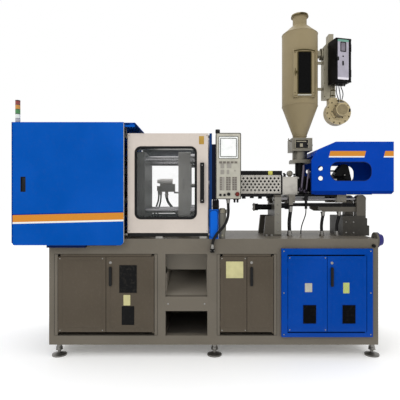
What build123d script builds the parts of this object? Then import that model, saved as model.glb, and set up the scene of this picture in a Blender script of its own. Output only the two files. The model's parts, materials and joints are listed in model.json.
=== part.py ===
from build123d import *
import math
import os

# Injection moulding machine, in millimetres.
# X runs along the machine, from the clamp end to the injection end. Y runs from the operator's side to the
# back, and Z is up. The origin is on the floor, under the middle of the machine.

# General sheet metal and fits
SHEET = 4.0
RUNNING_FIT = 0.06
SEAT_GAP = 0.3
DOOR_GAP = 5.0

# Base frame
BASE_LEFT = -1625.0
BASE_HALF_DEPTH = 550.0
DECK_TOP = 1182.0
DECK_PLATE = 25.0
BEAM_HEIGHT = 127.0
RAIL_BOTTOM = 123.0
RAIL_HEIGHT = 91.0
POST_DEPTH = 80.0
CROSS_BEAM_HEIGHT = 60.0
BEARER_HEIGHT = 40.0
LEFT_POST_WIDTH = 85.0
LEFT_BAY_WIDTH = 969.0
CHUTE_POST_WIDTH = 109.0
CHUTE_BAY_WIDTH = 420.0
MIDDLE_POST_WIDTH = 98.0
MIDDLE_BAY_WIDTH = 581.0
BLUE_POST_WIDTH = 57.0
BLUE_BAY_WIDTH = 905.0
RIGHT_POST_WIDTH = 68.0
BED_RAIL_Y = 275.0
BED_RAIL_WIDTH = 60.0
DROP_WIDTH = 280.0
DROP_HALF_DEPTH = 225.0

# Levelling feet
FOOT_RADIUS = 72.0
FOOT_HEIGHT = 26.0
FOOT_STEM_RADIUS = 15.0
FOOT_NUT_RADIUS = 26.0
FOOT_NUT_HEIGHT = 22.0
FOOT_INSET = 56.0

# Cabinet doors
DOOR_THICKNESS = 22.0
DOOR_SKIN = 3.0
DOOR_PROUD = 6.0
DOOR_BOTTOM = 251.0
DOOR_TOP = 1002.0
LEAF_GAP = 4.0
PIVOT_INSET = 8.0
PIVOT_RADIUS = 5.0
PIVOT_LENGTH = 12.0
PIVOT_EAR = 10.0
DOOR_BEAD = 4.0
DOOR_BEAD_INSET = 36.0
BLUE_FRAME_PROUD = 35.0
BLUE_FRAME_BORDER = 58.0
BLUE_FRAME_BOTTOM = 210.0
BLUE_FRAME_TOP = 1086.0
HANDLE_LENGTH = 193.0
HANDLE_WIDTH = 28.0
HANDLE_PROUD = 18.0
HANDLE_GRIP = 12.0
LEVER_DROP = 112.0
LEVER_OFFSET = 46.0
SPINDLE_RADIUS = 8.0
KEEPER_RADIUS = 20.0
KEEPER_THICKNESS = 5.0
LOUVRE_PITCH = 23.0
LOUVRE_DEPTH = 5.0
LOUVRE_SHEET = 1.5
PIVOT_BOSS = 20.0
LEAF_END_GAP = 2.0
LEFT_FILLER = 26.0
RIGHT_FILLER = 14.0
FILLER_DEPTH = 30.0
STRIP_INSET = 30.0
STRIP_DEPTH = 20.0
BLUE_FRAME_SILL = 40.0
LEFT_VENT_OFFSET = 134.0
LEFT_VENT_WIDTH = 175.0
LEFT_VENT_TOP = 920.0
LEFT_VENT_HEIGHT = 276.0
BLUE_VENT_OFFSET = 148.0
BLUE_VENT_WIDTH = 130.0
BLUE_VENT_BOTTOM = 346.0
BLUE_VENT_HEIGHT = 184.0

# Product chute
CHUTE_LIP_TOP = 602.0
CHUTE_LIP_BOTTOM = 460.0
CHUTE_BACK_TOP = 768.0
CHUTE_WALL_TOP = 1023.0
FUNNEL_FOOT = 820.0

# Clamp unit, with the mould face of the fixed platen as its datum
MOULD_FACE_X = -344.0
AXIS_RISE = 553.0
DAYLIGHT = 355.0
FIXED_PLATEN_THICKNESS = 127.0
MOVING_PLATEN_THICKNESS = 117.0
END_PLATEN_THICKNESS = 130.0
END_PLATEN_X = -1560.0
PLATEN_HALF_DEPTH = 330.0
PLATEN_HALF_HEIGHT = 344.0
PLATEN_CORNER = 24.0
TIE_BAR_RADIUS = 30.0
TIE_BAR_Y = 255.0
TIE_BAR_Z = 275.0
TIE_NUT_RADIUS = 54.0
TIE_NUT_LENGTH = 52.0
WAY_HEIGHT = 20.0
LEG_WIDTH = 60.0
MOULD_BOLT_Y = 280.0
MOULD_BOLT_Z = 350.0
MOULD_BOLT_RADIUS = 8.0
MOULD_BOLT_DEPTH = 45.0
LOCATING_BORE_RADIUS = 50.0
LOCATING_BORE_DEPTH = 20.0
NOZZLE_WELL_RADIUS = 75.0
RAM_RADIUS = 120.0
RAM_FLANGE_RADIUS = 165.0
RAM_FLANGE_THICKNESS = 30.0
CYLINDER_RADIUS = 185.0
CYLINDER_FLANGE_RADIUS = 235.0
CYLINDER_FLANGE_THICKNESS = 45.0
CYLINDER_CLEARANCE = 30.0
RAM_BEHIND_GLAND = 420.0
SPACER_LENGTH = 84.0
SPACER_WEB_Y = 112.0
SPACER_WEB_THICKNESS = 38.0
EJECTOR_ROD_RADIUS = 12.0
EJECTOR_ROD_PITCH = 100.0
EJECTOR_PLATE_THICKNESS = 18.0
EJECTOR_PLATE_MARGIN = 35.0
EJECTOR_PLATE_CORNER = 15.0
EJECTOR_PISTON_RADIUS = 20.0
EJECTOR_BORE_DEPTH = 110.0
EJECTOR_SIDE_GAP = 12.0
EJECTOR_STANDOFF = 6.0
LEG_INSET = 8.0
NOZZLE_CLEARANCE = 6.0
PLATEN_SLOT_INSET = 45.0
PLATEN_SLOT_WIDTH = 22.0
PLATEN_SLOT_DEPTH = 14.0
PLATEN_SLOT_HEIGHT = 106.0
SPACER_WEB_HEIGHT = 300.0
CYLINDER_BOLTS = 12
CYLINDER_BOLT_RADIUS = 14.0
CYLINDER_BOLT_HEAD = 16.0
CYLINDER_NECK_TAPER = 20.0
GLAND_RING_LENGTH = 70.0
GLAND_RING_RADIUS = 207.0

# Equipment inside the cabinets
TANK_MARGIN = 60.0
TANK_HALF_DEPTH = 340.0
TANK_HEIGHT = 330.0
TANK_LID = 8.0
PUMP_MOTOR_RADIUS = 130.0
PUMP_MOTOR_LENGTH = 400.0
FILTER_RADIUS = 78.0
FILTER_LENGTH = 75.0
FILTER_INSET = 95.0
FILTER_DROP = 20.0
RACK_PLATE = 6.0
RACK_ROWS = 3
RACK_COLUMNS = 5
RACK_PITCH = 210.0
RACK_OVERLAP = 20.0
RACK_RISE = 110.0
RACK_MARGIN = 70.0
RACK_DUCT_MARGIN = 60.0
RACK_DUCT_DEPTH = 45.0
RACK_DUCT_HEIGHT = 40.0
SWITCH_WIDTH = 70.0
SWITCH_HEIGHT = 90.0
SWITCH_DEPTH = 80.0
SWITCH_STEP = 15.0

# Guards round the clamp
COVER_LEFT = -1968.0
COVER_BOTTOM_RISE = -57.0
COVER_TOP_RISE = 1154.0
GUARD_PROUD = 70.0
GUARD_THICKNESS = 20.0
GUARD_WIDTH = 1100.0
GUARD_CHAMFER = 26.0
ROOF_OVERHANG = 109.0
ROOF_SLOPE_RUN = 85.0
ROOF_SLOPE_DROP = 94.0
GRIP_LEFT = 88.0
GRIP_WIDTH = 50.0
GRIP_BOTTOM_RISE = 468.0
GRIP_HEIGHT = 149.0
GRIP_DEPTH = 14.0

# Sliding gates
GATE_LEFT = -846.0
GATE_WIDTH = 815.0
GATE_BOTTOM_RISE = 56.0
GATE_HEIGHT = 1000.0
GATE_INSET = 5.0
GATE_THICKNESS = 35.0
GATE_SKIN = 3.0
WINDOW_LEFT_MARGIN = 83.0
WINDOW_WIDTH = 608.0
WINDOW_BOTTOM_MARGIN = 146.0
WINDOW_HEIGHT = 716.0
WINDOW_CORNER = 55.0
PANE_THICKNESS = 6.0
GATE_HANDLE_HEIGHT = 401.0
GATE_HANDLE_WIDTH = 41.0
GATE_HANDLE_REACH = 45.0
GATE_HANDLE_MARGIN = 43.0
TOP_RAIL_HEIGHT = 26.0
TOP_RAIL_DEPTH = 26.0
LOW_RAIL_HEIGHT = 20.0

# Portal beside the gate, and the control panel on it
PORTAL_LEFT = -21.0
PORTAL_THICKNESS = 25.0
PORTAL_OPENING_HALF = 400.0
PORTAL_OPENING_RISE = 968.0
PANEL_LEFT = 42.0
PANEL_WIDTH = 252.0
PANEL_HEIGHT = 662.0
PANEL_BOTTOM_RISE = 396.0
PANEL_PROUD = 10.0
PANEL_DEPTH = 88.0
PANEL_PLATE_INSET = 26.0
PANEL_PLATE_DEPTH = 26.0
PANEL_PLATE_DROP = 110.0
SCREEN_MARGIN = 31.0
SCREEN_WIDTH = 190.0
SCREEN_HEIGHT = 215.0
KEY_DEPTH = 3.0
SCREEN_TOP = 38.0
SCREEN_RECESS = 8.0
PANEL_CORNER = 12.0
PANEL_EDGE = 5.0
CONTROL_DEPTH = 40.0
STOP_MARGIN = 38.0
STOP_RISE = 50.0
STOP_STEM_RADIUS = 11.0
STOP_STEM_LENGTH = 44.0
STOP_RADIUS = 20.0
STOP_TRAVEL = 6.0
SELECTOR_MARGIN = 128.0
SELECTOR_RADIUS = 17.0
SELECTOR_RIDGE = 8.0
STACK_INSET = 34.0
STACK_RADIUS = 24.0
STACK_FOOT = 12.0
STACK_TIER = 54.0
INTERLOCK_WIDTH = 87.0
INTERLOCK_DEPTH = 60.0
INTERLOCK_HEIGHT = 293.0
PLUG_INSET = 4.0
PLUG_RIGHT = 95.0
PLUG_SETBACK = 5.0
PLUG_DEPTH = 40.0
PLUG_HEIGHT = 93.0
BOWL_OFFSET = 130.0
BOWL_FOOT_RADIUS = 30.0
BOWL_RADIUS = 40.0
BOWL_HEAD_RADIUS = 46.0
BOWL_FOOT_HEIGHT = 60.0
BOWL_TAPER = 30.0
BOWL_HEAD_HEIGHT = 38.0
BOWL_HEAD_TAPER = 5.0
GLAND_RADIUS = 20.0
GLAND_PROUD = 40.0
GLAND_RISE = 20.0

# Rails of the guards
GUARD_RAIL_GAP = 8.0
GUARD_RAIL_DEPTH = 10.0
GUARD_RAIL_HEIGHT = 20.0
GUARD_RAIL_DROP = 18.0
SHOE_LENGTH = 60.0
SHOE_HEIGHT = 10.0
SHOE_SPACING = 560.0
SHOE_START = 60.0
SHOE_INSET = 45.0
HANGER_WIDTH = 40.0
HANGER_THICKNESS = 8.0
HANGER_X = (-1950.0, -1300.0, -810.0)
GUIDE_LENGTH = 380.0
GUIDE_DROP = 24.0
GATE_RAIL_DROP = 14.0
GATE_RAIL_GAP = 10.0
GATE_HANGER_X = (-1700.0, -900.0)
GATE_TRAVEL = 600.0
GATE_EDGE = 12.0
LOW_RAIL_GAP = 2.0
LOW_BRACKET_X = (-1440.0, -1000.0, -560.0, -120.0)
LOW_BRACKET_WIDTH = 70.0
PANE_INSET = 6.0
PORTAL_SILL = 60.0
GATE_HANDLE_OVERLAP = -43.0
GATE_HANDLE_RISE = 302.0
GATE_HANDLE_GRIP = 16.0
GATE_HANDLE_FOOT = 45.0

# Core-pull valve and the points where its hoses leave it
VALVE_X = (-645.0, -416.0)
VALVE_DEPTH = 100.0
VALVE_INSET = 80.0
VALVE_Z = (1652.0, 1857.0)
VALVE_BRACKET_INSET = 10.0
VALVE_BRACKET_PLATE = 30.0
HOSE_OUTLETS = ((-627.0, 1660.0), (-600.0, 1652.0), (-530.0, 1645.0))

# Injection unit, on guide rods between a front and a rear support
ROD_RADIUS = 20.0
ROD_Y = 175.0
ROD_DROP = 154.0
FRONT_SUPPORT_X = 691.0
FRONT_SUPPORT_WIDTH = 74.0
REAR_SUPPORT_X = 1581.0
REAR_SUPPORT_WIDTH = 98.0
SUPPORT_HEAD = 45.0
BUSH_RADIUS = 40.0
FRONT_BUSH_X = 845.0
FRONT_BUSH_LENGTH = 70.0
REAR_BUSH_X = 1370.0
REAR_BUSH_LENGTH = 100.0
CARRIAGE_TOP_DROP = 108.0
CARRIAGE_RIGHT = 1470.0
BLOCK_LEFT = 960.0
BLOCK_LENGTH = 140.0
BLOCK_HALF_DEPTH = 110.0
BLOCK_HALF_HEIGHT = 100.0
THROAT_COVER_HALF_DEPTH = 128.0
BARREL_RADIUS = 52.0
BARREL_NOSE_X = -110.0
NOZZLE_RADIUS = 22.0
NOZZLE_LENGTH = 130.0
HEATER_RADIUS = 62.0
HEATER_WIDTH = 150.0
HEATER_GAP = 26.0
HEATER_COUNT = 4
SCREW_RADIUS = 20.0
SCREW_ROOT_RADIUS = 14.0
BARREL_GUARD_LEFT = 60.0
BARREL_GUARD_RIGHT = 777.0
BARREL_GUARD_HALF = 130.0
BARREL_GUARD_BOTTOM_DROP = 93.0
BARREL_GUARD_TOP_RISE = 110.0
BARREL_GUARD_SHEET = 2.0
PERFORATION_RADIUS = 8.5
PERFORATION_PITCH = 43.0
PERFORATION_ROW = 33.0
PERFORATION_ROWS = 5
INJECTION_PLATE_X = 1330.0
INJECTION_PLATE_THICKNESS = 50.0
INJECTION_CYLINDER_RADIUS = 42.0
INJECTION_CYLINDER_LENGTH = 105.0
INJECTION_ROD_RADIUS = 18.0
INJECTION_ROD_Y = 135.0
MOTOR_RADIUS = 120.0
MOTOR_LENGTH = 105.0
COVER_HALF_DEPTH = 250.0
MOTOR_COVER_LEFT = 1086.0
MOTOR_COVER_RIGHT = 1968.0
MOTOR_COVER_BOTTOM_DROP = 101.0
MOTOR_COVER_TOP_RISE = 463.0
MOTOR_WINDOW_LEFT = 1284.0
MOTOR_WINDOW_WIDTH = 444.0
MOTOR_WINDOW_BOTTOM_RISE = 41.0
MOTOR_WINDOW_HEIGHT = 204.0
MOTOR_WINDOW_CORNER = 85.0
COVER_HOLE_RADIUS = 27.0
TRAVERSE_RADIUS = 31.0
TRAVERSE_ROD_RADIUS = 14.0
TRAVERSE_DROP = 244.0
TRAVERSE_LEFT = 502.0
TRAVERSE_CAP = 20.0
SUPPORT_GAP = 115.0
GUSSET_LENGTH = 116.0
GUSSET_HEIGHT = 215.0
GUSSET_WIDTH = 50.0
REAR_BLOCK_HEIGHT = 180.0
REAR_FOOT_LENGTH = 150.0
REAR_FOOT_HEIGHT = 215.0
ARM_LENGTH = 400.0
ARM_DROP = 70.0
ARM_HEIGHT = 68.0
ARM_WIDTH = 50.0
CARRIAGE_FORWARD = 75.0
FLANGE_THICKNESS = 16.0
NOZZLE_ORIFICE = 4.0
NOSE_WALL = 25.0
INJECTION_STROKE = 100.0
ROD_ENGAGED = 15.0
RING_WIDTH = 20.0
DUCT_HEIGHT = 50.0
THROAT_COVER_DROP = 106.0
THROAT_COVER_RISE = 93.0
MOTOR_RISE = 238.0
MOTOR_HOUSING_HALF = 60.0
MOTOR_SHOULDER = 30.0
MOTOR_BEARING_LENGTH = 70.0
MOTOR_BEARING_EDGE = 10.0
MOTOR_HOUSING_FOOT = (0.0, 40.0)
MOTOR_HOUSING_FLANK = ((20.0, 130.0), (80.0, 215.0))
MOTOR_HOUSING_CREST = (110.0, 150.0)
MOTOR_HOUSING_BACK = ((172.0, 205.0), (205.0, 60.0), (190.0, 20.0))
MOTOR_PIPE_RADIUS = 9.0
MOTOR_PIPE_RISE = 165.0
MOTOR_PIPE_BEND = 32.0
MOTOR_PIPE_FOOT = 75.0
MOTOR_PIPE_OVERHANG = 8.0
MOTOR_PIPE_CROWN = 5.0
MOTOR_PIPE_DEPTH = 60.0
COVER_CHAMFER = 26.0
COVER_HOLE_RISES = (68.0, 175.0)
COVER_HOLE_INSET = 94.0
COVER_FLANGE = 8.0
LOWER_BEAM_Y = 168.0
LOWER_BEAM_WIDTH = 34.0
LOWER_BEAM_DROP = 46.0
LOWER_BEAM_HEIGHT = 34.0
CARRIAGE_HOSE = (865.0, -213.0, 1500.0)
CARRIAGE_CABLE = (1028.0, -231.0, 1475.0)
HOSE_LUG_HEIGHT = 100.0
HOSE_LUG_HALF = 22.0
CABLE_LUG_HALF = 18.0

# Hopper dryer over the feed throat
HOPPER_X = 1018.0
HOPPER_RADIUS = 198.0
HOPPER_WALL = 3.0
HOPPER_CONE_BOTTOM = 2287.0
HOPPER_CYLINDER_BOTTOM = 2626.0
HOPPER_CYLINDER_TOP = 3440.0
HOPPER_NECK_BOTTOM = 3548.0
HOPPER_NECK_TOP = 3640.0
HOPPER_TOP = 3666.0
HOPPER_NECK_RADIUS = 78.0
HOPPER_RIM_RADIUS = 94.0
OUTLET_RADIUS = 74.0
HOPPER_DOOR_WIDTH = 236.0
HOPPER_DOOR_BOTTOM = 2707.0
HOPPER_DOOR_TOP = 3197.0
HOPPER_DOOR_FRONT = 212.0
HOPPER_DOOR_THICKNESS = 8.0
SIGHT_WIDTH = 146.0
SIGHT_HEIGHT = 456.0
MAGNET_BOX_SIZE = 226.0
MAGNET_BOX_BOTTOM = 2116.0
MAGNET_BOX_TOP = 2259.0
THROAT_NECK_RADIUS = 82.0
THROAT_PLATE_SIZE = 200.0
THROAT_PLATE_BOTTOM = 1985.0
THROAT_PLATE_TOP = 2021.0
THROAT_RADIUS = 32.0
HOT_AIR_Z = 3242.0
HOT_AIR_RADIUS = 66.0
CASING_LEFT = 1290.0
CASING_WIDTH = 72.0
CASING_BOTTOM = 2721.0
CASING_TOP = 3458.0
CASING_DEPTH = 100.0
DRYER_COLUMN_X = 1400.0
DRYER_COLUMN_Y = 50.0
DRYER_COLUMN_RADIUS = 40.0
DRYER_ARM_HALF = 20.0
BLOWER_X = 1459.0
BLOWER_Z = 2571.0
BLOWER_RADIUS = 142.0
BLOWER_HALF_DEPTH = 52.0
BLOWER_MOTOR_RADIUS = 68.0
BLOWER_MOTOR_LENGTH = 130.0
DRYER_BOX_WIDTH = 180.0
DRYER_BOX_DEPTH = 160.0
DRYER_BOX_BOTTOM = 2870.0
DRYER_BOX_TOP = 3350.0
DRYER_BOX_X = 1444.0
DRYER_BOX_Y = -72.0
DRYER_BOX_YAW = 13.0
DRYER_BOX_WALL = 3.0
DRYER_DOOR_THICKNESS = 16.0
DRYER_PANEL_MARGIN = 16.0
DRYER_CABLES = ((1418.0, -14.0), (1440.0, 4.0), (1462.0, 20.0))
HINGE_RADIUS = 6.0
HINGE_PIN_RADIUS = 3.0
HINGE_LENGTH = 80.0
DOOR_FRAME_MARGIN = 16.0

# Hoses and cables
CORE_HOSES = ((-685.0, -22.0, 10.0), (-652.0, -14.0, 10.0), (-330.0, 24.0, 16.0))
DRIVE_HOSES = ((1228.0, 1215.0, -8.0), (1403.0, 1380.0, -10.0))
DRIVE_HOSE_RADIUS = 17.0
CARRIAGE_HOSE_RADIUS = 20.0
CARRIAGE_CABLE_RADIUS = 6.0
CONDUIT_RADIUS = 14.0
CONDUIT_OFFSET = 126.0
CONDUIT_INSET = 44.0
CONDUIT_END = (-161.0, -62.0, -490.0)
CONDUIT_LIFT = 52.0
DRYER_CABLE_RADIUS = 5.0

# Heights that follow the deck
DECK_BOTTOM = DECK_TOP - DECK_PLATE
BEAM_BOTTOM = DECK_BOTTOM - BEAM_HEIGHT
RAIL_TOP = RAIL_BOTTOM + RAIL_HEIGHT
AXIS_Z = DECK_TOP + AXIS_RISE
COVER_BOTTOM = DECK_TOP + COVER_BOTTOM_RISE
COVER_TOP = DECK_TOP + COVER_TOP_RISE
GATE_BOTTOM = DECK_TOP + GATE_BOTTOM_RISE
GATE_TOP = GATE_BOTTOM + GATE_HEIGHT
PANEL_BOTTOM = DECK_TOP + PANEL_BOTTOM_RISE
ROD_Z = AXIS_Z - ROD_DROP

# Places along and across the base
LEFT_BAY = (BASE_LEFT + LEFT_POST_WIDTH, BASE_LEFT + LEFT_POST_WIDTH + LEFT_BAY_WIDTH)
CHUTE_BAY = (LEFT_BAY[1] + CHUTE_POST_WIDTH, LEFT_BAY[1] + CHUTE_POST_WIDTH + CHUTE_BAY_WIDTH)
MIDDLE_BAY = (CHUTE_BAY[1] + MIDDLE_POST_WIDTH, CHUTE_BAY[1] + MIDDLE_POST_WIDTH + MIDDLE_BAY_WIDTH)
BLUE_BAY = (MIDDLE_BAY[1] + BLUE_POST_WIDTH, MIDDLE_BAY[1] + BLUE_POST_WIDTH + BLUE_BAY_WIDTH)
BASE_RIGHT = BLUE_BAY[1] + RIGHT_POST_WIDTH
FRONT_POST_Y = (-BASE_HALF_DEPTH, POST_DEPTH - BASE_HALF_DEPTH)
REAR_POST_Y = (BASE_HALF_DEPTH - POST_DEPTH, BASE_HALF_DEPTH)
INNER_Y = (FRONT_POST_Y[1], REAR_POST_Y[0])
GUARD_FRONT = BASE_HALF_DEPTH + GUARD_PROUD
GATE_FRONT = BASE_HALF_DEPTH - GATE_INSET
PANEL_FRONT = BASE_HALF_DEPTH + PANEL_PROUD
FILTER_Y = FILTER_INSET - BASE_HALF_DEPTH
VALVE_Y = (BASE_HALF_DEPTH - VALVE_INSET - VALVE_DEPTH, BASE_HALF_DEPTH - VALVE_INSET)
HOSE_Y = (VALVE_Y[0] + VALVE_Y[1]) / 2

# Places at the portal: the conduit leaves the panel at its start, and its end is given from there
PORTAL_RIGHT = PORTAL_LEFT + PORTAL_THICKNESS
CONDUIT_START = (PANEL_LEFT + CONDUIT_OFFSET, CONDUIT_INSET - PANEL_FRONT, PANEL_BOTTOM)

# Places along the clamp axis
FIXED_PLATEN_RIGHT = MOULD_FACE_X + FIXED_PLATEN_THICKNESS
MOVING_FACE_X = MOULD_FACE_X - DAYLIGHT
MOVING_BACK_X = MOVING_FACE_X - MOVING_PLATEN_THICKNESS
SPACER_BACK_X = MOVING_BACK_X - SPACER_LENGTH
RAM_FACE_X = SPACER_BACK_X - RAM_FLANGE_THICKNESS
GLAND_X = RAM_FACE_X - CYLINDER_CLEARANCE
RAM_END_X = GLAND_X - RAM_BEHIND_GLAND
END_PLATEN_RIGHT = END_PLATEN_X + END_PLATEN_THICKNESS
EJECTOR_PLATE_X = SPACER_BACK_X + EJECTOR_STANDOFF


def group(*shapes):
    """Several separate solids that make one sub-part."""
    return Compound(children=[solid for shape in shapes for solid in shape.solids()])


def block(x, y, z):
    """A box between pairs of coordinates."""
    middle = [(pair[0] + pair[1]) / 2 for pair in (x, y, z)]
    size = [pair[1] - pair[0] for pair in (x, y, z)]
    return Pos(*middle) * Box(*size)


def bar_x(x, y, z, radius):
    """A round bar along X."""
    return Pos((x[0] + x[1]) / 2, y, z) * Rot(0, 90, 0) * Cylinder(radius, x[1] - x[0])


def bar_y(x, y, z, radius):
    """A round bar along Y."""
    return Pos(x, (y[0] + y[1]) / 2, z) * Rot(90, 0, 0) * Cylinder(radius, y[1] - y[0])


def bar_z(x, y, z, radius):
    """A round bar along Z."""
    return Pos(x, y, (z[0] + z[1]) / 2) * Cylinder(radius, z[1] - z[0])


def side_profile(points, y):
    """An outline in X and Z, carried across the machine between two Y values."""
    face = make_face(Polyline(*[(px, y[0], pz) for px, pz in points], close=True))
    return extrude(face, amount=y[1] - y[0], dir=(0, 1, 0))


def end_profile(points, x):
    """An outline in Y and Z, carried along the machine between two X values."""
    face = make_face(Polyline(*[(x[0], py, pz) for py, pz in points], close=True))
    return extrude(face, amount=x[1] - x[0], dir=(1, 0, 0))


def top_profile(points, z):
    """An outline in X and Y, carried up between two Z values."""
    face = make_face(Polyline(*[(px, py, z[0]) for px, py in points], close=True))
    return extrude(face, amount=z[1] - z[0], dir=(0, 0, 1))


def turned_x(points, y, z):
    """A turned piece on an axis along X: points give X and radius."""
    face = make_face(Polyline(*[(px, y, z + radius) for px, radius in points], close=True))
    return revolve(face, Axis((0, y, z), (1, 0, 0)))


def turned_z(points, x, y):
    """A turned piece on an upright axis: points give radius and Z."""
    face = make_face(Polyline(*[(x + radius, y, pz) for radius, pz in points], close=True))
    return revolve(face, Axis((x, y, 0), (0, 0, 1)))


def grown(pair, amount):
    """A pair of coordinates moved apart by an amount at each end."""
    return (pair[0] - amount, pair[1] + amount)


def window_block(x, y, z, corner):
    """A box across the machine with rounded corners in the side view."""
    solid = block(x, y, z)
    return fillet(solid.edges().filter_by(Axis.Y), corner)


def route(points, radius, name):
    """A round hose along straight runs with tangent arcs as large as the runs allow."""
    corners = []
    for before, corner, after in zip(points, points[1:], points[2:]):
        first = Vector(*corner) - Vector(*before)
        second = Vector(*after) - Vector(*corner)
        turn = math.radians(first.get_angle(second))
        corners.append(0.45 * min(first.length, second.length) / math.tan(turn / 2))
    path = FilletPolyline(*points, radius=corners)
    print(name, "length", round(path.length, 1), "radii", [round(size, 1) for size in corners])
    start = Vector(*points[0])
    section = Plane(start, z_dir=Vector(*points[1]) - start) * Circle(radius)
    tube = sweep(section, path=path)
    straight = math.pi * radius**2 * path.length
    print(name, "volume over section times length", round(tube.volume / straight, 5))
    return tube


# Base frame and what stands in it

POSTS = [
    (BASE_LEFT, LEFT_BAY[0]),
    (LEFT_BAY[1], CHUTE_BAY[0]),
    (CHUTE_BAY[1], MIDDLE_BAY[0]),
    (MIDDLE_BAY[1], BLUE_BAY[0]),
    (BLUE_BAY[1], BASE_RIGHT),
]
FOOT_X = [BASE_LEFT + FOOT_INSET + 28, (CHUTE_BAY[1] + MIDDLE_BAY[0]) / 2 + 24, BASE_RIGHT - FOOT_INSET + 15]
FOOT_Y = [FOOT_INSET - BASE_HALF_DEPTH, BASE_HALF_DEPTH - FOOT_INSET]
DROP_X = (MOULD_FACE_X - 16 - DROP_WIDTH, MOULD_FACE_X - 16)
BED_RAILS_Y = [
    (-BED_RAIL_Y - BED_RAIL_WIDTH / 2, -BED_RAIL_Y + BED_RAIL_WIDTH / 2),
    (BED_RAIL_Y - BED_RAIL_WIDTH / 2, BED_RAIL_Y + BED_RAIL_WIDTH / 2),
]


def base_frame():
    """Welded beams, posts and bed rails, the deck plate on them and the hardened ways on the deck."""
    whole = (BASE_LEFT, BASE_RIGHT)
    members = []
    for y in (FRONT_POST_Y, REAR_POST_Y):
        rail = block(whole, y, (RAIL_BOTTOM, RAIL_TOP))
        foot_y = FOOT_Y[0] if y[0] < 0 else FOOT_Y[1]
        for x in FOOT_X:
            rail -= bar_z(x, foot_y, (RAIL_BOTTOM, RAIL_TOP), FOOT_STEM_RADIUS + SEAT_GAP)
        members.append(rail)
        members.append(block(whole, y, (BEAM_BOTTOM, DECK_BOTTOM)))
        for post in POSTS:
            members.append(block(post, y, (RAIL_TOP, BEAM_BOTTOM)))
    for post in POSTS:
        members.append(block(post, INNER_Y, (RAIL_BOTTOM, RAIL_TOP)))
    for post in (POSTS[0], POSTS[2], POSTS[3], POSTS[4]):
        members.append(block(post, INNER_Y, (BEAM_BOTTOM, BEAM_BOTTOM + CROSS_BEAM_HEIGHT)))
    for y in BED_RAILS_Y:
        members.append(block(whole, y, (BEAM_BOTTOM + CROSS_BEAM_HEIGHT, DECK_BOTTOM)))
    left_filler = (MIDDLE_BAY[0], MIDDLE_BAY[0] + LEFT_FILLER)
    right_filler = (MIDDLE_BAY[1] - RIGHT_FILLER, MIDDLE_BAY[1])
    for filler in (left_filler, right_filler):
        filler_y = (FRONT_POST_Y[0], FRONT_POST_Y[0] + FILLER_DEPTH)
        members.append(block(filler, filler_y, (RAIL_TOP, BEAM_BOTTOM)))
    for y in BED_RAILS_Y:
        members.append(block(BLUE_BAY, y, (RAIL_TOP - BEARER_HEIGHT, RAIL_TOP)))
    deck = block(whole, (-BASE_HALF_DEPTH, BASE_HALF_DEPTH), (DECK_BOTTOM, DECK_TOP))
    deck -= block(DROP_X, (-DROP_HALF_DEPTH, DROP_HALF_DEPTH), (DECK_BOTTOM, DECK_TOP))
    members.append(deck)
    for y in BED_RAILS_Y:
        members.append(block((END_PLATEN_X, FIXED_PLATEN_RIGHT), y, (DECK_TOP, DECK_TOP + WAY_HEIGHT)))
    return group(*members)


def levelling_feet():
    """Round pads on threaded stems, with lock nuts under the bottom rails."""
    feet = []
    outline = [
        (0, 0),
        (FOOT_RADIUS, 0),
        (FOOT_RADIUS, FOOT_HEIGHT * 0.55),
        (FOOT_RADIUS * 0.45, FOOT_HEIGHT),
        (FOOT_STEM_RADIUS, FOOT_HEIGHT + 6),
        (FOOT_STEM_RADIUS, RAIL_BOTTOM - FOOT_NUT_HEIGHT),
        (FOOT_NUT_RADIUS, RAIL_BOTTOM - FOOT_NUT_HEIGHT),
        (FOOT_NUT_RADIUS, RAIL_BOTTOM),
        (FOOT_STEM_RADIUS, RAIL_BOTTOM),
        (FOOT_STEM_RADIUS, RAIL_TOP),
        (0, RAIL_TOP),
    ]
    for x in FOOT_X:
        for y in FOOT_Y:
            feet.append(turned_z(outline, x, y))
    return group(*feet)


def closing_panels():
    """Flat sheets that close the back and the two ends of the base."""
    height = (RAIL_TOP, BEAM_BOTTOM)
    back = (BASE_HALF_DEPTH - SHEET, BASE_HALF_DEPTH)
    panels = [block(bay, back, height) for bay in (LEFT_BAY, CHUTE_BAY, MIDDLE_BAY, BLUE_BAY)]
    panels.append(block((BASE_LEFT, BASE_LEFT + SHEET), INNER_Y, (RAIL_TOP, BEAM_BOTTOM)))
    panels.append(block((BASE_RIGHT - SHEET, BASE_RIGHT), INNER_Y, (RAIL_TOP, BEAM_BOTTOM)))
    return group(*panels)


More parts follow.
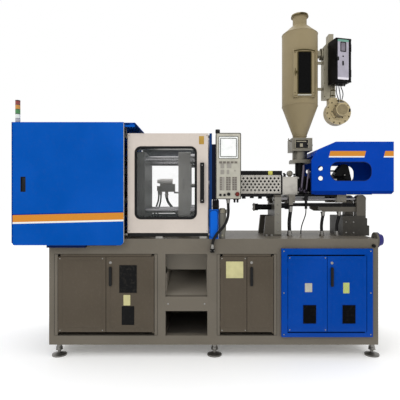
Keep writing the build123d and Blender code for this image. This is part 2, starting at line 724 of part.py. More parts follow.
def product_chute():
    """Folded tray that slopes to the front lip, under a funnel from the drop opening in the deck."""
    x = (CHUTE_BAY[0], CHUTE_BAY[1])
    front = -BASE_HALF_DEPTH
    back = BASE_HALF_DEPTH - SHEET
    tray = end_profile(
        [
            (back, CHUTE_BACK_TOP),
            (front, CHUTE_LIP_TOP),
            (front, CHUTE_LIP_BOTTOM),
            (front + SHEET, CHUTE_LIP_BOTTOM),
            (front + SHEET, CHUTE_LIP_TOP - SHEET),
            (back, CHUTE_BACK_TOP - SHEET),
        ],
        x,
    )
    wall_y = (INNER_Y[0], back)
    wall_foot = CHUTE_LIP_TOP + 10
    right_wall = end_profile(
        [
            (wall_y[0], wall_foot),
            (wall_y[1], CHUTE_BACK_TOP - 1),
            (wall_y[1], CHUTE_WALL_TOP),
            (wall_y[0], CHUTE_WALL_TOP),
        ],
        (x[1] - SHEET, x[1]),
    )
    left_wall = end_profile(
        [
            (wall_y[0], wall_foot),
            (wall_y[1], CHUTE_BACK_TOP - 1),
            (wall_y[1], FUNNEL_FOOT),
            (wall_y[0], FUNNEL_FOOT),
        ],
        (x[0], x[0] + SHEET),
    )
    cheek_outline = [
        (DROP_X[0] - SHEET, DECK_BOTTOM),
        (DROP_X[1] + SHEET, DECK_BOTTOM),
        (x[1], CHUTE_WALL_TOP),
        (x[1], FUNNEL_FOOT),
        (x[0], FUNNEL_FOOT),
    ]
    slope_outline = [
        (DROP_X[0] - SHEET, DECK_BOTTOM),
        (DROP_X[0], DECK_BOTTOM),
        (x[0] + SHEET, FUNNEL_FOOT),
        (x[0], FUNNEL_FOOT),
    ]
    lid_outline = [
        (DROP_X[1], DECK_BOTTOM),
        (DROP_X[1] + SHEET, DECK_BOTTOM),
        (x[1], CHUTE_WALL_TOP),
        (x[1] - SHEET, CHUTE_WALL_TOP),
    ]
    inner = (-DROP_HALF_DEPTH, DROP_HALF_DEPTH)
    chute = tray + right_wall + left_wall
    chute += side_profile(slope_outline, inner) + side_profile(lid_outline, inner)
    for y in ((inner[0] - SHEET, inner[0]), (inner[1], inner[1] + SHEET)):
        chute += side_profile(cheek_outline, y)
    return chute


# Cabinet doors: a pan leaf that turns on pivot pins held by ears on the posts


def leaf(x, z, front):
    """A pressed pan with folded edges and a raised bead line near its border."""
    y = (front, front + DOOR_THICKNESS)
    pan = block(x, y, z)
    pan = fillet(pan.edges().filter_by(Axis.Z).sort_by(Axis.Y)[:2], DOOR_SKIN)
    pan -= block(
        (x[0] + DOOR_SKIN, x[1] - DOOR_SKIN), (front + DOOR_SKIN, y[1]), (z[0] + DOOR_SKIN, z[1] - DOOR_SKIN)
    )
    low = DOOR_BEAD_INSET
    high = DOOR_BEAD_INSET + DOOR_BEAD * 2
    bead_y = (front - DOOR_BEAD / 4, front)
    bead = block((x[0] + low, x[1] - low), bead_y, (z[0] + low, z[1] - low))
    bead -= block((x[0] + high, x[1] - high), bead_y, (z[0] + high, z[1] - high))
    return pan + bead


def pivoted_leaf(x, z, front, pivot_x):
    """A leaf with an upright pivot pin at its top and bottom corner."""
    pivot_y = front + PIVOT_INSET
    door = leaf(x, z, front)
    boss_x = (pivot_x - PIVOT_INSET, pivot_x + PIVOT_INSET)
    for low in (z[0], z[1] - PIVOT_BOSS):
        door += block(boss_x, (front + 1, y_end(front)), (low, low + PIVOT_BOSS))
    for start, end in ((z[0] - PIVOT_LENGTH, z[0] + 1), (z[1] - 1, z[1] + PIVOT_LENGTH)):
        door += bar_z(pivot_x, pivot_y, (start, end), PIVOT_RADIUS)
    return door


def y_end(front):
    """The plane of the back edges of a leaf."""
    return front + DOOR_THICKNESS


def pivot_ears(pivot_x, post_x, z, front):
    """The two ears on the post that hold the pins of one leaf."""
    pivot_y = front + PIVOT_INSET
    reach = pivot_x + PIVOT_INSET if post_x < pivot_x else pivot_x - PIVOT_INSET
    x = tuple(sorted((post_x, reach)))
    ears = []
    for low in (z[0] - LEAF_END_GAP - PIVOT_EAR, z[1] + LEAF_END_GAP):
        ear = block(x, (front + 1, y_end(front) + 8), (low, low + PIVOT_EAR))
        ears.append(ear - bar_z(pivot_x, pivot_y, (low, low + PIVOT_EAR), PIVOT_RADIUS + RUNNING_FIT))
    return ears


def louvred(door, x, z, front):
    """Cut an air opening in the skin of a leaf and fill it with slanted blades."""
    skin = (front, front + DOOR_SKIN)
    door -= block(x, (front - DOOR_BEAD, skin[1]), z)
    blades = int((z[1] - z[0]) / LOUVRE_PITCH)
    for index in range(blades):
        low = z[0] + index * LOUVRE_PITCH
        blade = [
            (front - LOUVRE_DEPTH, low),
            (front - LOUVRE_DEPTH + LOUVRE_SHEET, low),
            (skin[1], low + LOUVRE_PITCH - LOUVRE_SHEET),
            (skin[1], low + LOUVRE_PITCH),
            (skin[0], low + LOUVRE_PITCH),
        ]
        door += end_profile(blade, x)
    return door


def lever_hole(door, x, z, front):
    """Bore the skin of a leaf for the spindle of its lever."""
    door -= bar_y(x, (front - DOOR_BEAD, front), z, HANDLE_WIDTH / 2 + 1)
    return door - bar_y(x, (front - 1, front + DOOR_SKIN + 1), z, SPINDLE_RADIUS + RUNNING_FIT)


def lever(x, z, front):
    """A hanging lever handle with its spindle through the skin and a round keeper behind it."""
    y = (front - HANDLE_PROUD, front - HANDLE_PROUD + HANDLE_GRIP)
    low = z - HANDLE_LENGTH + HANDLE_WIDTH / 2
    grip = block((x - HANDLE_WIDTH / 2, x + HANDLE_WIDTH / 2), y, (low, z + HANDLE_WIDTH / 2))
    grip = fillet(grip.edges().filter_by(Axis.Y), HANDLE_WIDTH / 2 - 1)
    grip = fillet(grip.faces().sort_by(Axis.Y)[0].edges(), HANDLE_GRIP / 3)
    grip += bar_y(x, (y[1] - 1, front - SEAT_GAP), z, HANDLE_WIDTH * 0.42)
    grip += bar_y(x, (front - HANDLE_PROUD / 2, front + DOOR_SKIN + SEAT_GAP + 1), z, SPINDLE_RADIUS)
    keeper = (front + DOOR_SKIN + SEAT_GAP, front + DOOR_SKIN + SEAT_GAP + KEEPER_THICKNESS)
    return grip + bar_y(x, keeper, z, KEEPER_RADIUS)


GREY_FRONT = -BASE_HALF_DEPTH - DOOR_PROUD
DOOR_Z = (DOOR_BOTTOM, DOOR_TOP)
LEFT_LEAVES = (LEFT_BAY[0] + DOOR_GAP, sum(LEFT_BAY) / 2, LEFT_BAY[1] - DOOR_GAP)
MIDDLE_FILLERS = (MIDDLE_BAY[0] + LEFT_FILLER, MIDDLE_BAY[1] - RIGHT_FILLER)
MIDDLE_LEAVES = (MIDDLE_FILLERS[0] + DOOR_GAP, sum(MIDDLE_FILLERS) / 2, MIDDLE_FILLERS[1] - DOOR_GAP)
BLUE_OPENING_X = (BLUE_BAY[0] + BLUE_FRAME_BORDER, BLUE_BAY[1] - BLUE_FRAME_BORDER)
BLUE_OPENING_Z = (BLUE_FRAME_BOTTOM + BLUE_FRAME_SILL, BLUE_FRAME_TOP - BLUE_FRAME_BORDER)
BLUE_LEAVES = (BLUE_OPENING_X[0] + DOOR_GAP, sum(BLUE_OPENING_X) / 2, BLUE_OPENING_X[1] - DOOR_GAP)
BLUE_FRONT = -BASE_HALF_DEPTH - BLUE_FRAME_PROUD
BLUE_Z = (BLUE_OPENING_Z[0] + PIVOT_LENGTH + 2, BLUE_OPENING_Z[1] - PIVOT_LENGTH - 2)
LEVER_Z = DOOR_TOP - LEVER_DROP


def left_leaf(leaves):
    """The X range of the leaf left of the seam."""
    return (leaves[0], leaves[1] - LEAF_GAP / 2)


def right_leaf(leaves):
    """The X range of the leaf right of the seam."""
    return (leaves[1] + LEAF_GAP / 2, leaves[2])


def lever_x(leaves):
    """The place of a lever beside the seam, on the leaf that opens first."""
    return leaves[1] + LEVER_OFFSET


def bolted_leaf(leaves, z, front, back):
    """The leaf that stays bolted at its top and bottom, with the tabs that its bolts go into."""
    x = left_leaf(leaves)
    door = leaf(x, z, front)
    for post, low in ((x[0] - DOOR_GAP, z[0] + 60), (x[0] - DOOR_GAP, z[1] - 120)):
        door += block((post, x[0] + DOOR_SKIN), (front + DOOR_SKIN, back), (low, low + 60))
    return door


def active_leaf(leaves, z, front):
    """The leaf that opens first, on pivots at its right edge, with the hole for its lever."""
    x = right_leaf(leaves)
    door = pivoted_leaf(x, z, front, x[1] - PIVOT_INSET)
    return lever_hole(door, lever_x(leaves), LEVER_Z, front)


def left_cabinet_door():
    """Right leaf of the left cabinet, with its louvred air inlet."""
    door = active_leaf(LEFT_LEAVES, DOOR_Z, GREY_FRONT)
    vent_x = (LEFT_LEAVES[1] + LEFT_VENT_OFFSET, LEFT_LEAVES[1] + LEFT_VENT_OFFSET + LEFT_VENT_WIDTH)
    return louvred(door, vent_x, (LEFT_VENT_TOP - LEFT_VENT_HEIGHT, LEFT_VENT_TOP), GREY_FRONT)


def blue_vent(x, door):
    """The louvred air inlet of a blue leaf, from its left edge."""
    z = (BLUE_VENT_BOTTOM, BLUE_VENT_BOTTOM + BLUE_VENT_HEIGHT)
    return louvred(door, (x, x + BLUE_VENT_WIDTH), z, BLUE_FRONT)


def blue_cabinet_front():
    """The proud blue frame over the right bay, its bolted leaf and the ears for the other leaf."""
    y = (BLUE_FRONT, -BASE_HALF_DEPTH)
    frame_z = (BLUE_FRAME_BOTTOM, BLUE_FRAME_TOP)
    frame = [
        block((BLUE_BAY[0], BLUE_OPENING_X[0]), y, frame_z),
        block((BLUE_OPENING_X[1], BLUE_BAY[1]), y, frame_z),
        block(BLUE_OPENING_X, y, (frame_z[0], BLUE_OPENING_Z[0])),
        block(BLUE_OPENING_X, y, (BLUE_OPENING_Z[1], frame_z[1])),
    ]
    bolted = bolted_leaf(BLUE_LEAVES, BLUE_Z, BLUE_FRONT, BLUE_FRONT + DOOR_THICKNESS)
    bolted = blue_vent(BLUE_LEAVES[0] + BLUE_VENT_OFFSET, bolted)
    x = right_leaf(BLUE_LEAVES)
    ears = pivot_ears(x[1] - PIVOT_INSET, BLUE_OPENING_X[1], BLUE_Z, BLUE_FRONT)
    return group(*frame, bolted, *ears)


def blue_cabinet_door():
    """Right leaf of the blue cabinet, with its louvred air inlet."""
    return blue_vent(BLUE_LEAVES[1] + BLUE_VENT_OFFSET, active_leaf(BLUE_LEAVES, BLUE_Z, BLUE_FRONT))


def fixed_leaves():
    """The two grey leaves that stay bolted, and the ears and top strips of the grey cabinets."""
    back = GREY_FRONT + DOOR_THICKNESS
    pieces = []
    for leaves, bay in ((LEFT_LEAVES, LEFT_BAY), (MIDDLE_LEAVES, MIDDLE_FILLERS)):
        pieces.append(bolted_leaf(leaves, DOOR_Z, GREY_FRONT, back))
        pieces += pivot_ears(right_leaf(leaves)[1] - PIVOT_INSET, bay[1], DOOR_Z, GREY_FRONT)
        strip_x = (bay[0] + STRIP_INSET, bay[1] - STRIP_INSET)
        strip_y = (-BASE_HALF_DEPTH, STRIP_DEPTH - BASE_HALF_DEPTH)
        pieces.append(block(strip_x, strip_y, (DOOR_TOP + LEAF_END_GAP, BEAM_BOTTOM)))
    return group(*pieces)


# Equipment inside the cabinets


def hydraulic_unit():
    """Oil tank on the bottom rails, electric motor and pump on its lid, and the return filter at the end."""
    x = (BLUE_BAY[0] + TANK_MARGIN, BLUE_BAY[1] - TANK_MARGIN)
    y = (-TANK_HALF_DEPTH, TANK_HALF_DEPTH)
    tank = block(x, y, (RAIL_TOP, RAIL_TOP + TANK_HEIGHT))
    tank = fillet(tank.edges().filter_by(Axis.Z), 20)
    lid_top = RAIL_TOP + TANK_HEIGHT + TANK_LID
    lid = block((x[0] - 10, x[1] + 10), (y[0] - 10, y[1] + 10), (RAIL_TOP + TANK_HEIGHT, lid_top))
    motor_z = lid_top + PUMP_MOTOR_RADIUS + 20
    left = x[0] + 90
    motor = turned_x(
        [
            (left, 0),
            (left, PUMP_MOTOR_RADIUS * 0.8),
            (left + 30, PUMP_MOTOR_RADIUS),
            (left + PUMP_MOTOR_LENGTH, PUMP_MOTOR_RADIUS),
            (left + PUMP_MOTOR_LENGTH, 70),
            (left + PUMP_MOTOR_LENGTH + 90, 70),
            (left + PUMP_MOTOR_LENGTH + 90, 55),
            (left + PUMP_MOTOR_LENGTH + 200, 55),
            (left + PUMP_MOTOR_LENGTH + 200, 0),
        ],
        0,
        motor_z,
    )
    foot_z = (lid_top, motor_z - PUMP_MOTOR_RADIUS * 0.7)
    motor += block((left + 60, left + PUMP_MOTOR_LENGTH - 60), (-95, 95), foot_z)
    filter_x = BASE_RIGHT
    body = turned_x(
        [
            (filter_x, 0),
            (filter_x, FILTER_RADIUS),
            (filter_x + FILTER_LENGTH * 0.45, FILTER_RADIUS),
            (filter_x + FILTER_LENGTH * 0.5, FILTER_RADIUS * 0.86),
            (filter_x + FILTER_LENGTH, FILTER_RADIUS * 0.7),
            (filter_x + FILTER_LENGTH, 0),
        ],
        FILTER_Y,
        DECK_TOP - FILTER_DROP,
    )
    knob = bar_y(BASE_RIGHT - 50, (-BASE_HALF_DEPTH - 24, -BASE_HALF_DEPTH), DECK_TOP - 70, 17)
    return group(tank, lid, motor, body, knob)


def electrical_rack():
    """Mounting plate in the middle cabinet, with rows of switchgear and its wiring ducts."""
    x = grown(MIDDLE_BAY, RACK_OVERLAP)
    plate_y = (INNER_Y[1] - RACK_PLATE, INNER_Y[1])
    rack = block(x, plate_y, (RAIL_TOP, BEAM_BOTTOM))
    pitch = (x[1] - x[0] - 2 * RACK_MARGIN) / RACK_COLUMNS
    for row in range(RACK_ROWS):
        z = RAIL_TOP + RACK_RISE + row * RACK_PITCH
        duct_z = z + RACK_PITCH * 0.55
        duct_y = (plate_y[0] - RACK_DUCT_DEPTH, plate_y[0])
        rack += block(grown(x, -RACK_DUCT_MARGIN), duct_y, (duct_z, duct_z + RACK_DUCT_HEIGHT))
        for column in range(RACK_COLUMNS):
            left = x[0] + RACK_MARGIN + column * pitch
            front = plate_y[0] - SWITCH_DEPTH - SWITCH_STEP * (column % 2)
            rack += block((left, left + SWITCH_WIDTH), (front, plate_y[0]), (z, z + SWITCH_HEIGHT))
    return rack


# Clamp unit

PLATEN_Y = (-PLATEN_HALF_DEPTH, PLATEN_HALF_DEPTH)
PLATEN_Z = (AXIS_Z - PLATEN_HALF_HEIGHT, AXIS_Z + PLATEN_HALF_HEIGHT)
TIE_POINTS = [(y, AXIS_Z + z) for y in (-TIE_BAR_Y, TIE_BAR_Y) for z in (-TIE_BAR_Z, TIE_BAR_Z)]
BOLT_ROWS = (AXIS_Z - MOULD_BOLT_Z / 2, AXIS_Z + MOULD_BOLT_Z / 2)
BOLT_POINTS = [(y, z) for y in (-MOULD_BOLT_Y / 2, MOULD_BOLT_Y / 2) for z in BOLT_ROWS]
WAY_TOP = DECK_TOP + WAY_HEIGHT


def platen(x, bar_fit, leg_gap):
    """A cast platen with rounded corners, four tie bar bores and two legs on the ways."""
    plate = block(x, PLATEN_Y, PLATEN_Z)
    plate = fillet(plate.edges().filter_by(Axis.X), PLATEN_CORNER)
    for y in BED_RAILS_Y:
        leg = (x[0] + LEG_INSET, x[1] - LEG_INSET)
        plate += block(leg, y, (WAY_TOP + leg_gap, PLATEN_Z[0] + PLATEN_CORNER))
    for y, z in TIE_POINTS:
        plate -= bar_x(x, y, z, TIE_BAR_RADIUS + bar_fit)
    return plate


def end_platen():
    """The platen at the far left that carries the clamp cylinder."""
    x = (END_PLATEN_X, END_PLATEN_RIGHT)
    plate = platen(x, SEAT_GAP, 0)
    return plate - bar_x(x, 0, AXIS_Z, RAM_RADIUS * 0.5)


def fixed_platen():
    """The platen at the injection side, with the locating bore, the nozzle well and the mould bolt holes."""
    x = (MOULD_FACE_X, FIXED_PLATEN_RIGHT)
    plate = platen(x, SEAT_GAP, 0)
    plate -= bar_x((x[0], x[0] + LOCATING_BORE_DEPTH), 0, AXIS_Z, LOCATING_BORE_RADIUS)
    plate -= bar_x(x, 0, AXIS_Z, NOZZLE_RADIUS + NOZZLE_CLEARANCE)
    well = [
        (x[0] + LOCATING_BORE_DEPTH + 15, 0),
        (x[0] + LOCATING_BORE_DEPTH + 15, NOZZLE_RADIUS + NOZZLE_CLEARANCE),
        (x[1], NOZZLE_WELL_RADIUS),
        (x[1], 0),
    ]
    plate -= turned_x(well, 0, AXIS_Z)
    for y, z in BOLT_POINTS:
        plate -= bar_x((x[0], x[0] + MOULD_BOLT_DEPTH), y, z, MOULD_BOLT_RADIUS)
    slot_x = (x[0] + PLATEN_SLOT_INSET, x[0] + PLATEN_SLOT_INSET + PLATEN_SLOT_WIDTH)
    slot_y = (PLATEN_Y[0], PLATEN_Y[0] + PLATEN_SLOT_DEPTH)
    return plate - block(slot_x, slot_y, (AXIS_Z - PLATEN_SLOT_HEIGHT / 2, AXIS_Z + PLATEN_SLOT_HEIGHT / 2))


def moving_platen():
    """The platen that slides on the tie bars, with its ejector holes and the spacer webs behind it."""
    x = (MOVING_BACK_X, MOVING_FACE_X)
    plate = platen(x, RUNNING_FIT, SEAT_GAP)
    for y in (-SPACER_WEB_Y - SPACER_WEB_THICKNESS, SPACER_WEB_Y):
        web = (AXIS_Z - SPACER_WEB_HEIGHT / 2, AXIS_Z + SPACER_WEB_HEIGHT / 2)
        plate += block((SPACER_BACK_X, x[0]), (y, y + SPACER_WEB_THICKNESS), web)
    for offset in (-EJECTOR_ROD_PITCH, 0, EJECTOR_ROD_PITCH):
        plate -= bar_x(x, 0, AXIS_Z + offset, EJECTOR_ROD_RADIUS + RUNNING_FIT)
    for y, z in BOLT_POINTS:
        plate -= bar_x((x[1] - MOULD_BOLT_DEPTH, x[1]), y, z, MOULD_BOLT_RADIUS)
    return plate


def clamp_ram():
    """The ram and its flange, hollow at the nose for the ejector piston."""
    ram = turned_x(
        [
            (RAM_END_X, 0),
            (RAM_END_X, RAM_RADIUS - 6),
            (RAM_END_X + 6, RAM_RADIUS),
            (RAM_FACE_X, RAM_RADIUS),
            (RAM_FACE_X, RAM_FLANGE_RADIUS),
            (SPACER_BACK_X, RAM_FLANGE_RADIUS),
            (SPACER_BACK_X, 0),
        ],
        0,
        AXIS_Z,
    )
    bore = (SPACER_BACK_X - EJECTOR_BORE_DEPTH, SPACER_BACK_X)
    return ram - bar_x(bore, 0, AXIS_Z, EJECTOR_PISTON_RADIUS + RUNNING_FIT)


def clamp_cylinder():
    """The cylinder, bolted to the end platen by its flange."""
    bore = RAM_RADIUS + RUNNING_FIT
    outer = turned_x(
        [
            (END_PLATEN_RIGHT, bore),
            (END_PLATEN_RIGHT, CYLINDER_FLANGE_RADIUS),
            (END_PLATEN_RIGHT + CYLINDER_FLANGE_THICKNESS, CYLINDER_FLANGE_RADIUS),
            (END_PLATEN_RIGHT + CYLINDER_FLANGE_THICKNESS + CYLINDER_NECK_TAPER, CYLINDER_RADIUS),
            (GLAND_X - GLAND_RING_LENGTH, CYLINDER_RADIUS),
            (GLAND_X - GLAND_RING_LENGTH, GLAND_RING_RADIUS),
            (GLAND_X, GLAND_RING_RADIUS),
            (GLAND_X, bore),
        ],
        0,
        AXIS_Z,
    )
    flange_face = END_PLATEN_RIGHT + CYLINDER_FLANGE_THICKNESS
    reach = (CYLINDER_FLANGE_RADIUS + CYLINDER_RADIUS + CYLINDER_NECK_TAPER) / 2
    for index in range(CYLINDER_BOLTS):
        angle = math.tau * (index + 0.5) / CYLINDER_BOLTS
        head = (flange_face - 1, flange_face + CYLINDER_BOLT_HEAD)
        y, z = reach * math.cos(angle), AXIS_Z + reach * math.sin(angle)
        outer += bar_x(head, y, z, CYLINDER_BOLT_RADIUS)
    return outer


def ejector_bar():
    """The ejector plate, its three push rods and the piston that runs in the nose of the ram."""
    plate_x = (EJECTOR_PLATE_X, EJECTOR_PLATE_X + EJECTOR_PLATE_THICKNESS)
    plate_y = (EJECTOR_SIDE_GAP - SPACER_WEB_Y, SPACER_WEB_Y - EJECTOR_SIDE_GAP)
    half = EJECTOR_ROD_PITCH + EJECTOR_PLATE_MARGIN
    plate = block(plate_x, plate_y, (AXIS_Z - half, AXIS_Z + half))
    plate = fillet(plate.edges().filter_by(Axis.X), EJECTOR_PLATE_CORNER)
    for offset in (-EJECTOR_ROD_PITCH, 0, EJECTOR_ROD_PITCH):
        plate += bar_x((plate_x[1], MOVING_FACE_X - 5), 0, AXIS_Z + offset, EJECTOR_ROD_RADIUS)
    piston = (SPACER_BACK_X - EJECTOR_BORE_DEPTH + 10, plate_x[0])
    return plate + bar_x(piston, 0, AXIS_Z, EJECTOR_PISTON_RADIUS)


def tie_bars():
    """Four ground bars with a round nut outside each outer platen."""
    bars = []
    for y, z in TIE_POINTS:
        outline = [
            (END_PLATEN_X - TIE_NUT_LENGTH - 12, 0),
            (END_PLATEN_X - TIE_NUT_LENGTH - 12, TIE_BAR_RADIUS - 4),
            (END_PLATEN_X - TIE_NUT_LENGTH, TIE_BAR_RADIUS),
            (END_PLATEN_X - TIE_NUT_LENGTH, TIE_NUT_RADIUS),
            (END_PLATEN_X, TIE_NUT_RADIUS),
            (END_PLATEN_X, TIE_BAR_RADIUS),
            (FIXED_PLATEN_RIGHT, TIE_BAR_RADIUS),
            (FIXED_PLATEN_RIGHT, TIE_NUT_RADIUS),
            (FIXED_PLATEN_RIGHT + TIE_NUT_LENGTH, TIE_NUT_RADIUS),
            (FIXED_PLATEN_RIGHT + TIE_NUT_LENGTH, TIE_BAR_RADIUS),
            (FIXED_PLATEN_RIGHT + TIE_NUT_LENGTH + 12, TIE_BAR_RADIUS - 4),
            (FIXED_PLATEN_RIGHT + TIE_NUT_LENGTH + 12, 0),
        ]
        bars.append(turned_x(outline, y, z))
    return group(*bars)


# Covers, guards and gates round the clamp

GUARD_INNER = GUARD_FRONT - GUARD_THICKNESS
COVER_RIGHT = COVER_LEFT + GUARD_WIDTH
ROOF_RIGHT = COVER_RIGHT + ROOF_OVERHANG


def guard_pan(front):
    """A large pan guard with chamfered lower corners: front is -1 at the operator's side, 1 at the back."""
    outline = [
        (COVER_LEFT, COVER_TOP),
        (COVER_LEFT, COVER_BOTTOM + GUARD_CHAMFER),
        (COVER_LEFT + GUARD_CHAMFER, COVER_BOTTOM),
        (COVER_RIGHT - GUARD_CHAMFER, COVER_BOTTOM),
        (COVER_RIGHT, COVER_BOTTOM + GUARD_CHAMFER),
        (COVER_RIGHT, COVER_TOP),
    ]
    outer = tuple(sorted((front * GUARD_FRONT, front * GUARD_INNER)))
    hollow = tuple(sorted((front * (GUARD_FRONT - DOOR_SKIN), front * GUARD_INNER)))
    pan = side_profile(outline, outer)
    inset = DOOR_SKIN
    inner = [
        (COVER_LEFT + inset, COVER_TOP - inset),
        (COVER_LEFT + inset, COVER_BOTTOM + GUARD_CHAMFER + inset),
        (COVER_LEFT + GUARD_CHAMFER + inset, COVER_BOTTOM + inset),
        (COVER_RIGHT - GUARD_CHAMFER - inset, COVER_BOTTOM + inset),
        (COVER_RIGHT - inset, COVER_BOTTOM + GUARD_CHAMFER + inset),
        (COVER_RIGHT - inset, COVER_TOP - inset),
    ]
    return pan - side_profile(inner, hollow)


def clamp_guard():
    """The sliding guard on the operator's side, with a recessed grip and two shoes on the top rail."""
    pan = guard_pan(-1)
    grip_x = (COVER_LEFT + GRIP_LEFT, COVER_LEFT + GRIP_LEFT + GRIP_WIDTH)
    grip_z = (DECK_TOP + GRIP_BOTTOM_RISE, DECK_TOP + GRIP_BOTTOM_RISE + GRIP_HEIGHT)
    wall = 2.0
    pocket_y = (DOOR_SKIN - 1 - GUARD_FRONT, GRIP_DEPTH + wall - GUARD_FRONT)
    pan += block((grip_x[0] - wall, grip_x[1] + wall), pocket_y, (grip_z[0] - wall, grip_z[1] + wall))
    pan -= block(grip_x, (-GUARD_FRONT, GRIP_DEPTH - GUARD_FRONT), grip_z)
    for x in SHOE_X:
        pan += block((x, x + SHOE_LENGTH), (1 - GUARD_FRONT, RAIL_Y[1] - 2), SHOE_Z)
    return pan


# The guard rail is the folded front edge of the roof, and the gate rails run under the roof
RAIL_Y = (-GUARD_INNER + GUARD_RAIL_GAP, -GUARD_INNER + GUARD_RAIL_GAP + GUARD_RAIL_DEPTH)
RAIL_TOP_Z = COVER_TOP - SHEET - GUARD_RAIL_DROP
SHOE_Z = (RAIL_TOP_Z + SEAT_GAP, RAIL_TOP_Z + SEAT_GAP + SHOE_HEIGHT)
SHOE_X = [COVER_LEFT + SHOE_START, COVER_LEFT + SHOE_START + SHOE_SPACING]
GATE_X = (GATE_LEFT, GATE_LEFT + GATE_WIDTH)
GATE_RAIL_TOP = GATE_TOP - GATE_RAIL_DROP
GATE_RAIL_Y = GATE_FRONT - GATE_THICKNESS - GATE_RAIL_GAP


def clamp_cover():
    """Fixed sheet enclosure of the clamp: floor pan, end wall, roof, its sloped end, and the rear guard."""
    y = (-GUARD_INNER + GUARD_RAIL_GAP, GUARD_INNER)
    under_roof = COVER_TOP - SHEET
    slope_foot = (ROOF_RIGHT + ROOF_SLOPE_RUN, COVER_TOP - ROOF_SLOPE_DROP)
    end_wall = block((COVER_LEFT, COVER_LEFT + SHEET), y, (COVER_BOTTOM, COVER_TOP))
    floor = block((COVER_LEFT + SHEET, BASE_LEFT), y, (COVER_BOTTOM, COVER_BOTTOM + SHEET))
    roof = block((COVER_LEFT + SHEET, ROOF_RIGHT), y, (under_roof, COVER_TOP))
    slope_outline = [
        (ROOF_RIGHT, COVER_TOP),
        slope_foot,
        (slope_foot[0] - SHEET, slope_foot[1]),
        (ROOF_RIGHT, under_roof),
    ]
    slope = side_profile(slope_outline, y)
    rail_z = (RAIL_TOP_Z - GUARD_RAIL_HEIGHT, RAIL_TOP_Z)
    rail = block((COVER_LEFT + SHEET, ROOF_RIGHT - 2), RAIL_Y, rail_z)
    hanger_y = (RAIL_Y[1], RAIL_Y[1] + HANGER_THICKNESS)
    hangers = [block((x, x + HANGER_WIDTH), hanger_y, (rail_z[0], under_roof)) for x in HANGER_X]
    guide_x = (BASE_LEFT, BASE_LEFT + GUIDE_LENGTH)
    guide_z = (COVER_BOTTOM - GUIDE_DROP, COVER_BOTTOM - SEAT_GAP)
    guide = block(guide_x, (-GUARD_FRONT + 2, -BASE_HALF_DEPTH), guide_z)
    return group(end_wall, floor, roof, slope, rail, *hangers, guard_pan(1), guide)


def gate_rails():
    """Top rails that the gate shoes run on, lower guide rails, and their brackets, on both sides."""
    pieces = []
    for side in (-1, 1):
        near = side * GATE_RAIL_Y
        far = side * (GATE_RAIL_Y - TOP_RAIL_DEPTH)
        rail_y = tuple(sorted((near, far)))
        rail_x = (COVER_LEFT + SHEET, PORTAL_LEFT)
        pieces.append(block(rail_x, rail_y, (GATE_RAIL_TOP - TOP_RAIL_HEIGHT, GATE_RAIL_TOP)))
        for x in GATE_HANGER_X:
            hanger_y = tuple(sorted((far, far - side * HANGER_THICKNESS)))
            hanger_z = (GATE_RAIL_TOP - TOP_RAIL_HEIGHT, COVER_TOP - SHEET)
            pieces.append(block((x, x + HANGER_WIDTH), hanger_y, hanger_z))
        low_y = tuple(sorted((side * (GATE_FRONT - 8), side * (GATE_FRONT - GATE_THICKNESS + 8))))
        low_x = (GATE_LEFT - GATE_TRAVEL - 20, PORTAL_LEFT)
        low_top = GATE_BOTTOM - LOW_RAIL_GAP
        pieces.append(block(low_x, low_y, (low_top - LOW_RAIL_HEIGHT, low_top)))
        for x in LOW_BRACKET_X:
            pieces.append(block((x, x + LOW_BRACKET_WIDTH), low_y, (DECK_TOP, low_top - LOW_RAIL_HEIGHT)))
    return group(*pieces)


def gate(side):
    """A sliding gate: a pan frame round a window with rounded corners, and shoes on the top rail."""
    y = tuple(sorted((side * GATE_FRONT, side * (GATE_FRONT - GATE_THICKNESS))))
    back = tuple(sorted((side * (GATE_FRONT - GATE_SKIN), side * (GATE_FRONT - GATE_THICKNESS))))
    z = (GATE_BOTTOM, GATE_TOP)
    frame = block(GATE_X, y, z)
    front_face = frame.faces().sort_by(Axis.Y)[0 if side < 0 else -1]
    frame = fillet(front_face.edges().filter_by(Axis.Z), GATE_EDGE)
    rim = GATE_SKIN
    pan = block((GATE_X[0] + rim, GATE_X[1] - rim), back, (z[0] + rim, z[1] - rim))
    frame -= pan
    frame += window_block(grown(WINDOW_X, rim), y, grown(WINDOW_Z, rim), WINDOW_CORNER + rim)
    frame -= window_block(WINDOW_X, y, WINDOW_Z, WINDOW_CORNER)
    reach = (side * (GATE_FRONT - GATE_THICKNESS + 6), side * (GATE_RAIL_Y - TOP_RAIL_DEPTH + 2))
    for x in (GATE_X[0] + SHOE_INSET, GATE_X[1] - SHOE_INSET - SHOE_LENGTH):
        frame += block((x, x + SHOE_LENGTH), tuple(sorted(reach)), (GATE_RAIL_TOP + SEAT_GAP, z[1] - 1))
    return frame


WINDOW_X = (GATE_LEFT + WINDOW_LEFT_MARGIN, GATE_LEFT + WINDOW_LEFT_MARGIN + WINDOW_WIDTH)
WINDOW_Z = (GATE_BOTTOM + WINDOW_BOTTOM_MARGIN, GATE_BOTTOM + WINDOW_BOTTOM_MARGIN + WINDOW_HEIGHT)


def window_pane(side):
    """The clear pane of a gate, held in the edge of its window."""
    y = tuple(sorted((side * (GATE_FRONT - PANE_INSET), side * (GATE_FRONT - PANE_INSET - PANE_THICKNESS))))
    return window_block(WINDOW_X, y, WINDOW_Z, WINDOW_CORNER)


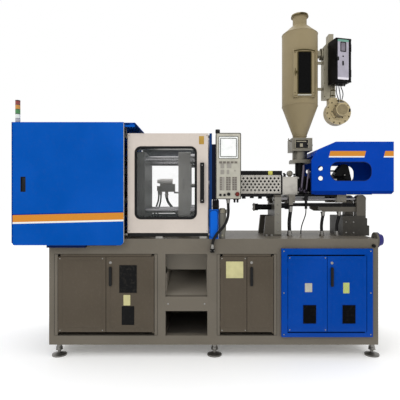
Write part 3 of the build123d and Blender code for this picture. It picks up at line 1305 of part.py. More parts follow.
def gate_handle():
    """A bow handle: an upright grip on two feet."""
    right = GATE_X[1] + GATE_HANDLE_OVERLAP
    x = (right - GATE_HANDLE_WIDTH, right)
    low = GATE_BOTTOM + GATE_HANDLE_RISE
    z = (low, low + GATE_HANDLE_HEIGHT)
    outer = -GATE_FRONT - GATE_HANDLE_REACH
    grip = block(x, (outer, outer + GATE_HANDLE_GRIP), z)
    grip = fillet(grip.edges().filter_by(Axis.Z), GATE_HANDLE_GRIP / 2 - 0.5)
    for foot in ((z[0], z[0] + GATE_HANDLE_FOOT), (z[1] - GATE_HANDLE_FOOT, z[1])):
        grip += block((x[0] + 6, x[1] - 6), (outer + GATE_HANDLE_GRIP / 2, -GATE_FRONT), foot)
    return grip


def gate_portal():
    """The wall beside the gates, open round the injection barrel, with the plate for the control panel."""
    x = (PORTAL_LEFT, PORTAL_RIGHT)
    wall = block(x, (-GATE_FRONT, GATE_FRONT), (DECK_TOP, GATE_TOP))
    opening = (DECK_TOP + PORTAL_SILL, DECK_TOP + PORTAL_OPENING_RISE)
    wall -= block(x, (-PORTAL_OPENING_HALF, PORTAL_OPENING_HALF), opening)
    plate_y = (-PANEL_FRONT + PANEL_PLATE_INSET, -PANEL_FRONT + PANEL_PLATE_INSET + PANEL_PLATE_DEPTH)
    plate_z = (PANEL_BOTTOM - SHEET, PANEL_BOTTOM + PANEL_HEIGHT - PANEL_PLATE_DROP)
    return wall + block((x[1], PANEL_LEFT), plate_y, plate_z)


# Control panel, stack light and small equipment on the operator's side

PANEL_X = (PANEL_LEFT, PANEL_LEFT + PANEL_WIDTH)
PANEL_Z = (PANEL_BOTTOM, PANEL_BOTTOM + PANEL_HEIGHT)
SCREEN_X = (PANEL_LEFT + SCREEN_MARGIN, PANEL_LEFT + SCREEN_MARGIN + SCREEN_WIDTH)
SCREEN_Z = (PANEL_Z[1] - SCREEN_TOP - SCREEN_HEIGHT, PANEL_Z[1] - SCREEN_TOP)
STOP_X = PANEL_X[1] - STOP_MARGIN
STOP_Z = PANEL_BOTTOM + STOP_RISE
SELECTOR_X = PANEL_LEFT + SELECTOR_MARGIN


def panel_housing():
    """Moulded housing of the control panel, with its screen recess and the holes for its two controls."""
    housing = block(PANEL_X, (-PANEL_FRONT, -PANEL_FRONT + PANEL_DEPTH), PANEL_Z)
    housing = fillet(housing.edges().filter_by(Axis.Y), PANEL_CORNER)
    housing = fillet(housing.faces().sort_by(Axis.Y)[0].edges(), PANEL_EDGE)
    recess = (-PANEL_FRONT, -PANEL_FRONT + SCREEN_RECESS)
    housing -= window_block(SCREEN_X, recess, SCREEN_Z, 6)
    hole = (-PANEL_FRONT, -PANEL_FRONT + CONTROL_DEPTH)
    housing -= bar_y(STOP_X, hole, STOP_Z, STOP_STEM_RADIUS + RUNNING_FIT)
    housing -= bar_y(SELECTOR_X, hole, STOP_Z, STOP_STEM_RADIUS + RUNNING_FIT)
    housing += bar_z(PANEL_LEFT + 20, -PANEL_FRONT + 40, (PANEL_Z[1] - 1, PANEL_Z[1] + 38), 22)
    return housing


def panel_screen():
    """The display, set in its recess."""
    y = (-PANEL_FRONT + 2, -PANEL_FRONT + SCREEN_RECESS)
    return window_block(SCREEN_X, y, SCREEN_Z, 6)


def panel_keys():
    """The soft keys under the screen and the three columns of keys below them, each a separate cap."""
    y = (-PANEL_FRONT - KEY_DEPTH, -PANEL_FRONT)
    keys = []
    for column in range(5):
        left = PANEL_LEFT + 34 + column * 38
        keys.append(block((left, left + 28), y, (SCREEN_Z[0] - 52, SCREEN_Z[0] - 32)))
    for column_x, count in ((PANEL_LEFT + 42, 1), (PANEL_LEFT + 104, 2), (PANEL_LEFT + 166, 2)):
        for row in range(6):
            z = PANEL_BOTTOM + 92 + row * 23
            for key in range(count):
                left = column_x + key * 24
                keys.append(block((left, left + 18), y, (z, z + 15)))
    return group(*keys)


def stop_button():
    """A mushroom push button on its stem."""
    outline = [
        (0, 0),
        (STOP_STEM_RADIUS, 0),
        (STOP_STEM_RADIUS, STOP_STEM_LENGTH),
        (STOP_RADIUS, STOP_STEM_LENGTH + 4),
        (STOP_RADIUS, STOP_STEM_LENGTH + 12),
        (STOP_RADIUS * 0.7, STOP_STEM_LENGTH + 17),
        (0, STOP_STEM_LENGTH + 18),
    ]
    base = -PANEL_FRONT + CONTROL_DEPTH - STOP_TRAVEL - 1
    return Pos(STOP_X, base, STOP_Z) * Rot(90, 0, 0) * turned_z(outline, 0, 0)


def mode_selector():
    """A rotary switch knob with a finger ridge."""
    base = -PANEL_FRONT + CONTROL_DEPTH - 1
    knob = bar_y(SELECTOR_X, (-PANEL_FRONT - 1, base), STOP_Z, STOP_STEM_RADIUS)
    knob += bar_y(SELECTOR_X, (-PANEL_FRONT - 8, -PANEL_FRONT - SEAT_GAP), STOP_Z, SELECTOR_RADIUS)
    ridge_x = grown((SELECTOR_X, SELECTOR_X), SELECTOR_RIDGE / 2)
    ridge_z = grown((STOP_Z, STOP_Z), SELECTOR_RADIUS - 3)
    return knob + block(ridge_x, (-PANEL_FRONT - 18, -PANEL_FRONT - 7), ridge_z)


def stack_light():
    """The signal lamp on the roof: a foot and four stacked lenses."""
    x = COVER_LEFT + STACK_INSET
    y = -GUARD_INNER + GUARD_RAIL_GAP + STACK_INSET
    tiers = [bar_z(x, y, (COVER_TOP, COVER_TOP + STACK_FOOT), STACK_RADIUS * 0.8)]
    for tier in range(4):
        low = COVER_TOP + STACK_FOOT + tier * STACK_TIER
        tiers.append(bar_z(x, y, (low, low + STACK_TIER), STACK_RADIUS))
    return group(*tiers)


def interlock_box():
    """The switch box beside the gate with its plug block, and the oil filter bowl next to it."""
    top = DECK_TOP + INTERLOCK_HEIGHT
    box_y = (-PANEL_FRONT, -PANEL_FRONT + INTERLOCK_DEPTH)
    box = block((PORTAL_LEFT, PORTAL_LEFT + INTERLOCK_WIDTH), box_y, (DECK_TOP, top))
    box -= block((PORTAL_LEFT, PORTAL_RIGHT), (-GATE_FRONT, GATE_FRONT), (DECK_TOP, top))
    plug_y = (-PANEL_FRONT + PLUG_SETBACK, -PANEL_FRONT + PLUG_SETBACK + PLUG_DEPTH)
    plug = block((PORTAL_RIGHT + PLUG_INSET, PORTAL_LEFT + PLUG_RIGHT), plug_y, (top, top + PLUG_HEIGHT))
    shoulder = DECK_TOP + BOWL_FOOT_HEIGHT + BOWL_TAPER
    head = top - BOWL_HEAD_HEIGHT
    bowl = turned_z(
        [
            (0, DECK_TOP),
            (BOWL_FOOT_RADIUS, DECK_TOP),
            (BOWL_FOOT_RADIUS, DECK_TOP + BOWL_FOOT_HEIGHT),
            (BOWL_RADIUS, shoulder),
            (BOWL_RADIUS, head - BOWL_HEAD_TAPER),
            (BOWL_HEAD_RADIUS, head),
            (BOWL_HEAD_RADIUS, top),
            (0, top),
        ],
        PORTAL_LEFT + BOWL_OFFSET,
        box_y[1],
    )
    gland_x = CONDUIT_START[0] + CONDUIT_END[0]
    gland_y = (-PANEL_FRONT - GLAND_PROUD, -BASE_HALF_DEPTH)
    gland_z = (BEAM_BOTTOM + GLAND_RISE, CONDUIT_START[2] + CONDUIT_END[2])
    gland = block((gland_x - GLAND_RADIUS, gland_x + GLAND_RADIUS), gland_y, gland_z)
    return group(box, plug, bowl, gland)


def core_pull_valve():
    """Manifold on a bracket behind the fixed platen, with a solenoid valve and its hose fittings."""
    bracket_x = (MOULD_FACE_X + VALVE_BRACKET_INSET, MOULD_FACE_X + VALVE_BRACKET_INSET + VALVE_BRACKET_PLATE)
    bracket = block(bracket_x, (PLATEN_HALF_DEPTH, VALVE_Y[1]), (VALVE_Z[0], VALVE_Z[1] - 60))
    shelf = block((VALVE_X[1] - 20, bracket_x[0]), VALVE_Y, (VALVE_Z[0], VALVE_Z[0] + 20))
    body_z = (VALVE_Z[0] + 20, VALVE_Z[1] - 90)
    body = block((VALVE_X[0] + 36, VALVE_X[1] - 10), VALVE_Y, body_z)
    body = fillet(body.edges().filter_by(Axis.Z), 6)
    coil_z = body_z[1] + 34
    coil = bar_x((VALVE_X[0] + 30, VALVE_X[1] - 40), sum(VALVE_Y) / 2, coil_z, 34)
    cap = bar_x((VALVE_X[0], VALVE_X[0] + 30), sum(VALVE_Y) / 2, coil_z, 24)
    fittings = [block((VALVE_X[0], VALVE_X[0] + 36), VALVE_Y, (VALVE_Z[0] + 30, VALVE_Z[0] + 90))]
    for x, z in HOSE_OUTLETS[:2]:
        fittings.append(bar_z(x, HOSE_Y, (z, VALVE_Z[0] + 30), 14))
    x, z = HOSE_OUTLETS[2]
    fittings.append(bar_z(x, HOSE_Y, (z, VALVE_Z[0] + 20), 20))
    return group(bracket, shelf, body, coil, cap, *fittings)


# Injection unit

CARRIAGE_TOP = AXIS_Z - CARRIAGE_TOP_DROP
CARRIAGE_FOOT = ROD_Z + ROD_RADIUS + 5
BLOCK_X = (BLOCK_LEFT, BLOCK_LEFT + BLOCK_LENGTH)
BLOCK_Z = (AXIS_Z - BLOCK_HALF_HEIGHT, AXIS_Z + BLOCK_HALF_HEIGHT)
TRAVERSE_Z = AXIS_Z - TRAVERSE_DROP
ROD_SIDES = (-ROD_Y, ROD_Y)
BARREL_BACK_X = BLOCK_X[1]
HOSE_LUG_Z = (CARRIAGE_HOSE[2], CARRIAGE_HOSE[2] + HOSE_LUG_HEIGHT)
GUARD_Z = (AXIS_Z - BARREL_GUARD_BOTTOM_DROP, AXIS_Z + BARREL_GUARD_TOP_RISE)
TRAVERSE_RIGHT = FRONT_SUPPORT_X + FRONT_SUPPORT_WIDTH + 3


def injection_supports():
    """Front and rear castings on the deck that carry the guide rods."""
    head = ROD_Z + SUPPORT_HEAD
    half = ROD_Y + SUPPORT_HEAD
    front_x = (FRONT_SUPPORT_X, FRONT_SUPPORT_X + FRONT_SUPPORT_WIDTH)
    outline = [
        (-half, DECK_TOP),
        (-half, head),
        (-SUPPORT_GAP, head),
        (-SUPPORT_GAP, TRAVERSE_Z + SUPPORT_HEAD),
        (SUPPORT_GAP, TRAVERSE_Z + SUPPORT_HEAD),
        (SUPPORT_GAP, head),
        (half, head),
        (half, DECK_TOP),
    ]
    front = end_profile(outline, front_x)
    front -= bar_x(front_x, 0, TRAVERSE_Z, TRAVERSE_RADIUS + SEAT_GAP)
    gusset = [
        (front_x[0] - GUSSET_LENGTH, DECK_TOP),
        (front_x[0], DECK_TOP),
        (front_x[0], DECK_TOP + GUSSET_HEIGHT),
        (front_x[0] - GUSSET_LENGTH * 0.8, DECK_TOP + GUSSET_HEIGHT),
    ]
    for y in (-half, half - GUSSET_WIDTH):
        front += side_profile(gusset, (y, y + GUSSET_WIDTH))
    rear_x = (REAR_SUPPORT_X, REAR_SUPPORT_X + REAR_SUPPORT_WIDTH)
    rear = block(rear_x, (-half, half), (DECK_TOP, DECK_TOP + REAR_BLOCK_HEIGHT))
    for y in ROD_SIDES:
        column_y = (y - SUPPORT_HEAD, y + SUPPORT_HEAD)
        column = block(rear_x, column_y, (DECK_TOP + REAR_BLOCK_HEIGHT - 1, head))
        column = fillet(column.faces().sort_by(Axis.Z)[-1].edges().filter_by(Axis.Y), SUPPORT_HEAD - 1)
        rear += column
        arm = [
            (rear_x[0] - ARM_LENGTH, ROD_Z - ARM_DROP),
            (rear_x[0] - ARM_LENGTH, ROD_Z - ARM_DROP - ARM_HEIGHT * 0.6),
            (rear_x[0] - ARM_LENGTH + 50, ROD_Z - ARM_DROP - ARM_HEIGHT),
            (rear_x[0], ROD_Z - ARM_DROP - ARM_HEIGHT),
            (rear_x[0], ROD_Z - ARM_DROP),
        ]
        rear += side_profile(arm, (y - ARM_WIDTH / 2, y + ARM_WIDTH / 2))
    base_x = (rear_x[0] - REAR_FOOT_LENGTH, rear_x[0])
    base = block(base_x, (-half, half), (DECK_TOP, DECK_TOP + REAR_FOOT_HEIGHT))
    steps = [
        (rear_x[1], DECK_TOP),
        (rear_x[1] + 46, DECK_TOP),
        (rear_x[1] + 46, DECK_TOP + 110),
        (rear_x[1] + 24, DECK_TOP + 110),
        (rear_x[1] + 24, DECK_TOP + 190),
        (rear_x[1], DECK_TOP + 190),
    ]
    rear += base + side_profile(steps, (-half + 20, -half + 90))
    for y in (-LOWER_BEAM_Y - LOWER_BEAM_WIDTH / 2, LOWER_BEAM_Y - LOWER_BEAM_WIDTH / 2):
        beam_z = (ROD_Z - LOWER_BEAM_DROP - LOWER_BEAM_HEIGHT, ROD_Z - LOWER_BEAM_DROP)
        rear += block((front_x[1], rear_x[0] + 1), (y, y + LOWER_BEAM_WIDTH), beam_z)
    for y in ROD_SIDES:
        front -= bar_x(front_x, y, ROD_Z, ROD_RADIUS + SEAT_GAP)
        rear -= bar_x(rear_x, y, ROD_Z, ROD_RADIUS + SEAT_GAP)
    return group(front, rear)


def guide_rods():
    """Two ground rods that the carriage slides on."""
    ends = (FRONT_SUPPORT_X, REAR_SUPPORT_X + REAR_SUPPORT_WIDTH)
    return group(*[bar_x(ends, y, ROD_Z, ROD_RADIUS) for y in ROD_SIDES])


def traverse_cylinder():
    """The cylinder in the front support that moves the carriage."""
    body = turned_x(
        [
            (TRAVERSE_LEFT, 0),
            (TRAVERSE_LEFT, TRAVERSE_RADIUS + 8),
            (TRAVERSE_LEFT + 40, TRAVERSE_RADIUS + 8),
            (TRAVERSE_LEFT + 40, TRAVERSE_RADIUS),
            (TRAVERSE_RIGHT, TRAVERSE_RADIUS),
            (TRAVERSE_RIGHT, 0),
        ],
        0,
        TRAVERSE_Z,
    )
    bore_x = (TRAVERSE_LEFT + TRAVERSE_CAP, TRAVERSE_RIGHT)
    return body - bar_x(bore_x, 0, TRAVERSE_Z, TRAVERSE_ROD_RADIUS + RUNNING_FIT)


def carriage_frame():
    """Side beams on four bushes, the saddle of the feed block, the cylinder flange and the traverse rod."""
    frame = None
    for y in ROD_SIDES:
        beam_y = (y - BUSH_RADIUS, y + BUSH_RADIUS)
        beam = block((FRONT_BUSH_X, CARRIAGE_RIGHT), beam_y, (CARRIAGE_FOOT, CARRIAGE_TOP))
        for start, length in ((FRONT_BUSH_X, FRONT_BUSH_LENGTH), (REAR_BUSH_X, REAR_BUSH_LENGTH)):
            bush = block((start, start + length), beam_y, (ROD_Z - BUSH_RADIUS, CARRIAGE_FOOT + 1))
            bush = fillet(bush.faces().sort_by(Axis.Z)[0].edges().filter_by(Axis.X), BUSH_RADIUS * 0.6)
            beam += bush
        beam -= bar_x((FRONT_BUSH_X, CARRIAGE_RIGHT), y, ROD_Z, ROD_RADIUS + RUNNING_FIT)
        frame = beam if frame is None else frame + beam
    between = (-ROD_Y, ROD_Y)
    front_tie = (FRONT_BUSH_X, FRONT_BUSH_X + FRONT_BUSH_LENGTH)
    frame += block(front_tie, between, (CARRIAGE_FOOT, CARRIAGE_TOP))
    frame += block(BLOCK_X, (-ROD_Y - BUSH_RADIUS, ROD_Y + BUSH_RADIUS), (CARRIAGE_FOOT, BLOCK_Z[0]))
    lug_x = (FRONT_BUSH_X + 5, FRONT_BUSH_X + 45)
    frame += block(lug_x, (-25, 25), (TRAVERSE_Z - 25, CARRIAGE_FOOT + 1))
    rod_start = TRAVERSE_LEFT + TRAVERSE_CAP + CARRIAGE_FORWARD + 20
    frame += bar_x((rod_start, lug_x[0] + 1), 0, TRAVERSE_Z, TRAVERSE_ROD_RADIUS)
    flange_x = (BLOCK_X[1], BLOCK_X[1] + FLANGE_THICKNESS)
    flange_half = INJECTION_ROD_Y + INJECTION_CYLINDER_RADIUS + 6
    flange = block(flange_x, (-flange_half, flange_half), (CARRIAGE_FOOT, AXIS_Z + 70))
    flange -= bar_x(flange_x, 0, AXIS_Z, BARREL_RADIUS)
    frame += flange
    for y in (-INJECTION_ROD_Y, INJECTION_ROD_Y):
        cylinder_x = (flange_x[1] - 1, flange_x[1] + INJECTION_CYLINDER_LENGTH)
        frame += bar_x(cylinder_x, y, AXIS_Z, INJECTION_CYLINDER_RADIUS)
        frame -= bar_x((flange_x[0] + 4, cylinder_x[1]), y, AXIS_Z, INJECTION_ROD_RADIUS + RUNNING_FIT)
    rear_tie = (REAR_BUSH_X, REAR_BUSH_X + REAR_BUSH_LENGTH)
    inside = (BUSH_RADIUS - 1 - ROD_Y, ROD_Y - BUSH_RADIUS + 1)
    frame += block(rear_tie, inside, (CARRIAGE_FOOT - 26, CARRIAGE_FOOT - 6))
    hose_lug_x = grown((CARRIAGE_HOSE[0], CARRIAGE_HOSE[0]), HOSE_LUG_HALF)
    frame += block(hose_lug_x, (CARRIAGE_HOSE[1] - 23, -ROD_Y - 30), HOSE_LUG_Z)
    frame += bar_z(CARRIAGE_HOSE[0], CARRIAGE_HOSE[1], (HOSE_LUG_Z[0], HOSE_LUG_Z[0] + 40), 23)
    cable_x = grown((CARRIAGE_CABLE[0], CARRIAGE_CABLE[0]), CABLE_LUG_HALF)
    cable_y = (CARRIAGE_CABLE[1] - 14, -ROD_Y - BUSH_RADIUS + 1)
    frame += block(cable_x, cable_y, (CARRIAGE_FOOT - 46, BLOCK_Z[0]))
    return frame + bar_z(CARRIAGE_CABLE[0], CARRIAGE_CABLE[1], (CARRIAGE_CABLE[2], CARRIAGE_FOOT - 45), 14)


def feed_block():
    """The casting round the back of the barrel, with its throat and the neck that the hopper stands on."""
    body = block(BLOCK_X, (-BLOCK_HALF_DEPTH, BLOCK_HALF_DEPTH), BLOCK_Z)
    body = fillet(body.edges().filter_by(Axis.X), 10)
    neck_radius = THROAT_RADIUS + 20
    body += bar_z(HOPPER_X, 0, (BLOCK_Z[1] - 1, THROAT_PLATE_BOTTOM), neck_radius)
    body -= bar_z(HOPPER_X, 0, (AXIS_Z, THROAT_PLATE_BOTTOM), THROAT_RADIUS)
    return body - bar_x(BLOCK_X, 0, AXIS_Z, BARREL_RADIUS + SEAT_GAP)


def barrel():
    """The plasticising barrel, its nozzle and its heater bands."""
    nose = BARREL_NOSE_X
    outline = [
        (nose - NOZZLE_LENGTH, NOZZLE_ORIFICE),
        (nose - NOZZLE_LENGTH, NOZZLE_RADIUS * 0.5),
        (nose - NOZZLE_LENGTH + 10, NOZZLE_RADIUS),
        (nose, NOZZLE_RADIUS),
        (nose, BARREL_RADIUS - 6),
        (nose + 6, BARREL_RADIUS),
    ]
    for band in range(HEATER_COUNT):
        start = BARREL_GUARD_LEFT + HEATER_GAP + band * (HEATER_WIDTH + HEATER_GAP)
        outline += [
            (start, BARREL_RADIUS),
            (start, HEATER_RADIUS),
            (start + HEATER_WIDTH, HEATER_RADIUS),
            (start + HEATER_WIDTH, BARREL_RADIUS),
        ]
    outline += [
        (BARREL_BACK_X, BARREL_RADIUS),
        (BARREL_BACK_X, SCREW_RADIUS + RUNNING_FIT),
        (nose + NOSE_WALL, SCREW_RADIUS + RUNNING_FIT),
        (nose, NOZZLE_ORIFICE),
    ]
    tube = turned_x(outline, 0, AXIS_Z)
    return tube - bar_z(HOPPER_X, 0, (AXIS_Z, AXIS_Z + BARREL_RADIUS), THROAT_RADIUS * 0.5)


def screw():
    """The screw: tip, check ring, stepped root and shank, which turns and moves with the injection plate."""
    tip = BARREL_NOSE_X + NOSE_WALL + INJECTION_STROKE + 6
    back = INJECTION_PLATE_X + INJECTION_PLATE_THICKNESS - 4
    outline = [
        (tip, 0),
        (tip + 24, SCREW_RADIUS * 0.6),
        (tip + 30, SCREW_RADIUS),
        (tip + 46, SCREW_RADIUS),
        (tip + 50, SCREW_ROOT_RADIUS + 2),
        (tip + 300, SCREW_ROOT_RADIUS + 2),
        (tip + 480, SCREW_ROOT_RADIUS),
        (BLOCK_X[0] + 60, SCREW_ROOT_RADIUS),
        (BLOCK_X[0] + 80, SCREW_RADIUS),
        (back, SCREW_RADIUS),
        (back, 0),
    ]
    return turned_x(outline, 0, AXIS_Z)


def barrel_guard():
    """Folded cover over the barrel, with staggered holes in both sides, and the cable duct on top."""
    x = (BARREL_GUARD_LEFT, BARREL_GUARD_RIGHT)
    half = BARREL_GUARD_HALF
    wall = BARREL_GUARD_SHEET
    cover = block(x, (-half, half), GUARD_Z)
    cover -= block(x, (wall - half, half - wall), (GUARD_Z[0], GUARD_Z[1] - wall))
    middle = (GUARD_Z[0] + GUARD_Z[1]) / 2
    columns = int((x[1] - x[0] - PERFORATION_PITCH) / PERFORATION_PITCH)
    points = []
    for row in range(PERFORATION_ROWS):
        z = middle + (row - (PERFORATION_ROWS - 1) / 2) * PERFORATION_ROW
        shift = PERFORATION_PITCH / 2 * (row % 2)
        points += [(x[1] - PERFORATION_PITCH * (0.6 + column) - shift, z) for column in range(columns)]
    holes = [bar_y(px, (-half, wall - half), pz, PERFORATION_RADIUS) for px, pz in points]
    cover -= holes
    duct = block((x[0], x[1] + RING_WIDTH), (30 - half, 80 - half), (GUARD_Z[1], GUARD_Z[1] + DUCT_HEIGHT))
    return group(cover, duct)


def throat_cover():
    """The end ring of the barrel guard and the plain box cover between it and the feed block."""
    half = THROAT_COVER_HALF_DEPTH
    ring_x = (BARREL_GUARD_RIGHT, BARREL_GUARD_RIGHT + RING_WIDTH)
    ring = block(ring_x, (-half, half), GUARD_Z)
    ring -= bar_x(ring_x, 0, AXIS_Z, HEATER_RADIUS + 8)
    box_x = (ring_x[1], BLOCK_X[0])
    box_z = (AXIS_Z - THROAT_COVER_DROP, AXIS_Z + THROAT_COVER_RISE)
    box = block(box_x, (-half, half), box_z)
    box = fillet(box.faces().sort_by(Axis.Z)[-1].edges().filter_by(Axis.X), 8)
    box -= block(box_x, (SHEET - half, half - SHEET), (box_z[0], box_z[1] - SHEET))
    return group(ring, box)


def injection_plate():
    """The thrust plate behind the screw and its two piston rods."""
    x = (INJECTION_PLATE_X, INJECTION_PLATE_X + INJECTION_PLATE_THICKNESS)
    half = INJECTION_ROD_Y + INJECTION_CYLINDER_RADIUS
    plate = block(x, (-half, half), (AXIS_Z - 75, AXIS_Z + 75))
    plate = fillet(plate.edges().filter_by(Axis.X), 20)
    plate -= bar_x(x, 0, AXIS_Z, SCREW_RADIUS + RUNNING_FIT)
    left = BLOCK_X[1] + FLANGE_THICKNESS + INJECTION_CYLINDER_LENGTH - ROD_ENGAGED
    for y in (-INJECTION_ROD_Y, INJECTION_ROD_Y):
        plate += bar_x((left, x[0] + 1), y, AXIS_Z, INJECTION_ROD_RADIUS)
    return plate


def hydraulic_motor():
    """The screw motor: a round body with a raised valve housing, a rear bearing cover and its supply pipe."""
    left = INJECTION_PLATE_X + INJECTION_PLATE_THICKNESS
    bearing = left + MOTOR_LENGTH + MOTOR_SHOULDER
    body = turned_x(
        [
            (left, 0),
            (left, MOTOR_RADIUS),
            (left + MOTOR_LENGTH, MOTOR_RADIUS),
            (bearing, MOTOR_RADIUS * 0.75),
            (bearing + MOTOR_BEARING_LENGTH - MOTOR_BEARING_EDGE, MOTOR_RADIUS * 0.7),
            (bearing + MOTOR_BEARING_LENGTH, 0),
        ],
        0,
        AXIS_Z,
    )
    crest = [(x, MOTOR_RISE) for x in MOTOR_HOUSING_CREST]
    outline = [MOTOR_HOUSING_FOOT, *MOTOR_HOUSING_FLANK, *crest, *MOTOR_HOUSING_BACK]
    housing = [(left + x, AXIS_Z + rise) for x, rise in outline]
    body += side_profile(housing, (-MOTOR_HOUSING_HALF, MOTOR_HOUSING_HALF))
    bend = left - MOTOR_PIPE_BEND
    pipe_z = AXIS_Z + MOTOR_PIPE_RISE
    body += bar_x((bend - MOTOR_PIPE_OVERHANG, left + MOTOR_PIPE_DEPTH), 0, pipe_z, MOTOR_PIPE_RADIUS)
    return body + bar_z(bend, 0, (AXIS_Z + MOTOR_PIPE_FOOT, pipe_z + MOTOR_PIPE_CROWN), MOTOR_PIPE_RADIUS)


def motor_cover():
    """Sheet cover over the injection drive: sloped front, side windows and round holes, open underneath."""
    x = (MOTOR_COVER_LEFT, MOTOR_COVER_RIGHT)
    z = (AXIS_Z - MOTOR_COVER_BOTTOM_DROP, AXIS_Z + MOTOR_COVER_TOP_RISE)
    half = COVER_HALF_DEPTH
    outline = [
        (x[0], z[0]),
        (x[0], z[1] - 200),
        (x[0] + 62, z[1] - 88),
        (x[0] + 260, z[1]),
        (x[1], z[1]),
        (x[1], z[0] + COVER_CHAMFER),
        (x[1] - COVER_CHAMFER, z[0]),
    ]
    inner = [
        (x[0] + SHEET, z[0]),
        (x[0] + SHEET, z[1] - 200 - SHEET * 0.5),
        (x[0] + 62 + SHEET * 0.7, z[1] - 88 - SHEET * 0.8),
        (x[0] + 260 + SHEET * 0.2, z[1] - SHEET),
        (x[1] - SHEET, z[1] - SHEET),
        (x[1] - SHEET, z[0]),
    ]
    cover = side_profile(outline, (-half, half))
    cover -= side_profile(inner, (SHEET - half, half - SHEET))
    window_x = (MOTOR_WINDOW_LEFT, MOTOR_WINDOW_LEFT + MOTOR_WINDOW_WIDTH)
    window_z = (AXIS_Z + MOTOR_WINDOW_BOTTOM_RISE, AXIS_Z + MOTOR_WINDOW_BOTTOM_RISE + MOTOR_WINDOW_HEIGHT)
    cover -= window_block(window_x, (-half, half), window_z, MOTOR_WINDOW_CORNER)
    for hole_z in COVER_HOLE_RISES:
        cover -= bar_y(x[0] + COVER_HOLE_INSET, (-half, half), AXIS_Z + hole_z, COVER_HOLE_RADIUS)
    notch = ROD_Y + BUSH_RADIUS + 2
    cover -= block((x[0], x[0] + 40), (-notch, notch), (z[0], THROAT_PLATE_TOP + 30))
    for side in (-1, 1):
        y = tuple(sorted((side * half, side * (ROD_Y + BUSH_RADIUS - 20))))
        cover += block((x[0] + 30, CARRIAGE_RIGHT - 10), y, (CARRIAGE_TOP, CARRIAGE_TOP + COVER_FLANGE))
    return cover


# Hopper dryer

DOOR_Z_RANGE = (HOPPER_DOOR_BOTTOM, HOPPER_DOOR_TOP)
DOOR_X_RANGE = (HOPPER_X - HOPPER_DOOR_WIDTH / 2, HOPPER_X + HOPPER_DOOR_WIDTH / 2)
HINGE_X = DOOR_X_RANGE[1] + HINGE_RADIUS + 1
HINGE_Y = -HOPPER_DOOR_FRONT + HOPPER_DOOR_THICKNESS / 2
KNUCKLES = [DOOR_Z_RANGE[0] + HINGE_LENGTH * 0.6, DOOR_Z_RANGE[1] - HINGE_LENGTH * 1.6]


def hopper_shell():
    """The drying hopper: cone, cylinder, shoulder and lid, with the frame and hinge pin of its door."""
    wall = HOPPER_WALL
    outline = [
        (OUTLET_RADIUS, MAGNET_BOX_TOP),
        (OUTLET_RADIUS, HOPPER_CONE_BOTTOM),
        (HOPPER_RADIUS, HOPPER_CYLINDER_BOTTOM),
        (HOPPER_RADIUS, HOPPER_CYLINDER_TOP),
        (HOPPER_NECK_RADIUS, HOPPER_NECK_BOTTOM),
        (HOPPER_NECK_RADIUS, HOPPER_NECK_TOP),
        (HOPPER_RIM_RADIUS, HOPPER_NECK_TOP),
        (HOPPER_RIM_RADIUS, HOPPER_TOP),
        (0, HOPPER_TOP),
        (0, HOPPER_TOP - wall),
        (HOPPER_NECK_RADIUS - wall, HOPPER_TOP - wall),
        (HOPPER_NECK_RADIUS - wall, HOPPER_NECK_BOTTOM),
        (HOPPER_RADIUS - wall, HOPPER_CYLINDER_TOP),
        (HOPPER_RADIUS - wall, HOPPER_CYLINDER_BOTTOM),
        (OUTLET_RADIUS - wall, HOPPER_CONE_BOTTOM),
        (OUTLET_RADIUS - wall, MAGNET_BOX_TOP),
    ]
    shell = turned_z(outline, HOPPER_X, 0)
    back = -HOPPER_DOOR_FRONT + HOPPER_DOOR_THICKNESS
    frame_z = grown(DOOR_Z_RANGE, DOOR_FRAME_MARGIN)
    frame = block(DOOR_X_RANGE, (back, back + 60), frame_z)
    frame -= bar_z(HOPPER_X, 0, frame_z, HOPPER_RADIUS - wall)
    shell += frame
    sight_x = (HOPPER_X - SIGHT_WIDTH / 2, HOPPER_X + SIGHT_WIDTH / 2)
    middle = sum(DOOR_Z_RANGE) / 2
    shell -= block(sight_x, (back, back + 60), (middle - SIGHT_HEIGHT / 2, middle + SIGHT_HEIGHT / 2))
    for low in (frame_z[0] + 1, frame_z[1] - 13):
        lug_y = (HINGE_Y - HINGE_RADIUS + 1, back + 12)
        shell += block((DOOR_X_RANGE[1] - 1, HINGE_X), lug_y, (low, low + 12))
        shell += bar_z(HINGE_X, HINGE_Y, (low, low + 12), HINGE_RADIUS)
    return shell + bar_z(HINGE_X, HINGE_Y, (frame_z[0] + 2, frame_z[1] - 2), HINGE_PIN_RADIUS)


def hopper_door():
    """The flat door of the hopper, with the opening for its sight glass, its knuckles and a latch knob."""
    y = (-HOPPER_DOOR_FRONT, -HOPPER_DOOR_FRONT + HOPPER_DOOR_THICKNESS - SEAT_GAP)
    door = block(DOOR_X_RANGE, y, DOOR_Z_RANGE)
    sight_x = (HOPPER_X - SIGHT_WIDTH / 2, HOPPER_X + SIGHT_WIDTH / 2)
    middle = sum(DOOR_Z_RANGE) / 2
    door -= block(sight_x, y, (middle - SIGHT_HEIGHT / 2, middle + SIGHT_HEIGHT / 2))
    for low in KNUCKLES:
        knuckle_z = (low, low + HINGE_LENGTH)
        door += block((DOOR_X_RANGE[1] - 1, HINGE_X), (y[0] + 1, y[1]), knuckle_z)
        door += bar_z(HINGE_X, HINGE_Y, knuckle_z, HINGE_RADIUS)
        door -= bar_z(HINGE_X, HINGE_Y, knuckle_z, HINGE_PIN_RADIUS + RUNNING_FIT)
    knob_x = DOOR_X_RANGE[0] + 22
    return door + bar_y(knob_x, (y[0] - 26, y[0] + 1), middle, 12)


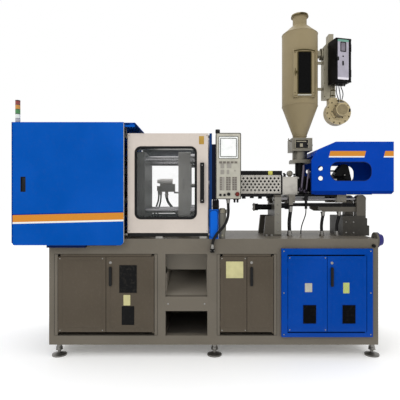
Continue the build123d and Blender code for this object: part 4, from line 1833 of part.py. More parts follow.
def sight_glass():
    """The clear pane in the hopper door."""
    sight_x = (HOPPER_X - SIGHT_WIDTH / 2, HOPPER_X + SIGHT_WIDTH / 2)
    middle = sum(DOOR_Z_RANGE) / 2
    y = (-HOPPER_DOOR_FRONT + 2, -HOPPER_DOOR_FRONT + 6)
    return block(sight_x, y, (middle - SIGHT_HEIGHT / 2, middle + SIGHT_HEIGHT / 2))


def magnet_box():
    """Throat plate, neck and the box with the magnet drawer, bored through for the granulate."""
    half = THROAT_PLATE_SIZE / 2
    box_half = MAGNET_BOX_SIZE / 2
    box_x = (HOPPER_X - box_half, HOPPER_X + box_half)
    stack = block((HOPPER_X - half, HOPPER_X + half), (-half, half), (THROAT_PLATE_BOTTOM, THROAT_PLATE_TOP))
    stack += bar_z(HOPPER_X, 0, (THROAT_PLATE_TOP, MAGNET_BOX_BOTTOM), THROAT_NECK_RADIUS)
    stack += block(box_x, (-box_half, box_half), (MAGNET_BOX_BOTTOM, MAGNET_BOX_TOP))
    stack -= bar_z(HOPPER_X, 0, (THROAT_PLATE_BOTTOM, MAGNET_BOX_TOP), THROAT_RADIUS)
    drawer_z = (MAGNET_BOX_BOTTOM + 30, MAGNET_BOX_TOP - 30)
    stack += block(grown(box_x, -24), (-box_half - 6, -box_half + 1), drawer_z)
    stack += bar_y(HOPPER_X + 60, (-box_half - 26, -box_half - 5), sum(drawer_z) / 2, 11)
    return stack


def yawed(shape):
    """A shape drawn round the origin, turned and moved to the place of the dryer's control box."""
    return Pos(DRYER_BOX_X, DRYER_BOX_Y, 0) * Rot(0, 0, DRYER_BOX_YAW) * shape


BOX_HALF_X = DRYER_BOX_WIDTH / 2
BOX_HALF_Y = DRYER_BOX_DEPTH / 2
BOX_Z = (DRYER_BOX_BOTTOM, DRYER_BOX_TOP)
BOX_HINGE = (BOX_HALF_X + HINGE_RADIUS + 1, -BOX_HALF_Y + DRYER_DOOR_THICKNESS / 2)


def dryer_box():
    """The shell of the dryer's control box, open at the front, with its hinge lugs and pin."""
    front = -BOX_HALF_Y + DRYER_DOOR_THICKNESS
    wall = DRYER_BOX_WALL
    shell = block((-BOX_HALF_X, BOX_HALF_X), (front, BOX_HALF_Y), BOX_Z)
    inside_x = (wall - BOX_HALF_X, BOX_HALF_X - wall)
    shell -= block(inside_x, (front, BOX_HALF_Y - wall), grown(BOX_Z, -wall))
    for low in (BOX_Z[0] + 2, BOX_Z[1] - 14):
        lug_y = (BOX_HINGE[1] - 4, front + 12)
        lug_x = (BOX_HALF_X - 1, BOX_HINGE[0])
        shell += block(lug_x, (front, lug_y[1]), (low, low + 12))
        shell += block((BOX_HALF_X + 2, BOX_HINGE[0]), lug_y, (low, low + 12))
        shell += bar_z(BOX_HINGE[0], BOX_HINGE[1], (low, low + 12), HINGE_RADIUS)
    shell += bar_z(BOX_HINGE[0], BOX_HINGE[1], (BOX_Z[0] + 3, BOX_Z[1] - 3), HINGE_PIN_RADIUS)
    return yawed(shell)


def dryer_box_door():
    """The door of the control box, with its raised panel and two knuckles."""
    back = -BOX_HALF_Y + DRYER_DOOR_THICKNESS - SEAT_GAP
    door = block((-BOX_HALF_X, BOX_HALF_X), (-BOX_HALF_Y, back), BOX_Z)
    panel_x = grown((-BOX_HALF_X, BOX_HALF_X), -DRYER_PANEL_MARGIN)
    door += block(panel_x, (-BOX_HALF_Y - 3, -BOX_HALF_Y), grown(BOX_Z, -DRYER_PANEL_MARGIN))
    for low in (BOX_Z[0] + 60, BOX_Z[1] - 60 - HINGE_LENGTH):
        knuckle_z = (low, low + HINGE_LENGTH)
        door += block((BOX_HALF_X - 1, BOX_HINGE[0]), (-BOX_HALF_Y + 4, back - 2), knuckle_z)
        door += bar_z(BOX_HINGE[0], BOX_HINGE[1], knuckle_z, HINGE_RADIUS)
        door -= bar_z(BOX_HINGE[0], BOX_HINGE[1], knuckle_z, HINGE_PIN_RADIUS + RUNNING_FIT)
    return yawed(door)


def dryer_ducts():
    """Hot air duct, heater casing and round riser, with the brackets to the hopper and the box."""
    casing_x = (CASING_LEFT, CASING_LEFT + CASING_WIDTH)
    casing = [
        (casing_x[0], CASING_BOTTOM),
        (casing_x[1], CASING_BOTTOM),
        (casing_x[1] + 40, HOT_AIR_Z),
        (casing_x[1] + 40, CASING_TOP),
        (casing_x[1] - 14, CASING_TOP),
        (casing_x[1] - 14, CASING_TOP - 80),
        (casing_x[0], HOT_AIR_Z + HOT_AIR_RADIUS + 6),
    ]
    casing_y = (DRYER_COLUMN_Y - CASING_DEPTH / 2, DRYER_COLUMN_Y + CASING_DEPTH / 2)
    ducts = side_profile(casing, casing_y)
    pipe_x = (HOPPER_X + HOPPER_RADIUS - 40, CASING_LEFT + 1)
    ducts += bar_x(pipe_x, DRYER_COLUMN_Y, HOT_AIR_Z, CASING_DEPTH / 2 - 6)
    ducts += bar_x((CASING_LEFT - 22, CASING_LEFT - 10), DRYER_COLUMN_Y, HOT_AIR_Z, HOT_AIR_RADIUS)
    riser = (BLOWER_Z, HOT_AIR_Z)
    ducts += bar_z(DRYER_COLUMN_X, DRYER_COLUMN_Y, riser, DRYER_COLUMN_RADIUS)
    for z in (DRYER_BOX_BOTTOM + 20, DRYER_BOX_TOP - 160):
        ducts += block((DRYER_BOX_X - 60, DRYER_BOX_X), (-60, DRYER_COLUMN_Y), (z, z + 26))
        arm_y = grown((DRYER_COLUMN_Y, DRYER_COLUMN_Y), DRYER_ARM_HALF)
        ducts += block((HOPPER_X, CASING_LEFT + 1), arm_y, (z - 60, z - 36))
    ducts -= bar_z(HOPPER_X, 0, (HOPPER_CYLINDER_BOTTOM, HOPPER_CYLINDER_TOP), HOPPER_RADIUS)
    ducts -= yawed(block((-BOX_HALF_X, BOX_HALF_X), (-BOX_HALF_Y, BOX_HALF_Y), BOX_Z))
    return ducts - blower_scroll()


def blower_scroll():
    """The solid outline of the blower housing."""
    y = (DRYER_COLUMN_Y - BLOWER_HALF_DEPTH, DRYER_COLUMN_Y + BLOWER_HALF_DEPTH)
    scroll = bar_y(BLOWER_X, y, BLOWER_Z, BLOWER_RADIUS)
    outlet_x = (DRYER_COLUMN_X - DRYER_COLUMN_RADIUS - 6, DRYER_COLUMN_X + DRYER_COLUMN_RADIUS + 6)
    return scroll + block(outlet_x, grown(y, -4), (BLOWER_Z, BLOWER_Z + BLOWER_RADIUS + 20))


def blower():
    """Blower housing, its motor on the front with a terminal box, and the clamp knob beside it."""
    front = DRYER_COLUMN_Y - BLOWER_HALF_DEPTH
    housing = blower_scroll()
    housing += bar_y(BLOWER_X, (front - 12, front + 1), BLOWER_Z, BLOWER_MOTOR_RADIUS + 22)
    housing += bar_y(BLOWER_X, (front - BLOWER_MOTOR_LENGTH, front), BLOWER_Z, BLOWER_MOTOR_RADIUS)
    terminal_x = (BLOWER_X - 30, BLOWER_X + 30)
    housing += block(terminal_x, (front - 100, front - 30), (BLOWER_Z + 40, TERMINAL_TOP))
    knob_x = BLOWER_X + BLOWER_MOTOR_RADIUS
    return housing + bar_x((knob_x - 4, knob_x + 44), front - 60, BLOWER_Z + 6, 16)


TERMINAL_TOP = BLOWER_Z + BLOWER_MOTOR_RADIUS + 22
TERMINAL_Y = DRYER_COLUMN_Y - BLOWER_HALF_DEPTH - 65


# Hoses, conduit and cables


def hanging_points(start, end, sway):
    """Points of a hose that leaves both ends upright: its middle sways sideways along X."""
    step = (start[2] - end[2]) / 6
    points = []
    for index, (share, bow) in enumerate(((0, 0), (0, 0), (0.2, 0.7), (0.5, 1), (0.8, 0.7), (1, 0), (1, 0))):
        x = start[0] + (end[0] - start[0]) * share + sway * bow
        y = start[1] + (end[1] - start[1]) * share
        points.append((x, y, start[2] - step * index))
    return points


def hydraulic_hoses():
    """Core-pull hoses behind the clamp and the two hoses under the injection rods, down to the deck."""
    arm_bottom = ROD_Z - ARM_DROP - ARM_HEIGHT
    hoses = []
    for (x, z), (foot_x, sway, radius) in zip(HOSE_OUTLETS, CORE_HOSES):
        points = hanging_points((x, HOSE_Y, z), (foot_x, HOSE_Y, DECK_TOP), sway)
        hoses.append(route(points, radius, "core-pull hose"))
    for x, foot_x, sway in DRIVE_HOSES:
        points = hanging_points((x, -ROD_Y, arm_bottom), (foot_x, -ROD_Y, DECK_TOP), sway)
        hoses.append(route(points, DRIVE_HOSE_RADIUS, "drive hose"))
    return group(*hoses)


def carriage_hoses():
    """The supply hose and the sensor cable from the carriage to the deck."""
    foot = (CARRIAGE_HOSE[0] - 10, CARRIAGE_HOSE[1], DECK_TOP)
    supply = route(hanging_points(CARRIAGE_HOSE, foot, -8), CARRIAGE_HOSE_RADIUS, "carriage hose")
    cable_foot = (CARRIAGE_CABLE[0] - 56, CARRIAGE_CABLE[1], DECK_TOP)
    cable = route(hanging_points(CARRIAGE_CABLE, cable_foot, -6), CARRIAGE_CABLE_RADIUS, "carriage cable")
    return group(supply, cable)


def panel_conduit():
    """The conduit from the control panel to its gland on the front beam."""
    offsets = [
        (0, 0, 0),
        (0, 0, -60),
        (2, -22, -120),
        (-6, -48, -182),
        (-28, -66, -240),
        (-64, -71, -290),
        (-108, -69, -332),
        (-142, -65, -382),
        (CONDUIT_END[0], CONDUIT_END[1], CONDUIT_END[2] + CONDUIT_LIFT),
        CONDUIT_END,
    ]
    points = [tuple(base + step for base, step in zip(CONDUIT_START, offset)) for offset in offsets]
    return route(points, CONDUIT_RADIUS, "panel conduit")


def dryer_cables():
    """Three cables from the control box to the blower."""
    cables = []
    for x, sway in DRYER_CABLES:
        start = (x, TERMINAL_Y, DRYER_BOX_BOTTOM)
        end = (BLOWER_X + (x - DRYER_BOX_X) * 0.8, TERMINAL_Y, TERMINAL_TOP)
        cables.append(route(hanging_points(start, end, sway), DRYER_CABLE_RADIUS, "dryer cable"))
    return group(*cables)


PARTS = {
    "base_frame": base_frame(),
    "levelling_feet": levelling_feet(),
    "closing_panels": closing_panels(),
    "fixed_leaves": fixed_leaves(),
    "blue_cabinet_front": blue_cabinet_front(),
    "product_chute": product_chute(),
    "hydraulic_unit": hydraulic_unit(),
    "electrical_rack": electrical_rack(),
    "left_cabinet_door": left_cabinet_door(),
    "middle_cabinet_door": active_leaf(MIDDLE_LEAVES, DOOR_Z, GREY_FRONT),
    "blue_cabinet_door": blue_cabinet_door(),
    "left_door_handle": lever(lever_x(LEFT_LEAVES), LEVER_Z, GREY_FRONT),
    "middle_door_handle": lever(lever_x(MIDDLE_LEAVES), LEVER_Z, GREY_FRONT),
    "blue_door_handle": lever(lever_x(BLUE_LEAVES), LEVER_Z, BLUE_FRONT),
    "end_platen": end_platen(),
    "clamp_cylinder": clamp_cylinder(),
    "clamp_ram": clamp_ram(),
    "moving_platen": moving_platen(),
    "ejector_bar": ejector_bar(),
    "fixed_platen": fixed_platen(),
    "tie_bars": tie_bars(),
    "clamp_cover": clamp_cover(),
    "clamp_guard": clamp_guard(),
    "gate_rails": gate_rails(),
    "front_gate": gate(-1),
    "gate_window": window_pane(-1),
    "gate_handle": gate_handle(),
    "rear_gate": gate(1),
    "rear_window": window_pane(1),
    "gate_portal": gate_portal(),
    "panel_housing": panel_housing(),
    "panel_screen": panel_screen(),
    "panel_keys": panel_keys(),
    "stop_button": stop_button(),
    "mode_selector": mode_selector(),
    "panel_conduit": panel_conduit(),
    "stack_light": stack_light(),
    "interlock_box": interlock_box(),
    "core_pull_valve": core_pull_valve(),
    "hydraulic_hoses": hydraulic_hoses(),
    "injection_supports": injection_supports(),
    "guide_rods": guide_rods(),
    "traverse_cylinder": traverse_cylinder(),
    "carriage_frame": group(carriage_frame(), feed_block()),
    "carriage_hoses": carriage_hoses(),
    "barrel": barrel(),
    "screw": screw(),
    "barrel_guard": group(barrel_guard(), throat_cover()),
    "motor_cover": motor_cover(),
    "injection_plate": injection_plate(),
    "hydraulic_motor": hydraulic_motor(),
    "hopper_shell": hopper_shell(),
    "hopper_door": hopper_door(),
    "sight_glass": sight_glass(),
    "magnet_box": magnet_box(),
    "dryer_ducts": dryer_ducts(),
    "blower": blower(),
    "dryer_box": dryer_box(),
    "dryer_box_door": dryer_box_door(),
    "dryer_cables": dryer_cables(),
}

os.makedirs("parts", exist_ok=True)
for node, shape in PARTS.items():
    export_step(shape, f"parts/{node}.step")
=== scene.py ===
"""Looks of the injection moulding machine: finishes, hoses, fasteners, seals, marks, camera and light.

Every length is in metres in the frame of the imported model: X runs from the clamp end to the injection end,
Y from the operator's side to the back, and Z up from the floor.
"""

import itertools
import json
import logging
import math
from dataclasses import dataclass
from enum import Enum

import bmesh
import bpy
import numpy as np
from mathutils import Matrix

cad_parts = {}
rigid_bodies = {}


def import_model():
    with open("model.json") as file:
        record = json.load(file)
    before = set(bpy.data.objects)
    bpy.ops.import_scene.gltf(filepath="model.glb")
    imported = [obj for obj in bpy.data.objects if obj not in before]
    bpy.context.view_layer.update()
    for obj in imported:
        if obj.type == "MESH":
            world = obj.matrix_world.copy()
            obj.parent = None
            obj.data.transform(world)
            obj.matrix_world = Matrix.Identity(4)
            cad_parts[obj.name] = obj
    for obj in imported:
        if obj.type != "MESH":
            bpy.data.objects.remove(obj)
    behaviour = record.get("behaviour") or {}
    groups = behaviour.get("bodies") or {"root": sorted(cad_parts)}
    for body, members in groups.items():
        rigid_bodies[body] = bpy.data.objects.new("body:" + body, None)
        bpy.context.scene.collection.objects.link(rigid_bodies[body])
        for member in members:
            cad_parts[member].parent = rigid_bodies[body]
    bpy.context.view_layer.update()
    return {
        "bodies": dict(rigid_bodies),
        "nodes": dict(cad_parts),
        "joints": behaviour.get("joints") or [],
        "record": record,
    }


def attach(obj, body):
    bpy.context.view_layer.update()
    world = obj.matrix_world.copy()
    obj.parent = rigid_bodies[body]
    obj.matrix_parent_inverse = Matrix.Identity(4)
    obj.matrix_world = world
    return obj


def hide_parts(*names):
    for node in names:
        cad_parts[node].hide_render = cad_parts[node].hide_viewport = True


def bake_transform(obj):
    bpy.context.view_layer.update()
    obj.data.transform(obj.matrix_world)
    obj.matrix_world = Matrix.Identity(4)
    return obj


LOG = logging.getLogger("moulding_machine")

Colour = tuple[float, float, float, float]
Point = tuple[float, float, float]
Pair = tuple[float, float]
Places = Point | list[Point] | np.ndarray
Levels = float | tuple[float, ...] | np.ndarray


class Body(Enum):
    """The bodies that a piece rides on."""

    BASE = "machine_base"
    GUARD = "clamp_slide_guard"
    FRONT_GATE = "front_gate_unit"
    REAR_GATE = "rear_gate_unit"
    LEFT_DOOR = "left_door"
    MIDDLE_DOOR = "middle_door"
    BLUE_DOOR = "blue_door"
    CARRIAGE = "carriage"
    DRIVE = "injection_drive"
    HOPPER_HATCH = "hopper_hatch"
    BOX_DOOR = "control_box_door"


class Axis(Enum):
    """A direction of the frame, with its place in a point."""

    X = 0
    Y = 1
    Z = 2

    def unit(self) -> np.ndarray:
        """The unit vector along this direction."""
        return np.eye(3)[self.value]

    def others(self) -> tuple[int, int]:
        """The places of the two directions square to this one, right-handed with it."""
        return (self.value + 1) % 3, (self.value + 2) % 3


def rgb(red: int, green: int, blue: int) -> Colour:
    """Turn an eight-bit screen colour into the linear colour that shaders take.

    Args:
        red: Red from 0 to 255.
        green: Green from 0 to 255.
        blue: Blue from 0 to 255.

    Returns:
        The linear colour with full alpha.
    """
    levels = np.array([red, green, blue]) / 255
    linear = np.where(levels <= 0.04045, levels / 12.92, ((levels + 0.055) / 1.055) ** 2.4)
    return (*linear.tolist(), 1.0)


def toned(colour: Colour, factor: float, lift: float = 0.0) -> Colour:
    """A colour with its three levels scaled and lifted, up to full."""
    return tuple(min(1.0, level * factor + lift) for level in colour[:3]) + (1.0,)


ORANGE = rgb(196, 128, 48)
WHITE = rgb(222, 220, 214)
DEEP_BLUE = rgb(1, 40, 120)
BLACK = rgb(12, 12, 13)

# Ranges of X and of height of the louvred vents
LEFT_VENT = ((-0.9215, -0.7465), (0.644, 0.920))
BLUE_VENTS = (((0.905, 1.035), (0.346, 0.530)), ((1.2945, 1.4245), (0.346, 0.530)))


# Shader maths


class Link:
    """A socket of a shader, with arithmetic that adds Math nodes."""

    def __init__(self, graph: "Graph", socket: bpy.types.NodeSocket) -> None:
        """Keep the graph and the socket that this value comes from."""
        self.graph = graph
        self.socket = socket

    def __add__(self, other: object) -> "Link":
        """This value plus another."""
        return self.graph.math("ADD", self, other)

    def __sub__(self, other: object) -> "Link":
        """This value minus another."""
        return self.graph.math("SUBTRACT", self, other)

    def __rsub__(self, other: object) -> "Link":
        """Another value minus this one."""
        return self.graph.math("SUBTRACT", other, self)

    def __mul__(self, other: object) -> "Link":
        """This value times another."""
        return self.graph.math("MULTIPLY", self, other)

    def __truediv__(self, other: object) -> "Link":
        """This value over another."""
        return self.graph.math("DIVIDE", self, other)

    def __gt__(self, other: object) -> "Link":
        """One where this value is the larger, zero elsewhere."""
        return self.graph.math("GREATER_THAN", self, other)

    def __lt__(self, other: object) -> "Link":
        """One where this value is the smaller, zero elsewhere."""
        return self.graph.math("LESS_THAN", self, other)

    # A sum is the same with its sides swapped
    __radd__ = __add__

    def within(self, span: Pair) -> "Link":
        """One where this value lies inside a range, zero elsewhere."""
        return (self > span[0]) * (self < span[1])

    def clamped(self) -> "Link":
        """This value held between zero and one."""
        return self.graph.math("MINIMUM", self.graph.math("MAXIMUM", self, 0.0), 1.0)


class Graph:
    """The node tree of one material, started empty with a Principled shader."""

    def __init__(self, name: str) -> None:
        """Make the material and its output.

        Args:
            name: Name of the material.
        """
        self.material = bpy.data.materials.new(name)
        self.material.use_nodes = True
        self.tree = self.material.node_tree
        self.tree.nodes.clear()
        self.shader = self.node("ShaderNodeBsdfPrincipled")
        output = self.node("ShaderNodeOutputMaterial")
        self.tree.links.new(self.shader.outputs[0], output.inputs["Surface"])
        self.object_space = self.node("ShaderNodeTexCoord").outputs["Object"]

    def node(self, kind: str, settings: dict | None = None, inputs: dict | None = None) -> bpy.types.Node:
        """Add a node, set its settings, then its inputs.

        Args:
            kind: The node's type name.
            settings: Properties of the node, such as its operation.
            inputs: Values, sockets or links for its input sockets.

        Returns:
            The new node.
        """
        node = self.tree.nodes.new(kind)
        for key, value in (settings or {}).items():
            setattr(node, key, value)
        for key, value in (inputs or {}).items():
            self.feed(node.inputs[key], value)
        return node

    def feed(self, socket: bpy.types.NodeSocket, value: object) -> None:
        """Set a socket to a number or colour, or link a value into it.

        Args:
            socket: The input socket.
            value: A number, a colour, another socket or a link.
        """
        source = value.socket if isinstance(value, Link) else value
        if isinstance(source, bpy.types.NodeSocket):
            self.tree.links.new(source, socket)
        else:
            socket.default_value = source

    def math(self, operation: str, first: object, second: object = 0.0) -> Link:
        """Add one Math node and return its value."""
        node = self.node("ShaderNodeMath", {"operation": operation}, {0: first, 1: second})
        return Link(self, node.outputs[0])

    def noise(self, scale: float, detail: float = 3.0, stretch: Point = (1.0, 1.0, 1.0)) -> Link:
        """Noise on Object coordinates, from zero to one.

        Args:
            scale: Waves per metre.
            detail: Octaves of finer noise.
            stretch: Factors on the coordinates along each direction.

        Returns:
            The noise value.
        """
        mapped = self.node("ShaderNodeMapping", {}, {"Vector": self.object_space, "Scale": stretch})
        inputs = {"Vector": mapped.outputs[0], "Scale": scale, "Detail": detail}
        return Link(self, self.node("ShaderNodeTexNoise", {}, inputs).outputs["Fac"])

    def patches(self, scale: float, detail: float, cut: float, gain: float) -> Link:
        """Blotches: noise above a cut, raised by a gain and held between zero and one."""
        return ((self.noise(scale, detail) - cut) * gain).clamped()

    def place(self) -> tuple[Link, ...]:
        """The X, Y and Z of the shaded point in the frame."""
        split = self.node("ShaderNodeSeparateXYZ", {}, {0: self.object_space})
        return tuple(Link(self, output) for output in split.outputs)

    def mix(self, share: object, first: object, second: object) -> Link:
        """Blend two colours by a share from zero to one."""
        node = self.node("ShaderNodeMix", {"data_type": "RGBA"}, {0: share, 6: first, 7: second})
        return Link(self, node.outputs[2])

    def bump(self, height: Link, strength: float, distance: float) -> None:
        """Feed a height into the shader's normal."""
        inputs = {"Height": height, "Strength": strength, "Distance": distance}
        self.feed(self.shader.inputs["Normal"], self.node("ShaderNodeBump", {}, inputs).outputs[0])

    def surface(self, **values: object) -> None:
        """Set inputs of the shader, with underscores for the spaces of their names."""
        for key, value in values.items():
            self.feed(self.shader.inputs[key.replace("_", " ")], value)


@dataclass(frozen=True)
class Field:
    """A flat field of colour on a surface: a range of X and Z, with edges that may climb along X."""

    colour: Colour
    x: Pair
    z: Pair
    y: Pair = (-9.0, 9.0)
    climb: float = 0.0
    skew: float = 0.0

    def over(self, graph: Graph, colour: Link) -> Link:
        """Lay the field over a colour.

        Args:
            graph: The tree that the nodes go into.
            colour: What shows outside the field.

        Returns:
            The colour with the field on it.
        """
        x, y, z = graph.place()
        level = z - (x - self.x[0]) * self.climb
        shifted = x - (z - self.z[0]) * self.skew
        inside = level.within(self.z) * shifted.within(self.x) * y.within(self.y)
        return graph.mix(inside, colour, self.colour)


@dataclass(frozen=True)
class Finish:
    """A named material with one main colour."""

    name: str
    colour: Colour

    def build(self) -> bpy.types.Material:
        """Make the material.

        Returns:
            The material, with its tree filled.
        """
        graph = Graph(self.name)
        self.shade(graph)
        return graph.material

    def shade(self, graph: Graph) -> None:
        """Fill the tree, in the way of each kind of finish."""
        raise NotImplementedError


@dataclass(frozen=True)
class Paint(Finish):
    """Sprayed paint on metal: fine orange peel, faint unevenness, dust low down and rubbed places."""

    roughness: float = 0.38
    gloss: float = 0.10
    dust: float = 0.12
    dust_top: float = 0.35
    wear: float = 0.04
    fields: tuple[Field, ...] = ()

    def shade(self, graph: Graph) -> None:
        """Work out the paint's colour, dust by height, rubbed marks, roughness and orange peel.

        Args:
            graph: The tree to fill.
        """
        _, _, height = graph.place()
        mottled = graph.noise(38.0, 5.0)
        uneven = graph.patches(1.7, 4.0, 0.3, 1.8)
        colour = graph.mix(uneven, toned(self.colour, 0.86), toned(self.colour, 1.08, 0.004))
        for field in self.fields:
            colour = field.over(graph, colour)
        low = ((self.dust_top - height) / self.dust_top).clamped()
        grime = (low * self.dust * 2 + ((mottled - 0.52) * 4).clamped() * self.dust).clamped()
        colour = graph.mix(grime, colour, rgb(118, 112, 100))
        colour = graph.mix(graph.patches(9.0, 8.0, 0.68, 9.0) * self.wear, colour, rgb(196, 194, 188))
        rough = ((mottled - 0.5) * 0.16 + grime * 0.4 + self.roughness).clamped()
        graph.surface(Base_Color=colour, Roughness=rough, Specular_IOR_Level=self.gloss)
        graph.bump(graph.noise(420.0, 2.0) + mottled * 0.6, 0.10, 0.0006)


class Lay(Enum):
    """How the tool marks of a metal run."""

    ALONG_X = (1.0, 14.0, 14.0)
    NONE = (1.0, 1.0, 1.0)


@dataclass(frozen=True)
class Metal(Finish):
    """Bare or plated metal with tool marks, oil film and tarnish."""

    roughness: float = 0.3
    marks: float = 0.5
    lay: Lay = Lay.NONE
    tarnish: float = 0.3

    def shade(self, graph: Graph) -> None:
        """Work out tarnish in patches, and marks stretched along the lay.

        Args:
            graph: The tree to fill.
        """
        patches = graph.patches(11.0, 6.0, 0.42, 3.2)
        streaks = graph.noise(70.0, 4.0, self.lay.value)
        colour = graph.mix(patches * self.tarnish, self.colour, toned(self.colour, 0.5))
        rough = (self.roughness + patches * 0.14 + (streaks - 0.5) * self.marks * 0.5).clamped()
        graph.surface(Base_Color=colour, Metallic=1.0, Roughness=rough)
        graph.bump(streaks, 0.18 * self.marks, 0.0008)


@dataclass(frozen=True)
class Plastic(Finish):
    """Moulded plastic or rubber: fine grain, faint flow marks and handling gloss."""

    roughness: float = 0.45
    grain: float = 0.3
    grain_scale: float = 900.0
    fields: tuple[Field, ...] = ()

    def shade(self, graph: Graph) -> None:
        """Work out flow marks in the colour, and grain in the bump.

        Args:
            graph: The tree to fill.
        """
        colour = graph.mix(graph.patches(14.0, 4.0, 0.35, 2.4), toned(self.colour, 0.82), self.colour)
        for field in self.fields:
            colour = field.over(graph, colour)
        worn = (graph.noise(45.0, 6.0) - 0.5) * 0.2
        graph.surface(Base_Color=colour, Roughness=(worn + self.roughness).clamped(), Specular_IOR_Level=0.2)
        graph.bump(graph.noise(self.grain_scale, 2.0), self.grain * 0.3, 0.0004)


@dataclass(frozen=True)
class Pane(Finish):
    """Thin sheet with a tint and wiping marks."""

    alpha: float
    mirror: float
    wiping: Point = (1.0, 1.0, 2.6)

    def shade(self, graph: Graph) -> None:
        """Work out smears that show as haze on a see-through sheet.

        Args:
            graph: The tree to fill.
        """
        smear = ((graph.noise(5.0, 6.0, self.wiping) - 0.5) * 1.6).clamped()
        rough, alpha = (smear * 0.16 + 0.04).clamped(), (smear * 0.05 + self.alpha).clamped()
        graph.surface(Base_Color=self.colour, Roughness=rough, Alpha=alpha, Specular_IOR_Level=self.mirror)


@dataclass(frozen=True)
class Lamp(Finish):
    """Stacked lamp lenses: a steady colour for each tier, ribbed, with a dark joint between tiers."""

    foot: float
    tier: float
    upper: tuple[Colour, ...]
    joint: float = 0.0035

    def shade(self, graph: Graph) -> None:
        """Work out the tier's colour by height, and ribs in the bump.

        Args:
            graph: The tree to fill.
        """
        _, _, height = graph.place()
        colour: object = self.colour
        for index, tier_colour in enumerate(self.upper, start=1):
            colour = graph.mix(height > (self.foot + self.tier * index), colour, tier_colour)
        from_joint = graph.math("PINGPONG", height - self.foot, self.tier / 2)
        colour = graph.mix(from_joint < self.joint, colour, rgb(40, 40, 42))
        colour = graph.mix(height < self.foot, colour, rgb(158, 156, 166))
        rings = {"Vector": graph.object_space, "Scale": 60.0}
        waves = graph.node("ShaderNodeTexWave", {"bands_direction": "Z"}, rings)
        graph.surface(Base_Color=colour, Roughness=0.28, Coat_Weight=0.4)
        graph.bump(Link(graph, waves.outputs["Fac"]), 0.25, 0.0015)


@dataclass(frozen=True)
class Perforated(Finish):
    """Zinc-plated sheet with a shaded countersink round each hole, and a black duct and end ring."""

    first: Pair = (0.7512, 1.6775)
    pitch: float = 0.043
    row: float = 0.033
    hole: float = 0.0118
    x: Pair = (0.075, 0.770)
    z: Pair = (1.660, 1.828)
    wall: float = 0.1285
    ring: Pair = (0.7772, 0.7972)
    ring_front: float = -0.14
    duct_bottom: float = 1.8452
    duct_end: float = 0.7975

    def shade(self, graph: Graph) -> None:
        """Paint dark what is near a hole of two offset lattices, the ring and the duct.

        Args:
            graph: The tree to fill.
        """
        x, y, z = graph.place()
        near = self._distance(graph, x - self.first[0], z - self.first[1])
        far = self._distance(graph, x - self.first[0] + self.pitch / 2, z - self.first[1] - self.row)
        walls = ((y < -self.wall) + (y > self.wall)).clamped()
        holes = ((near < self.hole) + (far < self.hole)).clamped()
        hole = holes * x.within(self.x) * z.within(self.z) * walls
        ring = x.within(self.ring) * (y > self.ring_front)
        duct = (z > self.duct_bottom) * (x < self.duct_end)
        black = (hole + ring + duct).clamped()
        patches = graph.patches(13.0, 6.0, 0.4, 2.6)
        sheet = graph.mix(patches * 0.5, self.colour, toned(self.colour, 0.62))
        rough = (patches * 0.15 + 0.40 + black * 0.2).clamped()
        colour, metal = graph.mix(black, sheet, BLACK), (1.0 - black) * 0.55
        graph.surface(Base_Color=colour, Metallic=metal, Roughness=rough, Specular_IOR_Level=0.2)
        graph.bump(1.0 - hole, 0.6, 0.002)

    def _distance(self, graph: Graph, x: Link, z: Link) -> Link:
        """Distance to the nearest point of a lattice with every second row of holes.

        Args:
            graph: The tree that the nodes go into.
            x: Place along the machine, from the first hole.
            z: Height from the first hole.

        Returns:
            The distance in metres, from what is left of each coordinate over its pitch.
        """
        across = graph.math("FLOORED_MODULO", x + self.pitch / 2, self.pitch) - self.pitch / 2
        up = graph.math("FLOORED_MODULO", z + self.row, self.row * 2) - self.row
        return graph.math("SQRT", across * across + up * up)


